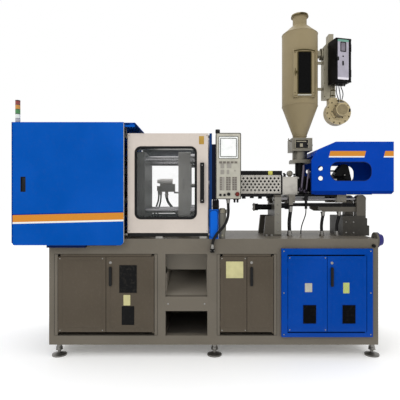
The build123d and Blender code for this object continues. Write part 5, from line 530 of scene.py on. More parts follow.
def finishes() -> list[Finish]:
    """The finish of every material slot, and of the pieces and nodes that have one of their own.

    Returns:
        One finish for each name.
    """
    guard_x, whole, fronts, cover_front = (-2.0, -0.86), (-2.0, 2.0), (-0.62, -0.50), (-0.3, -0.2)
    guard_stripes_and_shade = (
        Field(ORANGE, guard_x, (1.351, 1.420), climb=0.024),
        Field(WHITE, guard_x, (1.334, 1.351), climb=0.024),
        Field(DEEP_BLUE, guard_x, (1.420, 1.430), climb=0.024),
        # The dark navy band under the guard's foot is painted shade of its shadowed underside lip
        Field(rgb(4, 20, 62), guard_x, (0.9, 1.1208)),
        Field(rgb(2, 34, 104), (-2.0, -1.958), (0.9, 2.40), (-0.63, -0.60)),
    )
    cover_stripes = (
        Field(ORANGE, (1.272, 1.655), (2.042, 2.097), cover_front, skew=0.25),
        Field(WHITE, (1.268, 1.651), (2.028, 2.042), cover_front, skew=0.25),
        Field(ORANGE, (1.862, 1.990), (2.042, 2.097), cover_front, skew=0.25),
        Field(WHITE, (1.858, 1.990), (2.028, 2.042), cover_front, skew=0.25),
        Field(DEEP_BLUE, (1.05, 2.0), (1.60, 1.668)),
    )
    filter_fields = (
        Field(rgb(46, 44, 104), (1.690, 1.745), (1.0, 1.3)),
        Field(rgb(122, 40, 44), (1.7445, 1.760), (1.0, 1.3)),
        Field(BLACK, (1.60, 1.67), (1.09, 1.14), (-0.60, -0.5505)),
    )
    bushes = tuple(Field(rgb(112, 108, 100), x, (1.516, 1.626)) for x in ((0.844, 0.916), (1.369, 1.471)))
    interlock_fields = (
        Field(rgb(108, 106, 98), (0.0665, 0.2), (1.18, 1.48)),
        Field(BLACK, (-0.1, 0.2), (1.4755, 1.7)),
        Field(BLACK, (-0.1, 0.2), (0.9, 1.10)),
    )
    print_fields = (
        Field(rgb(104, 150, 134), (1.2, 1.7), (3.310, 3.36)),
        Field(rgb(214, 210, 218), (1.2, 1.7), (2.88, 2.918)),
    )
    support_fields = (
        # The black band along the slide bar between the supports is painted shade where the carriage's parts
        # lie in shadow
        Field(BLACK, (0.766, 1.5805), (1.495, 1.540)),
        Field(rgb(126, 123, 115), (0.690, 0.766), (1.20, 1.60), (-0.3, -0.219)),
        Field(rgb(58, 56, 52), (1.40, 1.75), (1.18, 1.40)),
    )
    grey_vent = (Field(BLACK, *LEFT_VENT, fronts),)
    blue_vents = tuple(Field(BLACK, *vent, fronts) for vent in BLUE_VENTS)
    lip = (Field(rgb(104, 98, 88), whole, (0.2, 1.1), fronts),)
    # The rear gate's inner face is painted darker grey: painted shade
    rear_gate_shade = (Field(rgb(66, 64, 74), (-1.0, 0.1), (1.2, 2.3), (0.30, 0.5435)),)
    coil = (Field(rgb(250, 246, 242), whole, (1.767, 1.857)),)
    platen_face = (Field(rgb(112, 110, 107), (-0.345, -0.216), (1.0, 2.2)),)
    knob = (Field(BLACK, (0.03, 0.10), (2.2405, 2.29)),)
    portal_side = (Field(rgb(14, 18, 34), (0.0045, 0.1), (1.5, 2.2)),)
    tiers = (rgb(36, 112, 50), rgb(178, 120, 22), rgb(118, 20, 14))
    return [
        Paint("frame_grey", rgb(104, 98, 88), 0.42, dust=0.16),
        Paint("panel_grey", rgb(80, 72, 61), 0.40, dust=0.10, fields=grey_vent),
        Paint("sheet_grey", rgb(88, 84, 76), 0.42, dust=0.16, fields=filter_fields),
        Paint("cabinet_blue", rgb(0, 62, 150), 0.36, gloss=0.02, dust=0.03, wear=0.02, fields=blue_vents),
        Paint("tray_grey", rgb(128, 122, 114), 0.5, dust=0.2),
        Paint("chute_finish", rgb(150, 143, 131), 0.42, dust=0.10, fields=lip),
        # The blower's cream is a lighter copy of the hopper's cream: painted light of its lit face
        Paint("blower_lit_cream", rgb(188, 172, 134), 0.42, dust=0.05),
        Paint("guard_blue", rgb(0, 76, 166), 0.36, gloss=0.02, dust=0.02, wear=0.015, fields=guard_stripes_and_shade),
        Paint("cover_blue", rgb(0, 60, 162), 0.36, gloss=0.02, dust=0.02, wear=0.015, fields=cover_stripes),
        Paint("gate_beige", rgb(199, 189, 180), 0.42, dust=0.05, fields=rear_gate_shade),
        Paint("platen_grey", rgb(78, 76, 75), 0.5, dust=0.12, wear=0.10, fields=platen_face),
        Paint("black_metal", rgb(12, 12, 13), 0.40, gloss=0.08, dust=0.03, fields=bushes),
        Paint("hopper_cream", rgb(139, 126, 97), 0.44, dust=0.06),
        Paint("dryer_dark", rgb(9, 9, 10), 0.38, gloss=0.05, dust=0.02, wear=0.02),
        Paint("interlock_finish", rgb(4, 92, 196), 0.36, gloss=0.06, dust=0.03, fields=interlock_fields),
        Paint("portal_finish", rgb(10, 48, 98), 0.40, gloss=0.06, dust=0.02, fields=portal_side),
        Paint("support_finish", rgb(84, 80, 73), 0.42, dust=0.14, fields=support_fields),
        Paint("valve_finish", rgb(146, 142, 137), 0.42, dust=0.06, fields=coil),
        Metal("magnet_finish", rgb(122, 118, 108), 0.46, 0.4, tarnish=0.35),
        Metal("foot_steel", rgb(132, 130, 126), 0.42, tarnish=0.6),
        Metal("ground_steel", rgb(128, 126, 128), 0.26, 0.3, Lay.ALONG_X, 0.15),
        Metal("machined_steel", rgb(150, 148, 144), 0.34, 0.6, Lay.ALONG_X, 0.35),
        Metal("duct_grey", rgb(150, 144, 126), 0.46, 0.4, tarnish=0.35),
        Metal("pipe_violet", rgb(104, 97, 110), 0.4, 0.4, tarnish=0.4),
        Metal("hinge_olive", rgb(78, 70, 46), 0.45, 0.4, tarnish=0.4),
        Perforated("zinc_sheet", rgb(184, 180, 172)),
        Plastic("black_plastic", rgb(10, 10, 11), 0.42),
        Plastic("panel_white", rgb(178, 175, 162), 0.5, 0.2, fields=knob),
        Plastic("key_grey", rgb(112, 106, 98), 0.5),
        Plastic("stop_red", rgb(104, 36, 28), 0.3, 0.1),
        Plastic("screen", rgb(246, 248, 246), 0.12, 0.02),
        Plastic("hose_rubber", rgb(12, 12, 13), 0.5, 0.35, 700.0),
        Plastic("label_pale", rgb(196, 190, 140), 0.5, 0.1),
        Plastic("label_green", rgb(178, 190, 112), 0.5, 0.1),
        Plastic("label_gold", rgb(176, 140, 62), 0.45, 0.1),
        Plastic("label_yellow", rgb(206, 202, 96), 0.5, 0.1),
        Plastic("panel_print", rgb(168, 164, 176), 0.45, 0.05, fields=print_fields),
        Plastic("display_grey", rgb(118, 112, 122), 0.25, 0.02),
        Plastic("pad_grey", rgb(150, 146, 138), 0.55, 0.1),
        Plastic("bezel_grey", rgb(64, 66, 58), 0.45, 0.1),
        Plastic("trim_blue", rgb(2, 26, 84), 0.45, 0.1),
        Pane("clear_pane", rgb(226, 236, 234), 0.02, 0.3),
        Pane("smoked_pane", rgb(8, 8, 8), 0.94, 0.06),
        Lamp("lamp", rgb(206, 210, 208), 2.38, 0.046, tiers),
    ]


# Mesh making


def inset(span: Pair, margin: float) -> Pair:
    """A range drawn in at both ends."""
    return span[0] + margin, span[1] - margin


def about(middle: float, reach: float) -> Pair:
    """A range that goes as far below its middle as above it."""
    return middle - reach, middle + reach


def grid(x: Levels, y: Levels, z: Levels) -> list[Point]:
    """Every point with one of the given X, one of the Y and one of the Z."""
    return list(itertools.product(*(np.atleast_1d(levels).tolist() for levels in (x, y, z))))


def circle(centre: Point, axis: Axis, radius: float, count: int, start: float = 0.0) -> np.ndarray:
    """Points spread evenly round a level axis: cosine goes to the level direction and sine to the height.

    Args:
        centre: Middle of the circle.
        axis: X or Y, square to the circle.
        radius: Radius of the circle.
        count: Number of points.
        start: Angle of the first point, in radians.

    Returns:
        The points as rows.
    """
    angle = np.arange(count) * 2 * np.pi / count + start
    level = np.eye(3)[1 - axis.value]
    return centre + radius * (np.cos(angle)[:, None] * level + np.sin(angle)[:, None] * Axis.Z.unit())


class Surface:
    """Points and faces gathered for one piece; every shape returns the surface, so that shapes chain."""

    def __init__(self) -> None:
        """Start with nothing."""
        self.points: list[np.ndarray] = []
        self.faces: list[list[int]] = []
        self.count = 0

    def loft(self, rings: np.ndarray, closed: bool = False) -> "Surface":
        """Join rows of points with quads, and cap both ends unless the last row joins the first.

        Args:
            rings: Points as an array of row, place round the row, and XYZ.
            closed: The rows form a loop, as on a gasket.

        Returns:
            The surface.
        """
        rows, around = rings.shape[:2]
        index = np.arange(rows * around).reshape(rows, around) + self.count
        lower = index if closed else index[:-1]
        upper = np.roll(index, -1, axis=0) if closed else index[1:]
        quads = np.stack([lower, np.roll(lower, -1, axis=1), np.roll(upper, -1, axis=1), upper], axis=-1)
        self.faces += quads.reshape(-1, 4).tolist()
        if not closed:
            self.faces += [index[0][::-1].tolist(), index[-1].tolist()]
        self.points.append(rings.reshape(-1, 3))
        self.count += rows * around
        return self

    def turned(self, centres: Places, axis: Axis, outline: list[Pair], steps: int = 24) -> "Surface":
        """Spin an outline of (radius, distance) about an axis: each radius r at distance d gives a ring.

        Args:
            centres: Where distance is zero, for one copy or for several.
            axis: The direction that distance runs along.
            outline: Radius and distance pairs, from one end to the other.
            steps: Points round the axis; six makes a hexagon.

        Returns:
            The surface.
        """
        first, second = np.eye(3)[list(axis.others())]
        angle = np.linspace(0, 2 * np.pi, steps, endpoint=False)
        ring = np.cos(angle)[:, None] * first + np.sin(angle)[:, None] * second
        radius, height = np.array(outline).T[..., None, None]
        for centre in np.atleast_2d(centres):
            self.loft(np.maximum(radius, 0.0002) * ring + height * axis.unit() + centre)
        return self

    def pad(
        self, x: Pair, y: Pair, z: Pair, axis: Axis, corner: float, lip: float, steps: int = 4
    ) -> "Surface":
        """A plate or box over three ranges, with rounded corners round an axis and a rounded rim.

        The outline is a rounded rectangle; near both ends it draws in by the lip, following a quarter circle.

        Args:
            x: Range along the machine.
            y: Range of depth, in either order.
            z: Range of height.
            axis: The direction that the outline is swept along.
            corner: Radius of the outline's corners.
            lip: Radius of the rim.
            steps: Points on each corner.

        Returns:
            The surface.
        """
        first, second = axis.others()
        low, high = np.sort(np.array((x, y, z)), axis=1).T
        half = (high - low) / 2
        turn = np.linspace(0, np.pi / 2, 3)
        sink, draw_in = lip * (1 - np.cos(turn)), lip * (1 - np.sin(turn))
        inward = np.concatenate([draw_in, sink])
        level = np.concatenate([sink - half[axis.value], half[axis.value] - draw_in])
        sweep = np.linspace(0, np.pi / 2, steps)
        angle = np.concatenate([sweep + quarter * np.pi / 2 for quarter in range(4)])
        rings = np.zeros((len(level), len(angle), 3))
        radius = np.maximum(corner - inward, 0.0001)[:, None]
        for place, signs, wave in ((first, (1, -1, -1, 1), np.cos), (second, (1, 1, -1, -1), np.sin)):
            flank = half[place] - inward[:, None] - radius
            rings[:, :, place] = np.repeat(signs, steps) * flank + radius * wave(angle)
        rings[:, :, axis.value] = level[:, None]
        return self.loft(rings + (low + high) / 2)

    def swept(
        self, path: np.ndarray, radius: float, steps: int = 8, closed: bool = False, flat: float = 1.0
    ) -> "Surface":
        """A round or flattened section of constant size along a path.

        Each ring stands square to the path, on two directions found from the path's tangent and a fixed one.

        Args:
            path: Points along the middle.
            radius: Half the section's width.
            steps: Points round the section.
            closed: The path is a loop.
            flat: Height over width of the section.

        Returns:
            The surface.
        """
        if closed:
            tangent = np.roll(path, -1, axis=0) - np.roll(path, 1, axis=0)
        else:
            tangent = np.gradient(path, axis=0)
        tangent = tangent / np.linalg.norm(tangent, axis=1)[:, None]
        guide = np.eye(3)[int(np.argmin(path.max(axis=0) - path.min(axis=0)))]
        side = np.cross(tangent, guide)
        side = side / np.linalg.norm(side, axis=1)[:, None]
        over = np.cross(side, tangent)
        angle = np.linspace(0, 2 * np.pi, steps, endpoint=False)[None, :, None]
        ring = np.cos(angle) * side[:, None, :] + flat * np.sin(angle) * over[:, None, :]
        return self.loft(path[:, None, :] + radius * ring, closed)

    def frame(
        self, x: Pair, z: Pair, y: float, corner: Pair, radius: float, steps: int = 8, flat: float = 1.0
    ) -> "Surface":
        """A bead along a rounded rectangle in an upright plane.

        Args:
            x: Range along the machine.
            z: Range of height.
            y: Place of the plane.
            corner: Radius of the corners, and how many points each has.
            radius: Half the bead's width.
            steps: Points round the bead.
            flat: Height over width of the bead.

        Returns:
            The surface.
        """
        bend, count = corner
        (left, right), (bottom, top) = inset(x, bend), inset(z, bend)
        sweep = np.linspace(0, np.pi / 2, int(count))
        loop = []
        for quarter, (cx, cz) in enumerate(((right, top), (left, top), (left, bottom), (right, bottom))):
            angle = sweep + quarter * np.pi / 2
            arc = (cx + bend * np.cos(angle), np.full(len(sweep), y), cz + bend * np.sin(angle))
            loop.append(np.stack(arc, axis=1))
        return self.swept(np.concatenate(loop), radius, steps, closed=True, flat=flat)

    def hexagons(self, centres: Places, axis: Axis, across: float, height: float) -> "Surface":
        """Hexagon heads on washers, standing along an axis; a negative height turns them round.

        Args:
            centres: Where each head sits.
            axis: The direction that it stands along.
            across: Nearly its width over corners.
            height: Its height, negative towards the low end of the axis.

        Returns:
            The surface.
        """
        sign, size = math.copysign(1.0, height), across / 2
        washer = [(size * 1.35, 0.0), (size * 1.35, sign * 0.0016)]
        head = [(size * 1.15, sign * 0.0012), (size * 1.15, height * 0.82), (size * 0.95, height)]
        for centre in np.atleast_2d(centres):
            self.turned(centre, axis, washer, 16).turned(centre, axis, head, 6)
        return self

    def screws(self, centres: Places, axis: Axis, radius: float, height: float) -> "Surface":
        """Domed screw heads with sockets, standing along an axis."""
        dome = ((1.0, 0.0), (0.96, 0.5), (0.72, 0.9), (0.42, 1.0), (0.36, 0.45), (0.0, 0.4))
        return self.turned(centres, axis, [(radius * share, height * rise) for share, rise in dome], 14)

    def placed(self, centre: Point, yaw: float) -> "Surface":
        """Turn everything gathered so far about an upright axis, and move it to its place.

        Args:
            centre: Where the axis stands.
            yaw: Angle in degrees, counter-clockwise from above.

        Returns:
            The surface.
        """
        cosine, sine = math.cos(math.radians(yaw)), math.sin(math.radians(yaw))
        turn = np.array([[cosine, sine, 0.0], [-sine, cosine, 0.0], [0.0, 0.0, 1.0]])
        self.points = [points @ turn + np.array(centre) for points in self.points]
        return self


def added(name: str, data: bpy.types.ID) -> bpy.types.Object:
    """Put new data into the scene as an object.

    Args:
        name: Name of the object.
        data: Its mesh, curve, camera or light.

    Returns:
        The object.
    """
    thing = bpy.data.objects.new(name, data)
    bpy.context.scene.collection.objects.link(thing)
    return thing


class Workshop:
    """Turns surfaces into objects with a finish, on the body that they ride."""

    def __init__(self, materials: dict[str, bpy.types.Material], slots: set[str]) -> None:
        """Keep what the pieces are finished with.

        Args:
            materials: Finishes by name.
            slots: Names of the finishes that the model's own record has.
        """
        self.materials = materials
        self.slots = slots
        self.made = 0

    def make(self, name: str, surface: Surface, finish: str, body: Body) -> bpy.types.Object:
        """Make one piece that rides on a body.

        Args:
            name: Name of the piece.
            surface: Its points and faces.
            finish: Name of its finish.
            body: The body that it rides on.

        Returns:
            The new object.
        """
        piece = self.mesh_object(name, surface, finish)
        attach(piece, body.value)
        return piece

    def mesh_object(self, name: str, surface: Surface, finish: str, sharp: float = 38.0) -> bpy.types.Object:
        """Make a piece that rides on nothing yet, with its faces turned outward.

        Args:
            name: Name of the piece.
            surface: Its points and faces.
            finish: Name of its finish.
            sharp: Edges that turn more than this, in degrees, stay crisp.

        Returns:
            The new object.
        """
        mesh = bpy.data.meshes.new(name)
        mesh.from_pydata(np.concatenate(surface.points).tolist(), [], surface.faces)
        work = bmesh.new()
        work.from_mesh(mesh)
        bmesh.ops.recalc_face_normals(work, faces=work.faces)
        work.to_mesh(mesh)
        work.free()
        mesh.polygons.foreach_set("use_smooth", np.ones(len(mesh.polygons), dtype=bool))
        mesh.set_sharp_from_angle(angle=math.radians(sharp))
        mesh.materials.append(self.materials[finish])
        piece = added(name, mesh)
        finish in self.slots
        self.made += 1
        LOG.info("%s: %d faces in %s", name, len(mesh.polygons), finish)
        return piece


@dataclass(frozen=True)
class Assembly:
    """A sub-assembly: the workshop that makes its pieces, and the body that most of them ride on."""

    shop: Workshop
    body: Body = Body.BASE

    def build(self) -> None:
        """Make every piece, in the way of each assembly."""
        raise NotImplementedError

    def make(self, name: str, surface: Surface, finish: str, body: Body | None = None) -> None:
        """Make one piece, on the assembly's own body where no other is given."""
        self.shop.make(name, surface, finish, body or self.body)

    def label(self, name: str, x: Pair, z: Pair, front: float, finish: str, body: Body | None = None) -> None:
        """Make a bare plate with a raised border, where the machine carries a printed label.

        Args:
            name: Name of the plate.
            x: Range along the machine.
            z: Range of height.
            front: Depth of the face that it is on.
            finish: Name of its finish.
            body: The body that it rides on, where it isn't the assembly's own.
        """
        plate = Surface().pad(x, (front - 0.0012, front), z, Axis.Y, 0.004, 0.0004)
        plate.frame(inset(x, 0.004), inset(z, 0.004), front - 0.0013, (0.003, 3), 0.0012, 6, 0.5)
        self.make(name, plate, finish, body)


# Camera and light


@dataclass(frozen=True)
class Studio:
    """Camera at a standing photographer's eye, a pale floor, and soft light from above and both sides."""

    eye: Point = (-0.116, -4.550, 1.570)
    lens: float = 36.0
    sensor: float = 36.0
    floor_radius: float = 60.0
    floor_steps: int = 48

    def build(self) -> None:
        """Make the camera, the floor, the lamps and the surrounding light."""
        self._camera()
        self._floor()
        self._lamp("key", (-3.6, -5.4, 5.2), (-0.2, 0.0, 1.4), 2.6, 75.0)
        self._lamp("fill", (4.8, -4.4, 3.6), (0.2, 0.0, 1.4), 2.6, 28.0)
        self._lamp("top", (0.0, 0.6, 6.2), (0.0, 0.0, 1.0), 4.0, 60.0)
        world = bpy.data.worlds.new("studio")
        world.use_nodes = True
        background = world.node_tree.nodes["Background"]
        background.inputs["Color"].default_value = (1.0, 1.0, 1.0, 1.0)
        background.inputs["Strength"].default_value = 1.0
        bpy.context.scene.world = world
        bpy.context.scene.view_settings.view_transform = "Standard"

    def _camera(self) -> None:
        """Make the level camera that looks along +Y."""
        data = bpy.data.cameras.new("camera")
        data.lens = self.lens
        data.sensor_width = self.sensor
        data.clip_end = 200.0
        camera = added("camera", data)
        camera.location = self.eye
        camera.rotation_euler = (math.pi / 2, 0.0, 0.0)
        bpy.context.scene.camera = camera

    def _floor(self) -> None:
        """Make a wide round floor, with its top at zero height."""
        angle = np.linspace(0, 2 * np.pi, self.floor_steps, endpoint=False)
        rim = self.floor_radius * np.stack([np.cos(angle), np.sin(angle), np.zeros(self.floor_steps)], axis=1)
        mesh = bpy.data.meshes.new("floor")
        mesh.from_pydata(rim.tolist(), [], [list(range(self.floor_steps))])
        graph = Graph("floor")
        tone = graph.mix(graph.noise(0.6), rgb(244, 244, 243), rgb(250, 250, 249))
        graph.surface(Base_Color=tone, Roughness=0.9, Emission_Color=tone, Emission_Strength=0.16)
        mesh.materials.append(graph.material)
        floor = added("floor", mesh)

    def _lamp(self, name: str, place: Point, target: Point, size: float, power: float) -> None:
        """Make a square soft lamp that points at a target.

        Args:
            name: Name of the lamp.
            place: Where it hangs.
            target: The point that it faces.
            size: Width of its square.
            power: Its power in watts.
        """
        data = bpy.data.lights.new(name, "AREA")
        data.size = size
        data.energy = power
        lamp = added(name, data)
        ahead = np.array(target) - np.array(place)
        level = math.hypot(ahead[0], ahead[1])
        lamp.location = place
        lamp.rotation_euler = (math.atan2(level, -ahead[2]), 0.0, math.atan2(-ahead[0], ahead[1]))


# Hoses and cables


@dataclass(frozen=True)
class Hose:
    """One hose or cable of real length, on a smooth curve through the control points of its route."""

    name: str
    node: str
    points: tuple[Point, ...]
    radius: float
    length: float
    body: Body = Body.BASE
    fitting: str = "machined_steel"

    def curve(self, material: bpy.types.Material | None, bevel: float) -> bpy.types.Object:
        """Make the curve object of the route.

        Args:
            material: Finish of the tube, or None for a bare line.
            bevel: Radius of the tube; zero gives a line.

        Returns:
            The curve object, linked to the scene.
        """
        data = bpy.data.curves.new(self.name, "CURVE")
        data.dimensions = "3D"
        data.resolution_u = 10
        data.bevel_depth = bevel
        data.bevel_resolution = 4
        data.use_fill_caps = True
        spline = data.splines.new("NURBS")
        spline.points.add(len(self.points) - 1)
        weighted = np.concatenate([np.array(self.points), np.ones((len(self.points), 1))], axis=1)
        spline.points.foreach_set("co", weighted.astype(np.float32).ravel())
        spline.order_u = 3
        spline.use_endpoint_u = True
        if material:
            data.materials.append(material)
        return added(self.name, data)

    def build(self, shop: Workshop) -> None:
        """Args:
            shop: What makes the pieces.
        """
        tube = self.curve(shop.materials["hose_rubber"], self.radius)
        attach(tube, self.body.value)
        fittings = self.ferrule(Surface(), self.points[0], -1.0)
        self.ferrule(fittings, self.points[-1], 1.0)
        self._declare(shop.make(f"{self.name}_ferrules", fittings, self.fitting, self.body))

    def build_across(self, shop: Workshop, top_body: Body) -> None:
        """Args:
            shop: What makes the pieces.
            top_body: The body that its upper end follows.
        """
        line = self.curve(None, 0.0)
        bpy.context.view_layer.update()
        traced = bpy.data.meshes.new_from_object(line)
        path = np.zeros(len(traced.vertices) * 3)
        traced.vertices.foreach_get("co", path)
        path = path.reshape(-1, 3)
        bpy.data.objects.remove(line)
        tube = shop.mesh_object(self.name, Surface().swept(path, self.radius, 16), "hose_rubber", 60.0)
        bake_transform(tube)
        upper = self.ferrule(Surface(), self.points[0], -1.0, 1.16, 1.12)
        shop.make(f"{self.name}_upper_ferrule", upper, self.fitting, top_body)
        lower = self.ferrule(Surface(), self.points[-1], 1.0)
        ends = shop.make(f"{self.name}_lower_ferrule", lower, self.fitting, self.body)
        self._declare(ends)

    def _declare(
        self, ends: bpy.types.Object
    ) -> None:
        """Hide the node that the tube stands for, and log the tube's length.

        Args:
            ends: The piece with its fittings; not used.
        """
        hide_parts(self.node)
        self.radius * 2
        LOG.info("%s: cord of %.3f m", self.name, self.length)

    def ferrule(
        self, surface: Surface, end: Point, sign: float, nut_share: float = 1.55, rib_share: float = 1.28
    ) -> Surface:
        """Make a ferrule on one end: a hexagon, then three crimped ribs and a lip.

        Args:
            surface: Where its faces go.
            end: End of the hose.
            sign: Which way it points along Z.
            nut_share: Half width of the hexagon in radii of the hose.
            rib_share: Radius of the ribs in radii of the hose.

        Returns:
            The surface.
        """
        radius, step = self.radius, sign * self.radius
        wide, outer = radius * nut_share, radius * rib_share
        surface.turned(end, Axis.Z, [(wide, 0.0), (wide, step * 0.8), (wide * 0.84, step * 0.95)], 6)
        ribs: list[Pair] = [(outer, step * 0.9)]
        crimp = ((1.0, 0.0), (0.92, 0.2), (1.0, 0.4))
        for level in (1.0, 1.55, 2.1):
            ribs += [(outer * share, step * (level + rise)) for share, rise in crimp]
        return surface.turned(end, Axis.Z, [*ribs, (radius * 1.04, step * 2.9)], 20)


def hanging(
    name: str,
    node: str,
    start: Point,
    foot: Pair,
    sway: float,
    radius: float,
    length: float,
    body: Body = Body.BASE,
    fitting: str = "machined_steel",
) -> Hose:
    """A hose that drops from one fitting to another with a sideways bow.

    Args:
        name: Name of the hose.
        node: The CAD node that it stands for.
        start: Upper end.
        foot: X and height of the lower end.
        sway: Largest bow along the machine, in metres.
        radius: Radius of the hose.
        length: Its real length.
        body: The body that it rides on.
        fitting: Name of the finish of its fittings.

    Returns:
        The hose, on seven points, the first and last two straight above each other.
    """
    step = (start[2] - foot[1]) / 6
    shape = ((0.0, 0.0), (0.0, 0.0), (0.2, 0.7), (0.5, 1.0), (0.8, 0.7), (1.0, 0.0), (1.0, 0.0))
    points = tuple(
        (start[0] + (foot[0] - start[0]) * share + sway * bow, start[1], start[2] - step * index)
        for index, (share, bow) in enumerate(shape)
    )
    return Hose(name, node, points, radius, length, body, fitting)


@dataclass(frozen=True)
class Hoses(Assembly):
    """Every hose and cable of the machine, with the crimped ferrules and glands at their ends."""

    deck: float = 1.182
    arm_bottom: float = 1.443
    drive_y: float = -0.175
    dryer_y: float = -0.067
    dryer_z: Pair = (2.870, 2.661)
    cable_radius: float = 0.005
    conduit_start: Point = (0.168, -0.516, 1.578)
    conduit_route: tuple[Point, ...] = (
        (0.0, 0.0, 0.0),
        (0.0, 0.0, -0.060),
        (0.002, -0.022, -0.120),
        (-0.006, -0.048, -0.182),
        (-0.028, -0.066, -0.240),
        (-0.064, -0.071, -0.290),
        (-0.108, -0.069, -0.332),
        (-0.142, -0.065, -0.382),
        (-0.161, -0.062, -0.438),
        (-0.161, -0.062, -0.490),
    )

    def build(self) -> None:
        """Make the hoses of the clamp and the drive, the panel's, the dryer's and the carriage's."""
        arm = (self.drive_y, self.arm_bottom)
        for name, start, foot, *sizes in (
            ("core_pull_hose_0", (-0.627, 0.420, 1.660), -0.685, -0.022, 0.010, 0.4858),
            ("core_pull_hose_1", (-0.600, 0.420, 1.652), -0.652, -0.014, 0.010, 0.4753),
            ("core_pull_hose_2", (-0.530, 0.420, 1.645), -0.330, 0.024, 0.016, 0.5230),
            ("drive_hose_0", (1.228, *arm), 1.215, -0.008, 0.017, 0.2621),
            ("drive_hose_1", (1.403, *arm), 1.380, -0.010, 0.017, 0.2635),
        ):
            hanging(name, "hydraulic_hoses", start, (foot, self.deck), *sizes).build(self.shop)
        route = np.array(self.conduit_start) + np.array(self.conduit_route)
        points = tuple(tuple(point) for point in route.tolist())
        Hose("panel_cable_conduit", "panel_conduit", points, 0.014, 0.5481).build(self.shop)
        top, bottom = self.dryer_z
        on_carriage = (Body.CARRIAGE, "black_plastic")
        for name, x, foot, sway, length in (
            ("dryer_cable_0", 1.418, 1.4382, -0.014, 0.2129),
            ("dryer_cable_1", 1.440, 1.4558, 0.004, 0.2101),
            ("dryer_cable_2", 1.462, 1.4734, 0.020, 0.2146),
        ):
            start, sizes = (x, self.dryer_y, top), (sway, self.cable_radius, length)
            hanging(name, "dryer_cables", start, (foot, bottom), *sizes, *on_carriage).build(self.shop)
        for name, start, foot, *sizes in (
            ("carriage_supply_hose", (0.865, -0.213, 1.500), 0.855, -0.008, 0.020, 0.3188),
            ("carriage_sensor_cable", (1.028, -0.231, 1.475), 0.972, -0.006, 0.006, 0.3010),
        ):
            hose = hanging(name, "carriage_hoses", start, (foot, self.deck), *sizes)
            hose.build_across(self.shop, Body.CARRIAGE)


# Dressing of each sub-assembly


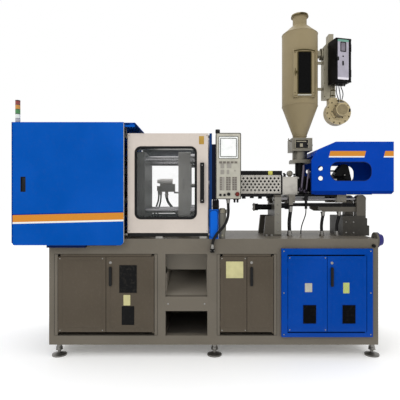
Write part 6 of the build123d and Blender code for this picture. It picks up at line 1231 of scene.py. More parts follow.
@dataclass(frozen=True)
class CabinetBase(Assembly):
    """Base cabinets: bare labels, locks, screws, foot nuts, door gaskets, vent rims, seams and drip tray."""

    grey_front: float = -0.556
    blue_front: float = -0.585
    grey_z: Pair = (0.253, 1.000)
    blue_z: Pair = (0.266, 1.012)
    lock_z: float = 0.945
    foot_x: tuple[float, ...] = (-1.541, 0.031, 1.626)
    foot_y: float = 0.494
    nut_height: float = 0.088
    lip_front: float = -0.550
    seal_depth: float = 0.008
    bays_x: tuple[Pair, ...] = ((-1.573, -0.541), (0.054, 0.652))
    bay_z: Pair = (0.218, 1.029)
    seam_y: float = -0.5505
    tray_x: Pair = (-1.56, 1.64)
    tray_y: Pair = (-0.49, 0.49)
    tray_z: Pair = (0.150, 0.153)
    tray_rim: float = 0.160

    def build(self) -> None:
        """Make the pieces of the doors, then those of the frame."""
        self._labels()
        self._locks()
        self._screws_and_feet()
        self._seals()
        self._vent_rims()
        self._frame()

    def _labels(self) -> None:
        """Make the bare plates on the doors."""
        grey, blue = self.grey_front, self.blue_front
        for label in (
            ("left_door_tag", (-0.880, -0.812), (0.517, 0.622), grey, "label_pale", Body.LEFT_DOOR),
            ("left_door_lower_plate", (-0.898, -0.772), (0.322, 0.510), grey, "black_metal", Body.LEFT_DOOR),
            ("middle_leaf_plate", (0.144, 0.316), (0.790, 0.956), grey, "label_pale"),
            ("blue_leaf_plate", (0.924, 0.996), (0.657, 0.745), blue, "panel_white"),
            ("blue_door_plate", (1.303, 1.365), (0.645, 0.750), blue, "label_green", Body.BLUE_DOOR),
        ):
            self.label(*label)

    def _locks(self) -> None:
        """Make a keyhole cylinder above every lever, with its dark rim and slot."""
        for name, x, front, body in (
            ("left_lock", -1.0095, self.grey_front, Body.LEFT_DOOR),
            ("middle_lock", 0.3985, self.grey_front, Body.MIDDLE_DOOR),
            ("blue_lock", 1.1925, self.blue_front, Body.BLUE_DOOR),
        ):
            rim = [(0.014, 0.0), (0.014, -0.003), (0.0125, -0.0045)]
            rim += [(0.010, -0.0045), (0.009, -0.003), (0.0, -0.003)]
            lock = Surface().turned((x, front, self.lock_z), Axis.Y, rim, 22)
            slot_y, slot_z = (front - 0.0042, front - 0.002), about(self.lock_z, 0.005)
            lock.pad(about(x, 0.001), slot_y, slot_z, Axis.Y, 0.0008, 0.0002, 2)
            self.make(name, lock, "machined_steel", body)

    def _screws_and_feet(self) -> None:
        """Make the screws of the lip panel, strips and blue frame, and each foot's lock nut and collar."""
        screws = Surface().screws(grid((-0.435, -0.070), self.lip_front, 0.531), Axis.Y, 0.009, -0.005)
        screws.screws(grid((0.716, 1.577), self.blue_front, (0.235, 0.648, 1.062)), Axis.Y, 0.007, -0.004)
        strips = grid((-1.515, -1.090, 0.104, 0.336), self.grey_front, (0.268, 0.985))
        screws.screws(strips + grid((0.774, 1.128), self.blue_front, (0.282, 0.996)), Axis.Y, 0.006, -0.003)
        self.make("cabinet_screws", screws, "machined_steel")
        nuts = Surface()
        collar = [(0.034, -0.030), (0.036, -0.024), (0.030, -0.018), (0.034, -0.012), (0.028, -0.004)]
        for place in grid(self.foot_x, (-self.foot_y, self.foot_y), self.nut_height):
            nuts.hexagons(place, Axis.Z, 0.046, 0.020).turned(place, Axis.Z, collar, 28)
        self.make("foot_nuts", nuts, "machined_steel")

    def _seals(self) -> None:
        """Make the thin dark seal that shows round every leaf, behind its skin."""
        grey = (self.grey_z, self.grey_front + self.seal_depth)
        blue = (self.blue_z, self.blue_front + self.seal_depth)
        for name, x, (z, y), body in (
            ("left_fixed_gasket", (-1.535, -1.058), grey, Body.BASE),
            ("left_door_gasket", (-1.052, -0.578), grey, Body.LEFT_DOOR),
            ("middle_fixed_gasket", (0.089, 0.350), grey, Body.BASE),
            ("middle_door_gasket", (0.356, 0.616), grey, Body.MIDDLE_DOOR),
            ("blue_fixed_gasket", (0.759, 1.142), blue, Body.BASE),
            ("blue_door_gasket", (1.150, 1.534), blue, Body.BLUE_DOOR),
        ):
            self.make(name, Surface().frame(x, z, y, (0.004, 3), 0.0022, 6), "black_plastic", body)

    def _vent_rims(self) -> None:
        """Make the pressed rim round every louvred vent."""
        for name, vent, y, finish, body in (
            ("left_vent_rim", LEFT_VENT, self.grey_front, "panel_grey", Body.LEFT_DOOR),
            ("blue_leaf_vent_rim", BLUE_VENTS[0], self.blue_front, "cabinet_blue", Body.BASE),
            ("blue_door_vent_rim", BLUE_VENTS[1], self.blue_front, "cabinet_blue", Body.BLUE_DOOR),
        ):
            self.make(name, Surface().frame(*vent, y - 0.001, (0.006, 4), 0.004, flat=0.6), finish, body)

    def _frame(self) -> None:
        """Make the seams round both grey bays, and the tray that closes the base from below, with its rim."""
        seams = Surface()
        for x in self.bays_x:
            seams.frame(x, self.bay_z, self.seam_y, (0.004, 3), 0.0016, 6)
        self.make("bay_seams", seams, "black_plastic")
        (left, right), (near, far) = self.tray_x, self.tray_y
        tray = Surface().pad(self.tray_x, self.tray_y, self.tray_z, Axis.Z, 0.02, 0.001)
        corners = ((left, near), (right, near), (right, far), (left, far))
        rim = np.array([(*corner, self.tray_rim) for corner in corners])
        self.make("drip_tray", tray.swept(rim, 0.010, 6, closed=True), "tray_grey")


@dataclass(frozen=True)
class ClampGuards(Assembly):
    """Clamp end: the sliding guard's edge strip of painted highlight, its foot seal and grip, roof screws,
    and the stack light's ends.
    """

    front: float = -0.620
    grip_x: Pair = (-1.880, -1.830)
    grip_z: Pair = (1.650, 1.799)
    lamp: Pair = (-1.934, -0.558)
    lamp_foot: float = 2.3365
    lamp_cap: float = 2.553
    roof: float = 2.336

    def build(self) -> None:
        """Make every piece of the clamp end."""
        # A pale strip down the guard's right edge: a painted highlight where the edge catches the light
        strip = Surface().pad((-0.8715, -0.866), (-0.6195, -0.588), (1.150, 2.326), Axis.Z, 0.0015, 0.001)
        self.make("guard_edge_highlight", strip, "panel_white", Body.GUARD)
        lip = Surface().pad((-1.60, -0.94), (-0.6195, -0.600), (1.1215, 1.1285), Axis.X, 0.002, 0.001)
        self.make("guard_foot_seal", lip, "black_plastic", Body.GUARD)
        liner = Surface().frame(self.grip_x, self.grip_z, self.front + 0.0024, (0.012, 6), 0.0045, flat=0.5)
        dish = (self.front + 0.008, self.front + 0.013)
        liner.pad(inset(self.grip_x, 0.001), dish, inset(self.grip_z, 0.001), Axis.Y, 0.010, 0.002)
        self.make("guard_grip_liner", liner, "black_plastic", Body.GUARD)
        edges = grid(np.linspace(-1.93, -0.80, 7), (-0.572, 0.582), self.roof)
        self.make("roof_screws", Surface().screws(edges, Axis.Z, 0.007, 0.003), "machined_steel")
        base = [(0.023, 0.0), (0.0238, 0.004), (0.0238, 0.010)]
        base += [(0.016, 0.016), (0.012, 0.018), (0.012, 0.040)]
        foot = Surface().turned((*self.lamp, self.lamp_foot), Axis.Z, base, 28)
        self.make("stack_light_foot", foot, "pad_grey")
        dome = [(0.0242, 0.0), (0.0242, 0.006), (0.020, 0.0105), (0.012, 0.0125), (0.0, 0.013)]
        cap = Surface().turned((*self.lamp, self.lamp_cap), Axis.Z, dome, 28)
        self.make("stack_light_cap", cap, "black_plastic")


@dataclass(frozen=True)
class Gates(Assembly):
    """Both sliding gates: window gaskets, bottom brush, corner screws, handle caps and bare tag."""

    x: Pair = (-0.846, -0.031)
    z: Pair = (1.238, 2.238)
    window_x: Pair = (-0.763, -0.155)
    window_z: Pair = (1.384, 2.100)
    front: float = -0.545
    handle_x: float = -0.0945
    handle_z: Pair = (1.566, 1.915)
    cap_front: float = -0.5885
    bolt_front: float = -0.5955

    def build(self) -> None:
        """Make the pieces of the front gate, of the rear one, and of the handle."""
        self._gate("front", 1, Body.FRONT_GATE)
        self._gate("rear", -1, Body.REAR_GATE)
        dome = [(0.0215, 0.004), (0.0215, -0.002), (0.019, -0.0055), (0.010, -0.0075), (0.0, -0.008)]
        caps = Surface().turned(grid(self.handle_x, self.cap_front, self.handle_z), Axis.Y, dome, 24)
        self.make("gate_handle_caps", caps, "black_plastic", Body.FRONT_GATE)
        bolts = Surface().screws(grid(self.handle_x, self.bolt_front, self.handle_z), Axis.Y, 0.006, -0.0022)
        self.make("gate_handle_screws", bolts, "machined_steel", Body.FRONT_GATE)
        self.label("gate_tag", (-0.126, -0.076), (2.128, 2.210), self.front, "label_gold", Body.FRONT_GATE)

    def _gate(self, tag: str, side: int, body: Body) -> None:
        """Make one gate's rubber channel round the pane, its brush with a clamping bar, and its screws.

        Args:
            tag: First word of the pieces' names.
            side: 1 for the operator's side, -1 for the back.
            body: The gate's body.
        """
        face = side * (self.front - 0.001)
        seal = Surface().frame(self.window_x, self.window_z, face, (0.055, 10), 0.0085, 10, 0.55)
        lip_x, lip_z = inset(self.window_x, 0.009), inset(self.window_z, 0.009)
        seal.frame(lip_x, lip_z, face + side * 0.003, (0.046, 10), 0.006, flat=0.6)
        self.make(f"{tag}_window_gasket", seal, "black_plastic", body)
        width = inset(self.x, 0.004)
        bristles = (side * self.front, side * (self.front + 0.004))
        strip = Surface().pad(width, bristles, (1.206, 1.2385), Axis.X, 0.0015, 0.001)
        bar = (side * (self.front - 0.002), side * (self.front + 0.001))
        strip.pad(width, bar, (1.230, 1.240), Axis.X, 0.001, 0.0008)
        self.make(f"{tag}_gate_brush", strip, "black_plastic", body)
        corners = grid((self.x[0] + 0.020, self.x[1] - 0.016), side * self.front, inset(self.z, 0.022))
        screws = Surface().screws(corners, Axis.Y, 0.006, side * -0.003)
        self.make(f"{tag}_gate_screws", screws, "machined_steel", body)


@dataclass(frozen=True)
class ControlPanel(Assembly):
    """Operator's panel: dark rims, screen bezels, membrane icons, key pads, control collars and glands."""

    x: Pair = (0.042, 0.294)
    z: Pair = (1.578, 2.240)
    front: float = -0.560
    middle_y: float = -0.520
    bezels: tuple[tuple[Pair, Pair, float], ...] = (
        ((0.0720, 0.2640), (1.984, 2.204), 0.0026),
        ((0.0880, 0.2480), (2.002, 2.186), 0.0030),
    )
    pads: tuple[Pair, ...] = ((0.079, 0.129), (0.141, 0.191), (0.203, 0.253))
    pad_z: Pair = (1.664, 1.800)
    icons: tuple[tuple[Pair, Pair], ...] = (
        ((0.088, 0.126), (1.886, 1.936)),
        ((0.088, 0.126), (1.826, 1.872)),
        ((0.150, 0.198), (1.886, 1.936)),
        ((0.150, 0.176), (1.826, 1.872)),
    )
    stop: Pair = (0.256, 1.628)
    selector_x: Pair = (0.088, 0.128)
    selector_z: float = 1.620

    def build(self) -> None:
        """Make every piece of the panel."""
        self._face()
        self._controls()
        self._glands()

    def _face(self) -> None:
        """Make the housing's seal, the loops round the screen, the icons with their dot, and the key pads."""
        width, height = inset(self.x, 0.004), inset(self.z, 0.004)
        rim = Surface().frame(width, height, self.front + 0.001, (0.008, 6), 0.004, flat=0.5)
        self.make("panel_edge_seal", rim, "black_plastic")
        bezel = Surface()
        for x, z, radius in self.bezels:
            bezel.frame(x, z, self.front - 0.0006, (0.007, 5), radius, flat=0.6)
        self.make("screen_bezel", bezel, "bezel_grey")
        icons = Surface()
        for x, z in self.icons:
            icons.pad(x, (self.front - 0.0011, self.front), z, Axis.Y, 0.004, 0.0004)
        dot = [(0.008, 0.0), (0.0075, -0.0016), (0.0, -0.0024)]
        icons.turned((0.232, self.front, 1.862), Axis.Y, dot, 20)
        self.make("membrane_icons", icons, "pad_grey")
        pads = Surface()
        for x in self.pads:
            pads.pad(x, (self.front - 0.0010, self.front), self.pad_z, Axis.Y, 0.004, 0.0004)
        self.make("key_pads", pads, "pad_grey")

    def _controls(self) -> None:
        """Make the collar of the stop button and two small rotary switches, each with its bar."""
        ring = [(0.0125, 0.0), (0.0225, 0.0), (0.0225, -0.004), (0.019, -0.0065), (0.0125, -0.0065)]
        collar = Surface().turned((self.stop[0], self.front, self.stop[1]), Axis.Y, ring, 32)
        self.make("stop_collar", collar, "black_plastic")
        switches = Surface()
        base = [(0.013, 0.0), (0.013, -0.003), (0.0105, -0.005)]
        base += [(0.0105, -0.012), (0.009, -0.014), (0.0, -0.014)]
        bar_y, bar_z = (self.front - 0.019, self.front - 0.012), about(self.selector_z, 0.009)
        for x in self.selector_x:
            switches.turned((x, self.front, self.selector_z), Axis.Y, base, 26)
            switches.pad(about(x, 0.002), bar_y, bar_z, Axis.Y, 0.0018, 0.0008)
        self.make("panel_switches", switches, "black_plastic")

    def _glands(self) -> None:
        """Make the two cable glands under the housing and the ribbed cap of the knob on its top."""
        glands = Surface()
        stem = [(0.009, 0.0), (0.009, -0.018), (0.0105, -0.020)]
        stem += [(0.0105, -0.030), (0.006, -0.034), (0.0, -0.034)]
        for place in grid((0.262, 0.232), self.middle_y, self.z[0]):
            glands.hexagons(place, Axis.Z, 0.022, -0.012).turned(place, Axis.Z, stem, 18)
        cap = [(0.0224, 0.0), (0.0235, 0.003), (0.0235, 0.010), (0.0224, 0.012)]
        glands.turned(grid(0.062, self.middle_y, (2.246, 2.260)), Axis.Z, cap, 30)
        self.make("panel_glands", glands, "black_plastic")


@dataclass(frozen=True)
class GateSideEquipment(Assembly):
    """Beside the gate: the switch box's lid, screws and plug, the filter bowl's head, and the gland's nut."""

    box_x: Pair = (-0.021, 0.066)
    box_front: float = -0.560
    bowl: Pair = (0.109, -0.500)

    def build(self) -> None:
        """Make the box's seam and screws, its plug with levers, the bowl's head and the gland's nut."""
        width = inset(self.box_x, 0.006)
        seam = Surface().frame(width, (1.192, 1.466), self.box_front, (0.006, 4), 0.0022, 6, 0.6)
        seam.screws(grid(inset(self.box_x, 0.014), self.box_front, (1.202, 1.456)), Axis.Y, 0.0045, -0.0025)
        self.make("switch_box_lid", seam, "black_metal")
        plug = Surface()
        for x in (0.016, 0.058):
            lever = [(x, -0.556, 1.482), (x, -0.561, 1.490), (x, -0.561, 1.525), (x, -0.556, 1.535)]
            plug.swept(np.array(lever), 0.0035)
        plug.pad((0.004, 0.078), (-0.559, -0.508), (1.506, 1.512), Axis.Z, 0.004, 0.001)
        gland = [(0.0085, 0.0), (0.0085, 0.010), (0.006, 0.014), (0.006, 0.024)]
        plug.turned(grid((0.022, 0.041, 0.060), -0.532, 1.568), Axis.Z, gland, 16)
        self.make("switch_box_plug", plug, "black_plastic")
        x, y = self.bowl
        rib = [(0.0462, 0.0), (0.0478, 0.002), (0.0478, 0.006), (0.0462, 0.008)]
        head = Surface().turned(grid(x, y, (1.441, 1.453, 1.465)), Axis.Z, rib, 36)
        head.turned((x, y, 1.475), Axis.Z, [(0.030, 0.0), (0.030, 0.006), (0.024, 0.012), (0.0, 0.014)], 30)
        head.turned((x, y - 0.030, 1.215), Axis.Y, [(0.008, 0.0), (0.008, -0.008), (0.0, -0.009)], 18)
        self.make("filter_bowl_head", head, "duct_grey")
        nut = Surface().hexagons((0.007, -0.578, 1.088), Axis.Z, 0.036, 0.008)
        nut.screws(grid((-0.009, 0.023), -0.600, 1.069), Axis.Y, 0.004, -0.0025)
        self.make("conduit_gland_nut", nut, "machined_steel")


@dataclass(frozen=True)
class InjectionUnit(Assembly):
    """Injection end: tag and trunk of the barrel guard, couplings, bolts, nuts, cover trim and screws."""

    body: Body = Body.CARRIAGE
    guard_front: float = -0.130
    window_x: Pair = (1.284, 1.728)
    window_z: Pair = (1.776, 1.980)
    window_corner: float = 0.085
    hole_x: float = 1.180
    hole_z: tuple[float, ...] = (1.803, 1.910)
    deck: float = 1.182
    bush_y: float = 0.215
    bush_z: float = 1.566
    support_y: float = 0.220
    anchor_y: float = 0.240
    cover_y: float = 0.250
    cover_z: Pair = (1.648, 2.174)
    edging_y: float = 0.2485
    rod_x: Pair = (0.691, 1.679)
    rod_y: float = 0.175
    rod_z: float = 1.581
    cylinder_z: float = 1.491
    motor_z: float = 1.735
    throat_top: float = 1.827

    def build(self) -> None:
        """Make every piece of the injection end."""
        self.label("duct_tag", (0.643, 0.690), (1.849, 1.893), -0.100, "label_yellow")
        self._trunking()
        self._throat()
        self._couplings()
        self._carriage_bolts()
        self._support_bolts()
        self._cover()
        self._motor()

    def _trunking(self) -> None:
        """Make the black cable trunk under the barrel guard, with the clips that hang from it."""
        trunk = Surface().pad((0.066, 0.770), (-0.126, -0.078), (1.606, 1.6415), Axis.X, 0.006, 0.002)
        for index, x in enumerate(np.linspace(0.100, 0.730, 8).tolist()):
            bottom = 1.600 - (0.010 + 0.006 * (index % 2))
            trunk.pad(about(x, 0.020), (-0.122, -0.084), (bottom, 1.608), Axis.X, 0.012, 0.002)
        self.make("guard_trunking", trunk, "black_plastic")
        edges = grid(np.linspace(0.085, 0.760, 6), self.guard_front, (1.6505, 1.8365))
        screws = Surface().screws(edges, Axis.Y, 0.0045, -0.0025)
        self.make("barrel_guard_screws", screws, "machined_steel")

    def _throat(self) -> None:
        """Make the round fitting and the knobs on top of the throat cover, and its screws."""
        disc = [(0.030, 0.020), (0.033, 0.014), (0.033, -0.010), (0.024, -0.018)]
        disc += [(0.012, -0.020), (0.012, -0.030), (0.0, -0.030)]
        stub = [(0.018, 0.0), (0.018, 0.006), (0.012, 0.010), (0.012, 0.030)]
        fitting = Surface().turned((0.888, -0.070, 1.866), Axis.Y, disc, 32)
        fitting.turned((0.888, -0.066, 1.826), Axis.Z, stub)
        fitting.screws(grid((0.868, 0.908), -0.081, 1.866), Axis.Y, 0.005, -0.003)
        self.make("throat_fitting", fitting, "magnet_finish")
        knobs = Surface()
        for x, y, top in ((0.820, -0.090, 0.044), (0.845, -0.030, 0.036), (0.936, -0.080, 0.038)):
            stem = [(0.012, 0.0), (0.012, 0.008), (0.007, 0.010), (0.007, top - 0.016), (0.013, top - 0.014)]
            stem += [(0.013, top - 0.003), (0.009, top), (0.0, top)]
            knobs.turned((x, y, self.throat_top), Axis.Z, stem, 20)
        self.make("throat_knobs", knobs, "black_plastic")
        screws = Surface().screws(grid((0.812, 0.945), -0.128, (1.645, 1.812)), Axis.Y, 0.005, -0.003)
        self.make("throat_cover_screws", screws, "machined_steel")

    def _couplings(self) -> None:
        """Make the two cooling pipes on the feed block, with their hexagon couplings, and its bolts."""
        pipes = Surface()
        turn = np.linspace(0, np.pi / 2, 7)
        for x, low, high in ((1.002, 1.690, 1.950), (1.056, 1.668, 1.905)):
            bend_y, bend_z = -0.150 + 0.030 * (1 - np.sin(turn)), low + 0.030 * (1 - np.cos(turn))
            bend = np.stack([np.full(7, x), bend_y, bend_z], axis=1)
            rise = [(x + 0.010, -0.150, low + 0.120), (x + 0.026, -0.142, high - 0.030)]
            path = np.concatenate([[(x, -0.108, low)], bend, rise, [(x + 0.030, -0.120, high)]])
            pipes.swept(path, 0.0125, 14)
            pipes.hexagons((x, -0.110, low), Axis.Y, 0.034, -0.014)
        self.make("cooling_pipes", pipes, "pipe_violet")
        bolts = Surface().hexagons(grid((0.972, 1.088), -0.110, (1.655, 1.815)), Axis.Y, 0.017, -0.009)
        self.make("feed_block_bolts", bolts, "machined_steel")

    def _carriage_bolts(self) -> None:
        """Make the cap screws on the four bushes and the wiper rings at their ends."""
        bolts, wipers = Surface(), Surface()
        for side in (-1, 1):
            bushes = grid((0.862, 0.898, 1.388, 1.420, 1.452), side * self.bush_y, self.bush_z)
            bolts.screws(bushes, Axis.Y, 0.0065, side * 0.005)
            for x, sign in ((0.915, 1), (1.370, -1), (1.470, 1)):
                ring = [(0.0208, 0.0), (0.031, 0.0), (0.031, sign * 0.003), (0.026, sign * 0.005)]
                ring += [(0.0208, sign * 0.005)]
                wipers.turned((x, side * self.rod_y, self.rod_z), Axis.X, ring, 32)
        self.make("carriage_bolts", bolts, "machined_steel")
        self.make("rod_wipers", wipers, "pad_grey")

    def _support_bolts(self) -> None:
        """Make the supports' anchor bolts and cap screws, the rods' end nuts and the cylinder's flange."""
        bolts = Surface()
        for side in (-1, 1):
            bolts.hexagons(grid((0.600, 0.655), side * self.anchor_y, self.deck), Axis.Z, 0.026, 0.016)
            front = grid(0.728, side * self.support_y, (1.240, 1.330, 1.420, 1.520))
            bolts.screws(front, Axis.Y, 0.008, side * 0.005)
            for z in (1.215, 1.330):
                bolts.screws(grid((1.466, 1.546), side * self.support_y, z), Axis.Y, 0.009, side * 0.006)
            bolts.hexagons((self.rod_x[0], side * self.rod_y, self.rod_z), Axis.X, 0.044, -0.014)
            bolts.hexagons((self.rod_x[1], side * self.rod_y, self.rod_z), Axis.X, 0.044, 0.014)
        self.make("support_bolts", bolts, "machined_steel", Body.BASE)
        ring = [(0.020, 0.0), (0.046, 0.0), (0.046, -0.010), (0.042, -0.013), (0.020, -0.013)]
        flange = Surface().turned((0.502, 0.0, self.cylinder_z), Axis.X, ring, 32)
        rim = circle((0.489, 0.0, self.cylinder_z), Axis.X, 0.033, 4, np.pi / 4)
        flange.hexagons(rim, Axis.X, 0.012, -0.007)
        self.make("traverse_cylinder_head", flange, "pad_grey", Body.BASE)

    def _cover(self) -> None:
        """Make the rubber edging of the cover's windows and holes, and the screws along its edges."""
        trim, screws = Surface(), Surface()
        for side in (-1, 1):
            y = side * self.edging_y
            trim.frame(self.window_x, self.window_z, y, (self.window_corner, 10), 0.0034, flat=0.8)
            for z in self.hole_z:
                trim.swept(circle((self.hole_x, y, z), Axis.Y, 0.027, 28), 0.003, closed=True)
            edges = grid((1.320, 1.520, 1.720, 1.920), side * self.cover_y, self.cover_z[1])
            edges += grid((1.130, 1.300, 1.500), side * self.cover_y, self.cover_z[0])
            screws.screws(edges, Axis.Y, 0.006, side * 0.003)
        self.make("cover_edging", trim, "trim_blue")
        self.make("cover_screws", screws, "cover_blue")

    def _motor(self) -> None:
        """Make the cap, the bolts and the cooling ribs of the screw motor, seen through the window."""
        rib = [(0.119, 0.0), (0.1235, 0.003), (0.1235, 0.009), (0.119, 0.012)]
        cap = [(0.022, 0.0), (0.022, -0.008), (0.015, -0.012), (0.0, -0.012)]
        motor = Surface().turned(grid((1.400, 1.425, 1.450), 0.0, self.motor_z), Axis.X, rib, 48)
        motor.turned((1.505, -0.060, 1.850), Axis.Y, cap, 26)
        self.make("motor_ribs", motor, "black_metal", Body.DRIVE)
        rim = circle((1.485, 0.0, self.motor_z), Axis.X, 0.098, 8, np.pi / 8)
        bolts = Surface().hexagons(rim, Axis.X, 0.016, 0.008)
        bolts.screws((1.505, -0.072, 1.850), Axis.Y, 0.009, -0.004)
        self.make("motor_bolts", bolts, "machined_steel", Body.DRIVE)


@dataclass(frozen=True)
class HopperDryer(Assembly):
    """Hopper dryer: clamps, door trim with strips of painted shade, latch, magnet drawer, flanges, bands,
    blower and control box.
    """

    body: Body = Body.CARRIAGE
    centre: Pair = (1.018, 0.0)
    lid_z: float = 3.641
    seams_z: Pair = (3.438, 2.628)
    neck_z: float = 2.290
    throat_plate_z: float = 2.021
    casing_screws_z: tuple[float, ...] = (2.745, 2.900, 3.050)
    box: Point = (1.444, -0.072, 0.0)
    box_yaw: float = 13.0
    box_front: float = -0.083
    blower: Point = (1.459, 0.050, 2.571)
    blower_wall: float = 0.052
    riser: Pair = (1.400, 0.050)
    riser_bands_z: Pair = (2.822, 2.760)
    air_inlet: Point = (1.2655, 0.050, 3.242)

    def build(self) -> None:
        """Make every piece of the dryer."""
        self._lid_and_bands()
        self._door()
        self._magnet()
        self._flange()
        self._blower()
        self._control_box()

    def _lid_and_bands(self) -> None:
        """Make the lid's clamp band and toggle, the hopper's welded seams and the riser's clamp bands."""
        x, y = self.centre
        hoop = [(0.094, 0.0), (0.0972, 0.002), (0.0972, 0.010), (0.094, 0.012)]
        band = Surface().turned((x, y, self.lid_z), Axis.Z, hoop, 48)
        band.pad(about(x, 0.016), (-0.108, -0.095), (3.642, 3.658), Axis.Y, 0.004, 0.002)
        lever = [(x - 0.010, -0.110, 3.650), (x + 0.030, -0.108, 3.650), (x + 0.052, -0.097, 3.647)]
        self.make("lid_clamp", band.swept(np.array(lever), 0.004), "hinge_olive")
        bead = [(0.1978, -0.004), (0.2006, -0.002), (0.2006, 0.002), (0.1978, 0.004)]
        neck = [(0.074, -0.006), (0.080, -0.004), (0.080, 0.003), (0.075, 0.006)]
        seams = Surface().turned(grid(x, y, self.seams_z), Axis.Z, bead, 64)
        self.make("hopper_seams", seams.turned((x, y, self.neck_z), Axis.Z, neck, 48), "hopper_cream")
        clamps = Surface()
        x, y = self.riser
        hoop = [(0.040, -0.007), (0.0425, -0.005), (0.0425, 0.005), (0.040, 0.007)]
        for level in self.riser_bands_z:
            clamps.turned((x, y, level), Axis.Z, hoop, 36)
            lug_z = about(level, 0.006)
            clamps.pad(about(x, 0.010), (y - 0.052, y - 0.041), lug_z, Axis.Y, 0.003, 0.001)
            clamps.screws((x, y - 0.052, level), Axis.Y, 0.005, -0.003)
        self.make("riser_clamps", clamps, "hinge_olive")

    def _door(self) -> None:
        """Make the glass gasket, an arched strip of painted shade under the door's top edge, the sill, a
        strip of painted shadow along the hinge and the latch.
        """
        gasket = Surface().frame((0.945, 1.091), (2.724, 3.180), -0.2125, (0.010, 5), 0.0055)
        # The arched dark strip under the door's top edge is painted shade cast by that edge; it goes into the
        # gasket's piece
        turn = np.linspace(-1, 1, 13)
        arch = np.stack([1.018 + 0.112 * turn, np.full(13, -0.214), 3.203 - 0.017 * turn**2], axis=1)
        self.make("door_gasket", gasket.swept(arch, 0.0065), "hinge_olive", Body.HOPPER_HATCH)
        sill = Surface().pad((0.943, 1.093), (-0.2185, -0.2115), (2.703, 2.7175), Axis.Y, 0.003, 0.001)
        self.make("door_sill", sill, "panel_white", Body.HOPPER_HATCH)
        # A brown strip along the door's hinge edge: painted shadow in the gap at the hinge
        strip = Surface().pad((1.1275, 1.1340), (-0.2135, -0.2118), (2.712, 3.192), Axis.Y, 0.002, 0.0004)
        latch = [(0.912, -0.238, 2.990), (0.912, -0.243, 2.965)]
        latch += [(0.912, -0.243, 2.925), (0.912, -0.236, 2.912)]
        pivot = [(0.0135, 0.006), (0.0135, -0.002), (0.010, -0.005), (0.0, -0.005)]
        strip.swept(np.array(latch), 0.004).turned((0.922, -0.238, 2.952), Axis.Y, pivot, 22)
        for z in (2.735, 3.170):
            strip.screws(grid((0.915, 1.112), -0.212, z), Axis.Y, 0.005, -0.003)
        self.make("door_shade_strip_and_latch", strip, "hinge_olive", Body.HOPPER_HATCH)

    def _magnet(self) -> None:
        """Make the magnet drawer's window and handle, the box's hook and knob, and the throat's bolts."""
        window = Surface().pad((0.945, 1.080), (-0.1215, -0.1185), (2.146, 2.236), Axis.Y, 0.006, 0.001)
        self.make("drawer_window", window, "black_plastic")
        frame = Surface().frame((0.941, 1.084), (2.142, 2.240), -0.1205, (0.008, 5), 0.0036)
        frame.pad((0.990, 1.022), (-0.1250, -0.1205), (2.158, 2.196), Axis.Y, 0.004, 0.001)
        frame.pad((0.952, 1.060), (-0.1240, -0.1205), (2.214, 2.224), Axis.Y, 0.003, 0.001)
        frame.screws(grid((0.918, 1.118), -0.113, (2.128, 2.247)), Axis.Y, 0.006, -0.004)
        self.make("drawer_frame", frame, "duct_grey")
        curve = [(0.905, -0.060, 2.228), (0.886, -0.060, 2.236)]
        curve += [(0.874, -0.060, 2.248), (0.880, -0.060, 2.262)]
        knob = [(0.010, 0.0), (0.010, 0.008), (0.014, 0.012), (0.014, 0.020), (0.0, 0.022)]
        hook = Surface().swept(np.array(curve), 0.005).turned((1.131, -0.040, 2.186), Axis.X, knob, 22)
        for side in (-1, 1):
            hook.hexagons(grid((0.932, 1.104), side * 0.084, self.throat_plate_z), Axis.Z, 0.017, 0.010)
        self.make("throat_plate_bolts", hook, "hinge_olive")

    def _flange(self) -> None:
        """Make the gasket and bolts of the hot air flange, and the screws of the heater casing."""
        ring = [(0.030, 0.0), (0.064, 0.0), (0.064, 0.003), (0.030, 0.003)]
        flange = Surface().turned(self.air_inlet, Axis.X, ring, 40)
        for _, y, z in circle(self.air_inlet, Axis.X, 0.056, 8):
            flange.hexagons((1.268, y, z), Axis.X, 0.011, -0.006)
            flange.hexagons((1.280, y, z), Axis.X, 0.011, 0.006)
        flange.screws(grid(1.302, 0.0, self.casing_screws_z), Axis.Y, 0.005, -0.003)
        self.make("hot_air_flange_bolts", flange, "hinge_olive")

    def _blower(self) -> None:
        """Make the blower's rim bolts, the motor's fins and fan cover, and the terminal box's lid."""
        x, y, z = self.blower
        front = y - self.blower_wall
        bolts = Surface().hexagons(circle((x, front, z), Axis.Y, 0.128, 12, 0.1), Axis.Y, 0.012, -0.007)
        bolts.hexagons(circle((x, front - 0.012, z), Axis.Y, 0.079, 6), Axis.Y, 0.010, -0.005)
        self.make("blower_bolts", bolts, "hinge_olive")
        fin = [(0.0675, 0.0), (0.0720, -0.0008), (0.0720, -0.0028), (0.0675, -0.0036)]
        fins = Surface().turned(grid(x, front - 0.022 - np.arange(7) * 0.011, z), Axis.Y, fin, 44)
        cover = [(0.0675, 0.0), (0.0705, -0.002), (0.0705, -0.020), (0.062, -0.027), (0.0, -0.028)]
        fins.turned((x, front - 0.104, z), Axis.Y, cover, 44)
        for radius in (0.020, 0.034, 0.048):
            fins.swept(circle((x, front - 0.1325, z), Axis.Y, radius, 28), 0.0018, 6, closed=True)
        self.make("blower_motor_fins", fins, "hopper_cream")
        lid = Surface().pad(
            about(x, 0.032), (front - 0.102, front - 0.028), (z + 0.082, z + 0.0905), Axis.Z, 0.006, 0.002
        )
        lid.screws(grid(about(x, 0.026), front - 0.096, z + 0.0905), Axis.Z, 0.003, 0.002)
        self.make("terminal_box_lid", lid, "pad_grey")
        outline = [(0.0162, 0.0), (0.019, 0.003), (0.019, 0.018), (0.0162, 0.021)]
        knob = Surface().turned((x + 0.090, front - 0.060, z + 0.006), Axis.X, outline, 10)
        self.make("blower_knob_grip", knob, "black_plastic")

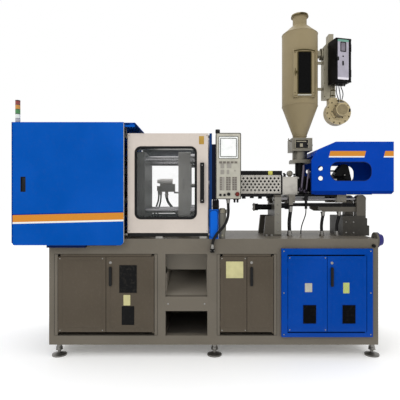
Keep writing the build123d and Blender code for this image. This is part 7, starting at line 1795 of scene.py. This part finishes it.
    def _control_box(self) -> None:
        """Make the printed front panel, the display, its frame, the switch, the latch and the connectors."""
        front = self.box_front
        face = Surface().pad((-0.072, 0.062), (front - 0.0016, front), (2.894, 3.334), Axis.Y, 0.006, 0.0006)
        dark = Surface().frame((-0.036, 0.026), (3.203, 3.304), front - 0.002, (0.004, 4), 0.0048)
        dark.pad((-0.018, 0.002), (front - 0.004, front - 0.001), (3.048, 3.098), Axis.Y, 0.003, 0.001)
        dark.pad((-0.012, -0.004), (front - 0.012, front - 0.003), (3.064, 3.082), Axis.Y, 0.002, 0.001)
        button = [(0.0085, 0.0), (0.0085, -0.003), (0.0, -0.005)]
        dark.turned((-0.007, front - 0.0014, 3.149), Axis.Y, button, 22)
        dark.pad((-0.086, -0.060), (front - 0.008, front + 0.001), (3.100, 3.140), Axis.Y, 0.004, 0.002)
        glass_y = (front - 0.0022, front - 0.0012)
        display = Surface().pad((-0.034, 0.024), glass_y, (3.205, 3.302), Axis.Y, 0.003, 0.0003)
        plug = [(0.0125, 0.0), (0.0125, -0.010), (0.010, -0.013)]
        plug += [(0.010, -0.024), (0.0065, -0.030), (0.0, -0.030)]
        plugs = Surface().turned(grid((-0.040, -0.010, 0.020, 0.050), -0.020, 2.870), Axis.Z, plug, 20)
        plugs.pad((-0.070, 0.070), (-0.050, 0.010), (2.861, 2.8705), Axis.Z, 0.006, 0.002)
        for name, surface, finish, rides in (
            ("control_box_print", face, "panel_print", Body.BOX_DOOR),
            ("control_box_switches", dark, "black_plastic", Body.BOX_DOOR),
            ("control_box_display", display, "display_grey", Body.BOX_DOOR),
            ("control_box_connectors", plugs, "black_plastic", Body.CARRIAGE),
        ):
            self.make(name, surface.placed(self.box, self.box_yaw), finish, rides)


# Nodes whose finish is their own and not their slot's
NODE_FINISHES = {
    "interlock_box": "interlock_finish",
    "gate_portal": "portal_finish",
    "injection_supports": "support_finish",
    "sight_glass": "smoked_pane",
    "product_chute": "chute_finish",
    "magnet_box": "magnet_finish",
    "core_pull_valve": "valve_finish",
    # The blower's lighter cream is painted light
    "blower": "blower_lit_cream",
}


def main() -> None:
    """Load the model, dress it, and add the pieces."""
    logging.basicConfig(level=logging.INFO, format="%(message)s")
    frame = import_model()
    slots = {part["node"]: part["material_slot"] for part in frame["record"]["subparts"]}
    Studio().build()
    materials = {finish.name: finish.build() for finish in finishes()}
    shop = Workshop(materials, set(slots.values()))
    clamp_end = (CabinetBase, ClampGuards, Gates, ControlPanel, GateSideEquipment)
    for kind in (Hoses, *clamp_end, InjectionUnit, HopperDryer):
        kind(shop).build()
        LOG.info("%s built", kind.__name__)
    finish_of = slots | NODE_FINISHES
    for name, node in frame["nodes"].items():
        node.data.materials.clear()
        node.data.materials.append(materials[finish_of[name]])
    LOG.info("%d pieces made, %d nodes dressed", shop.made, len(slots))


if __name__ == "__main__":
    main()
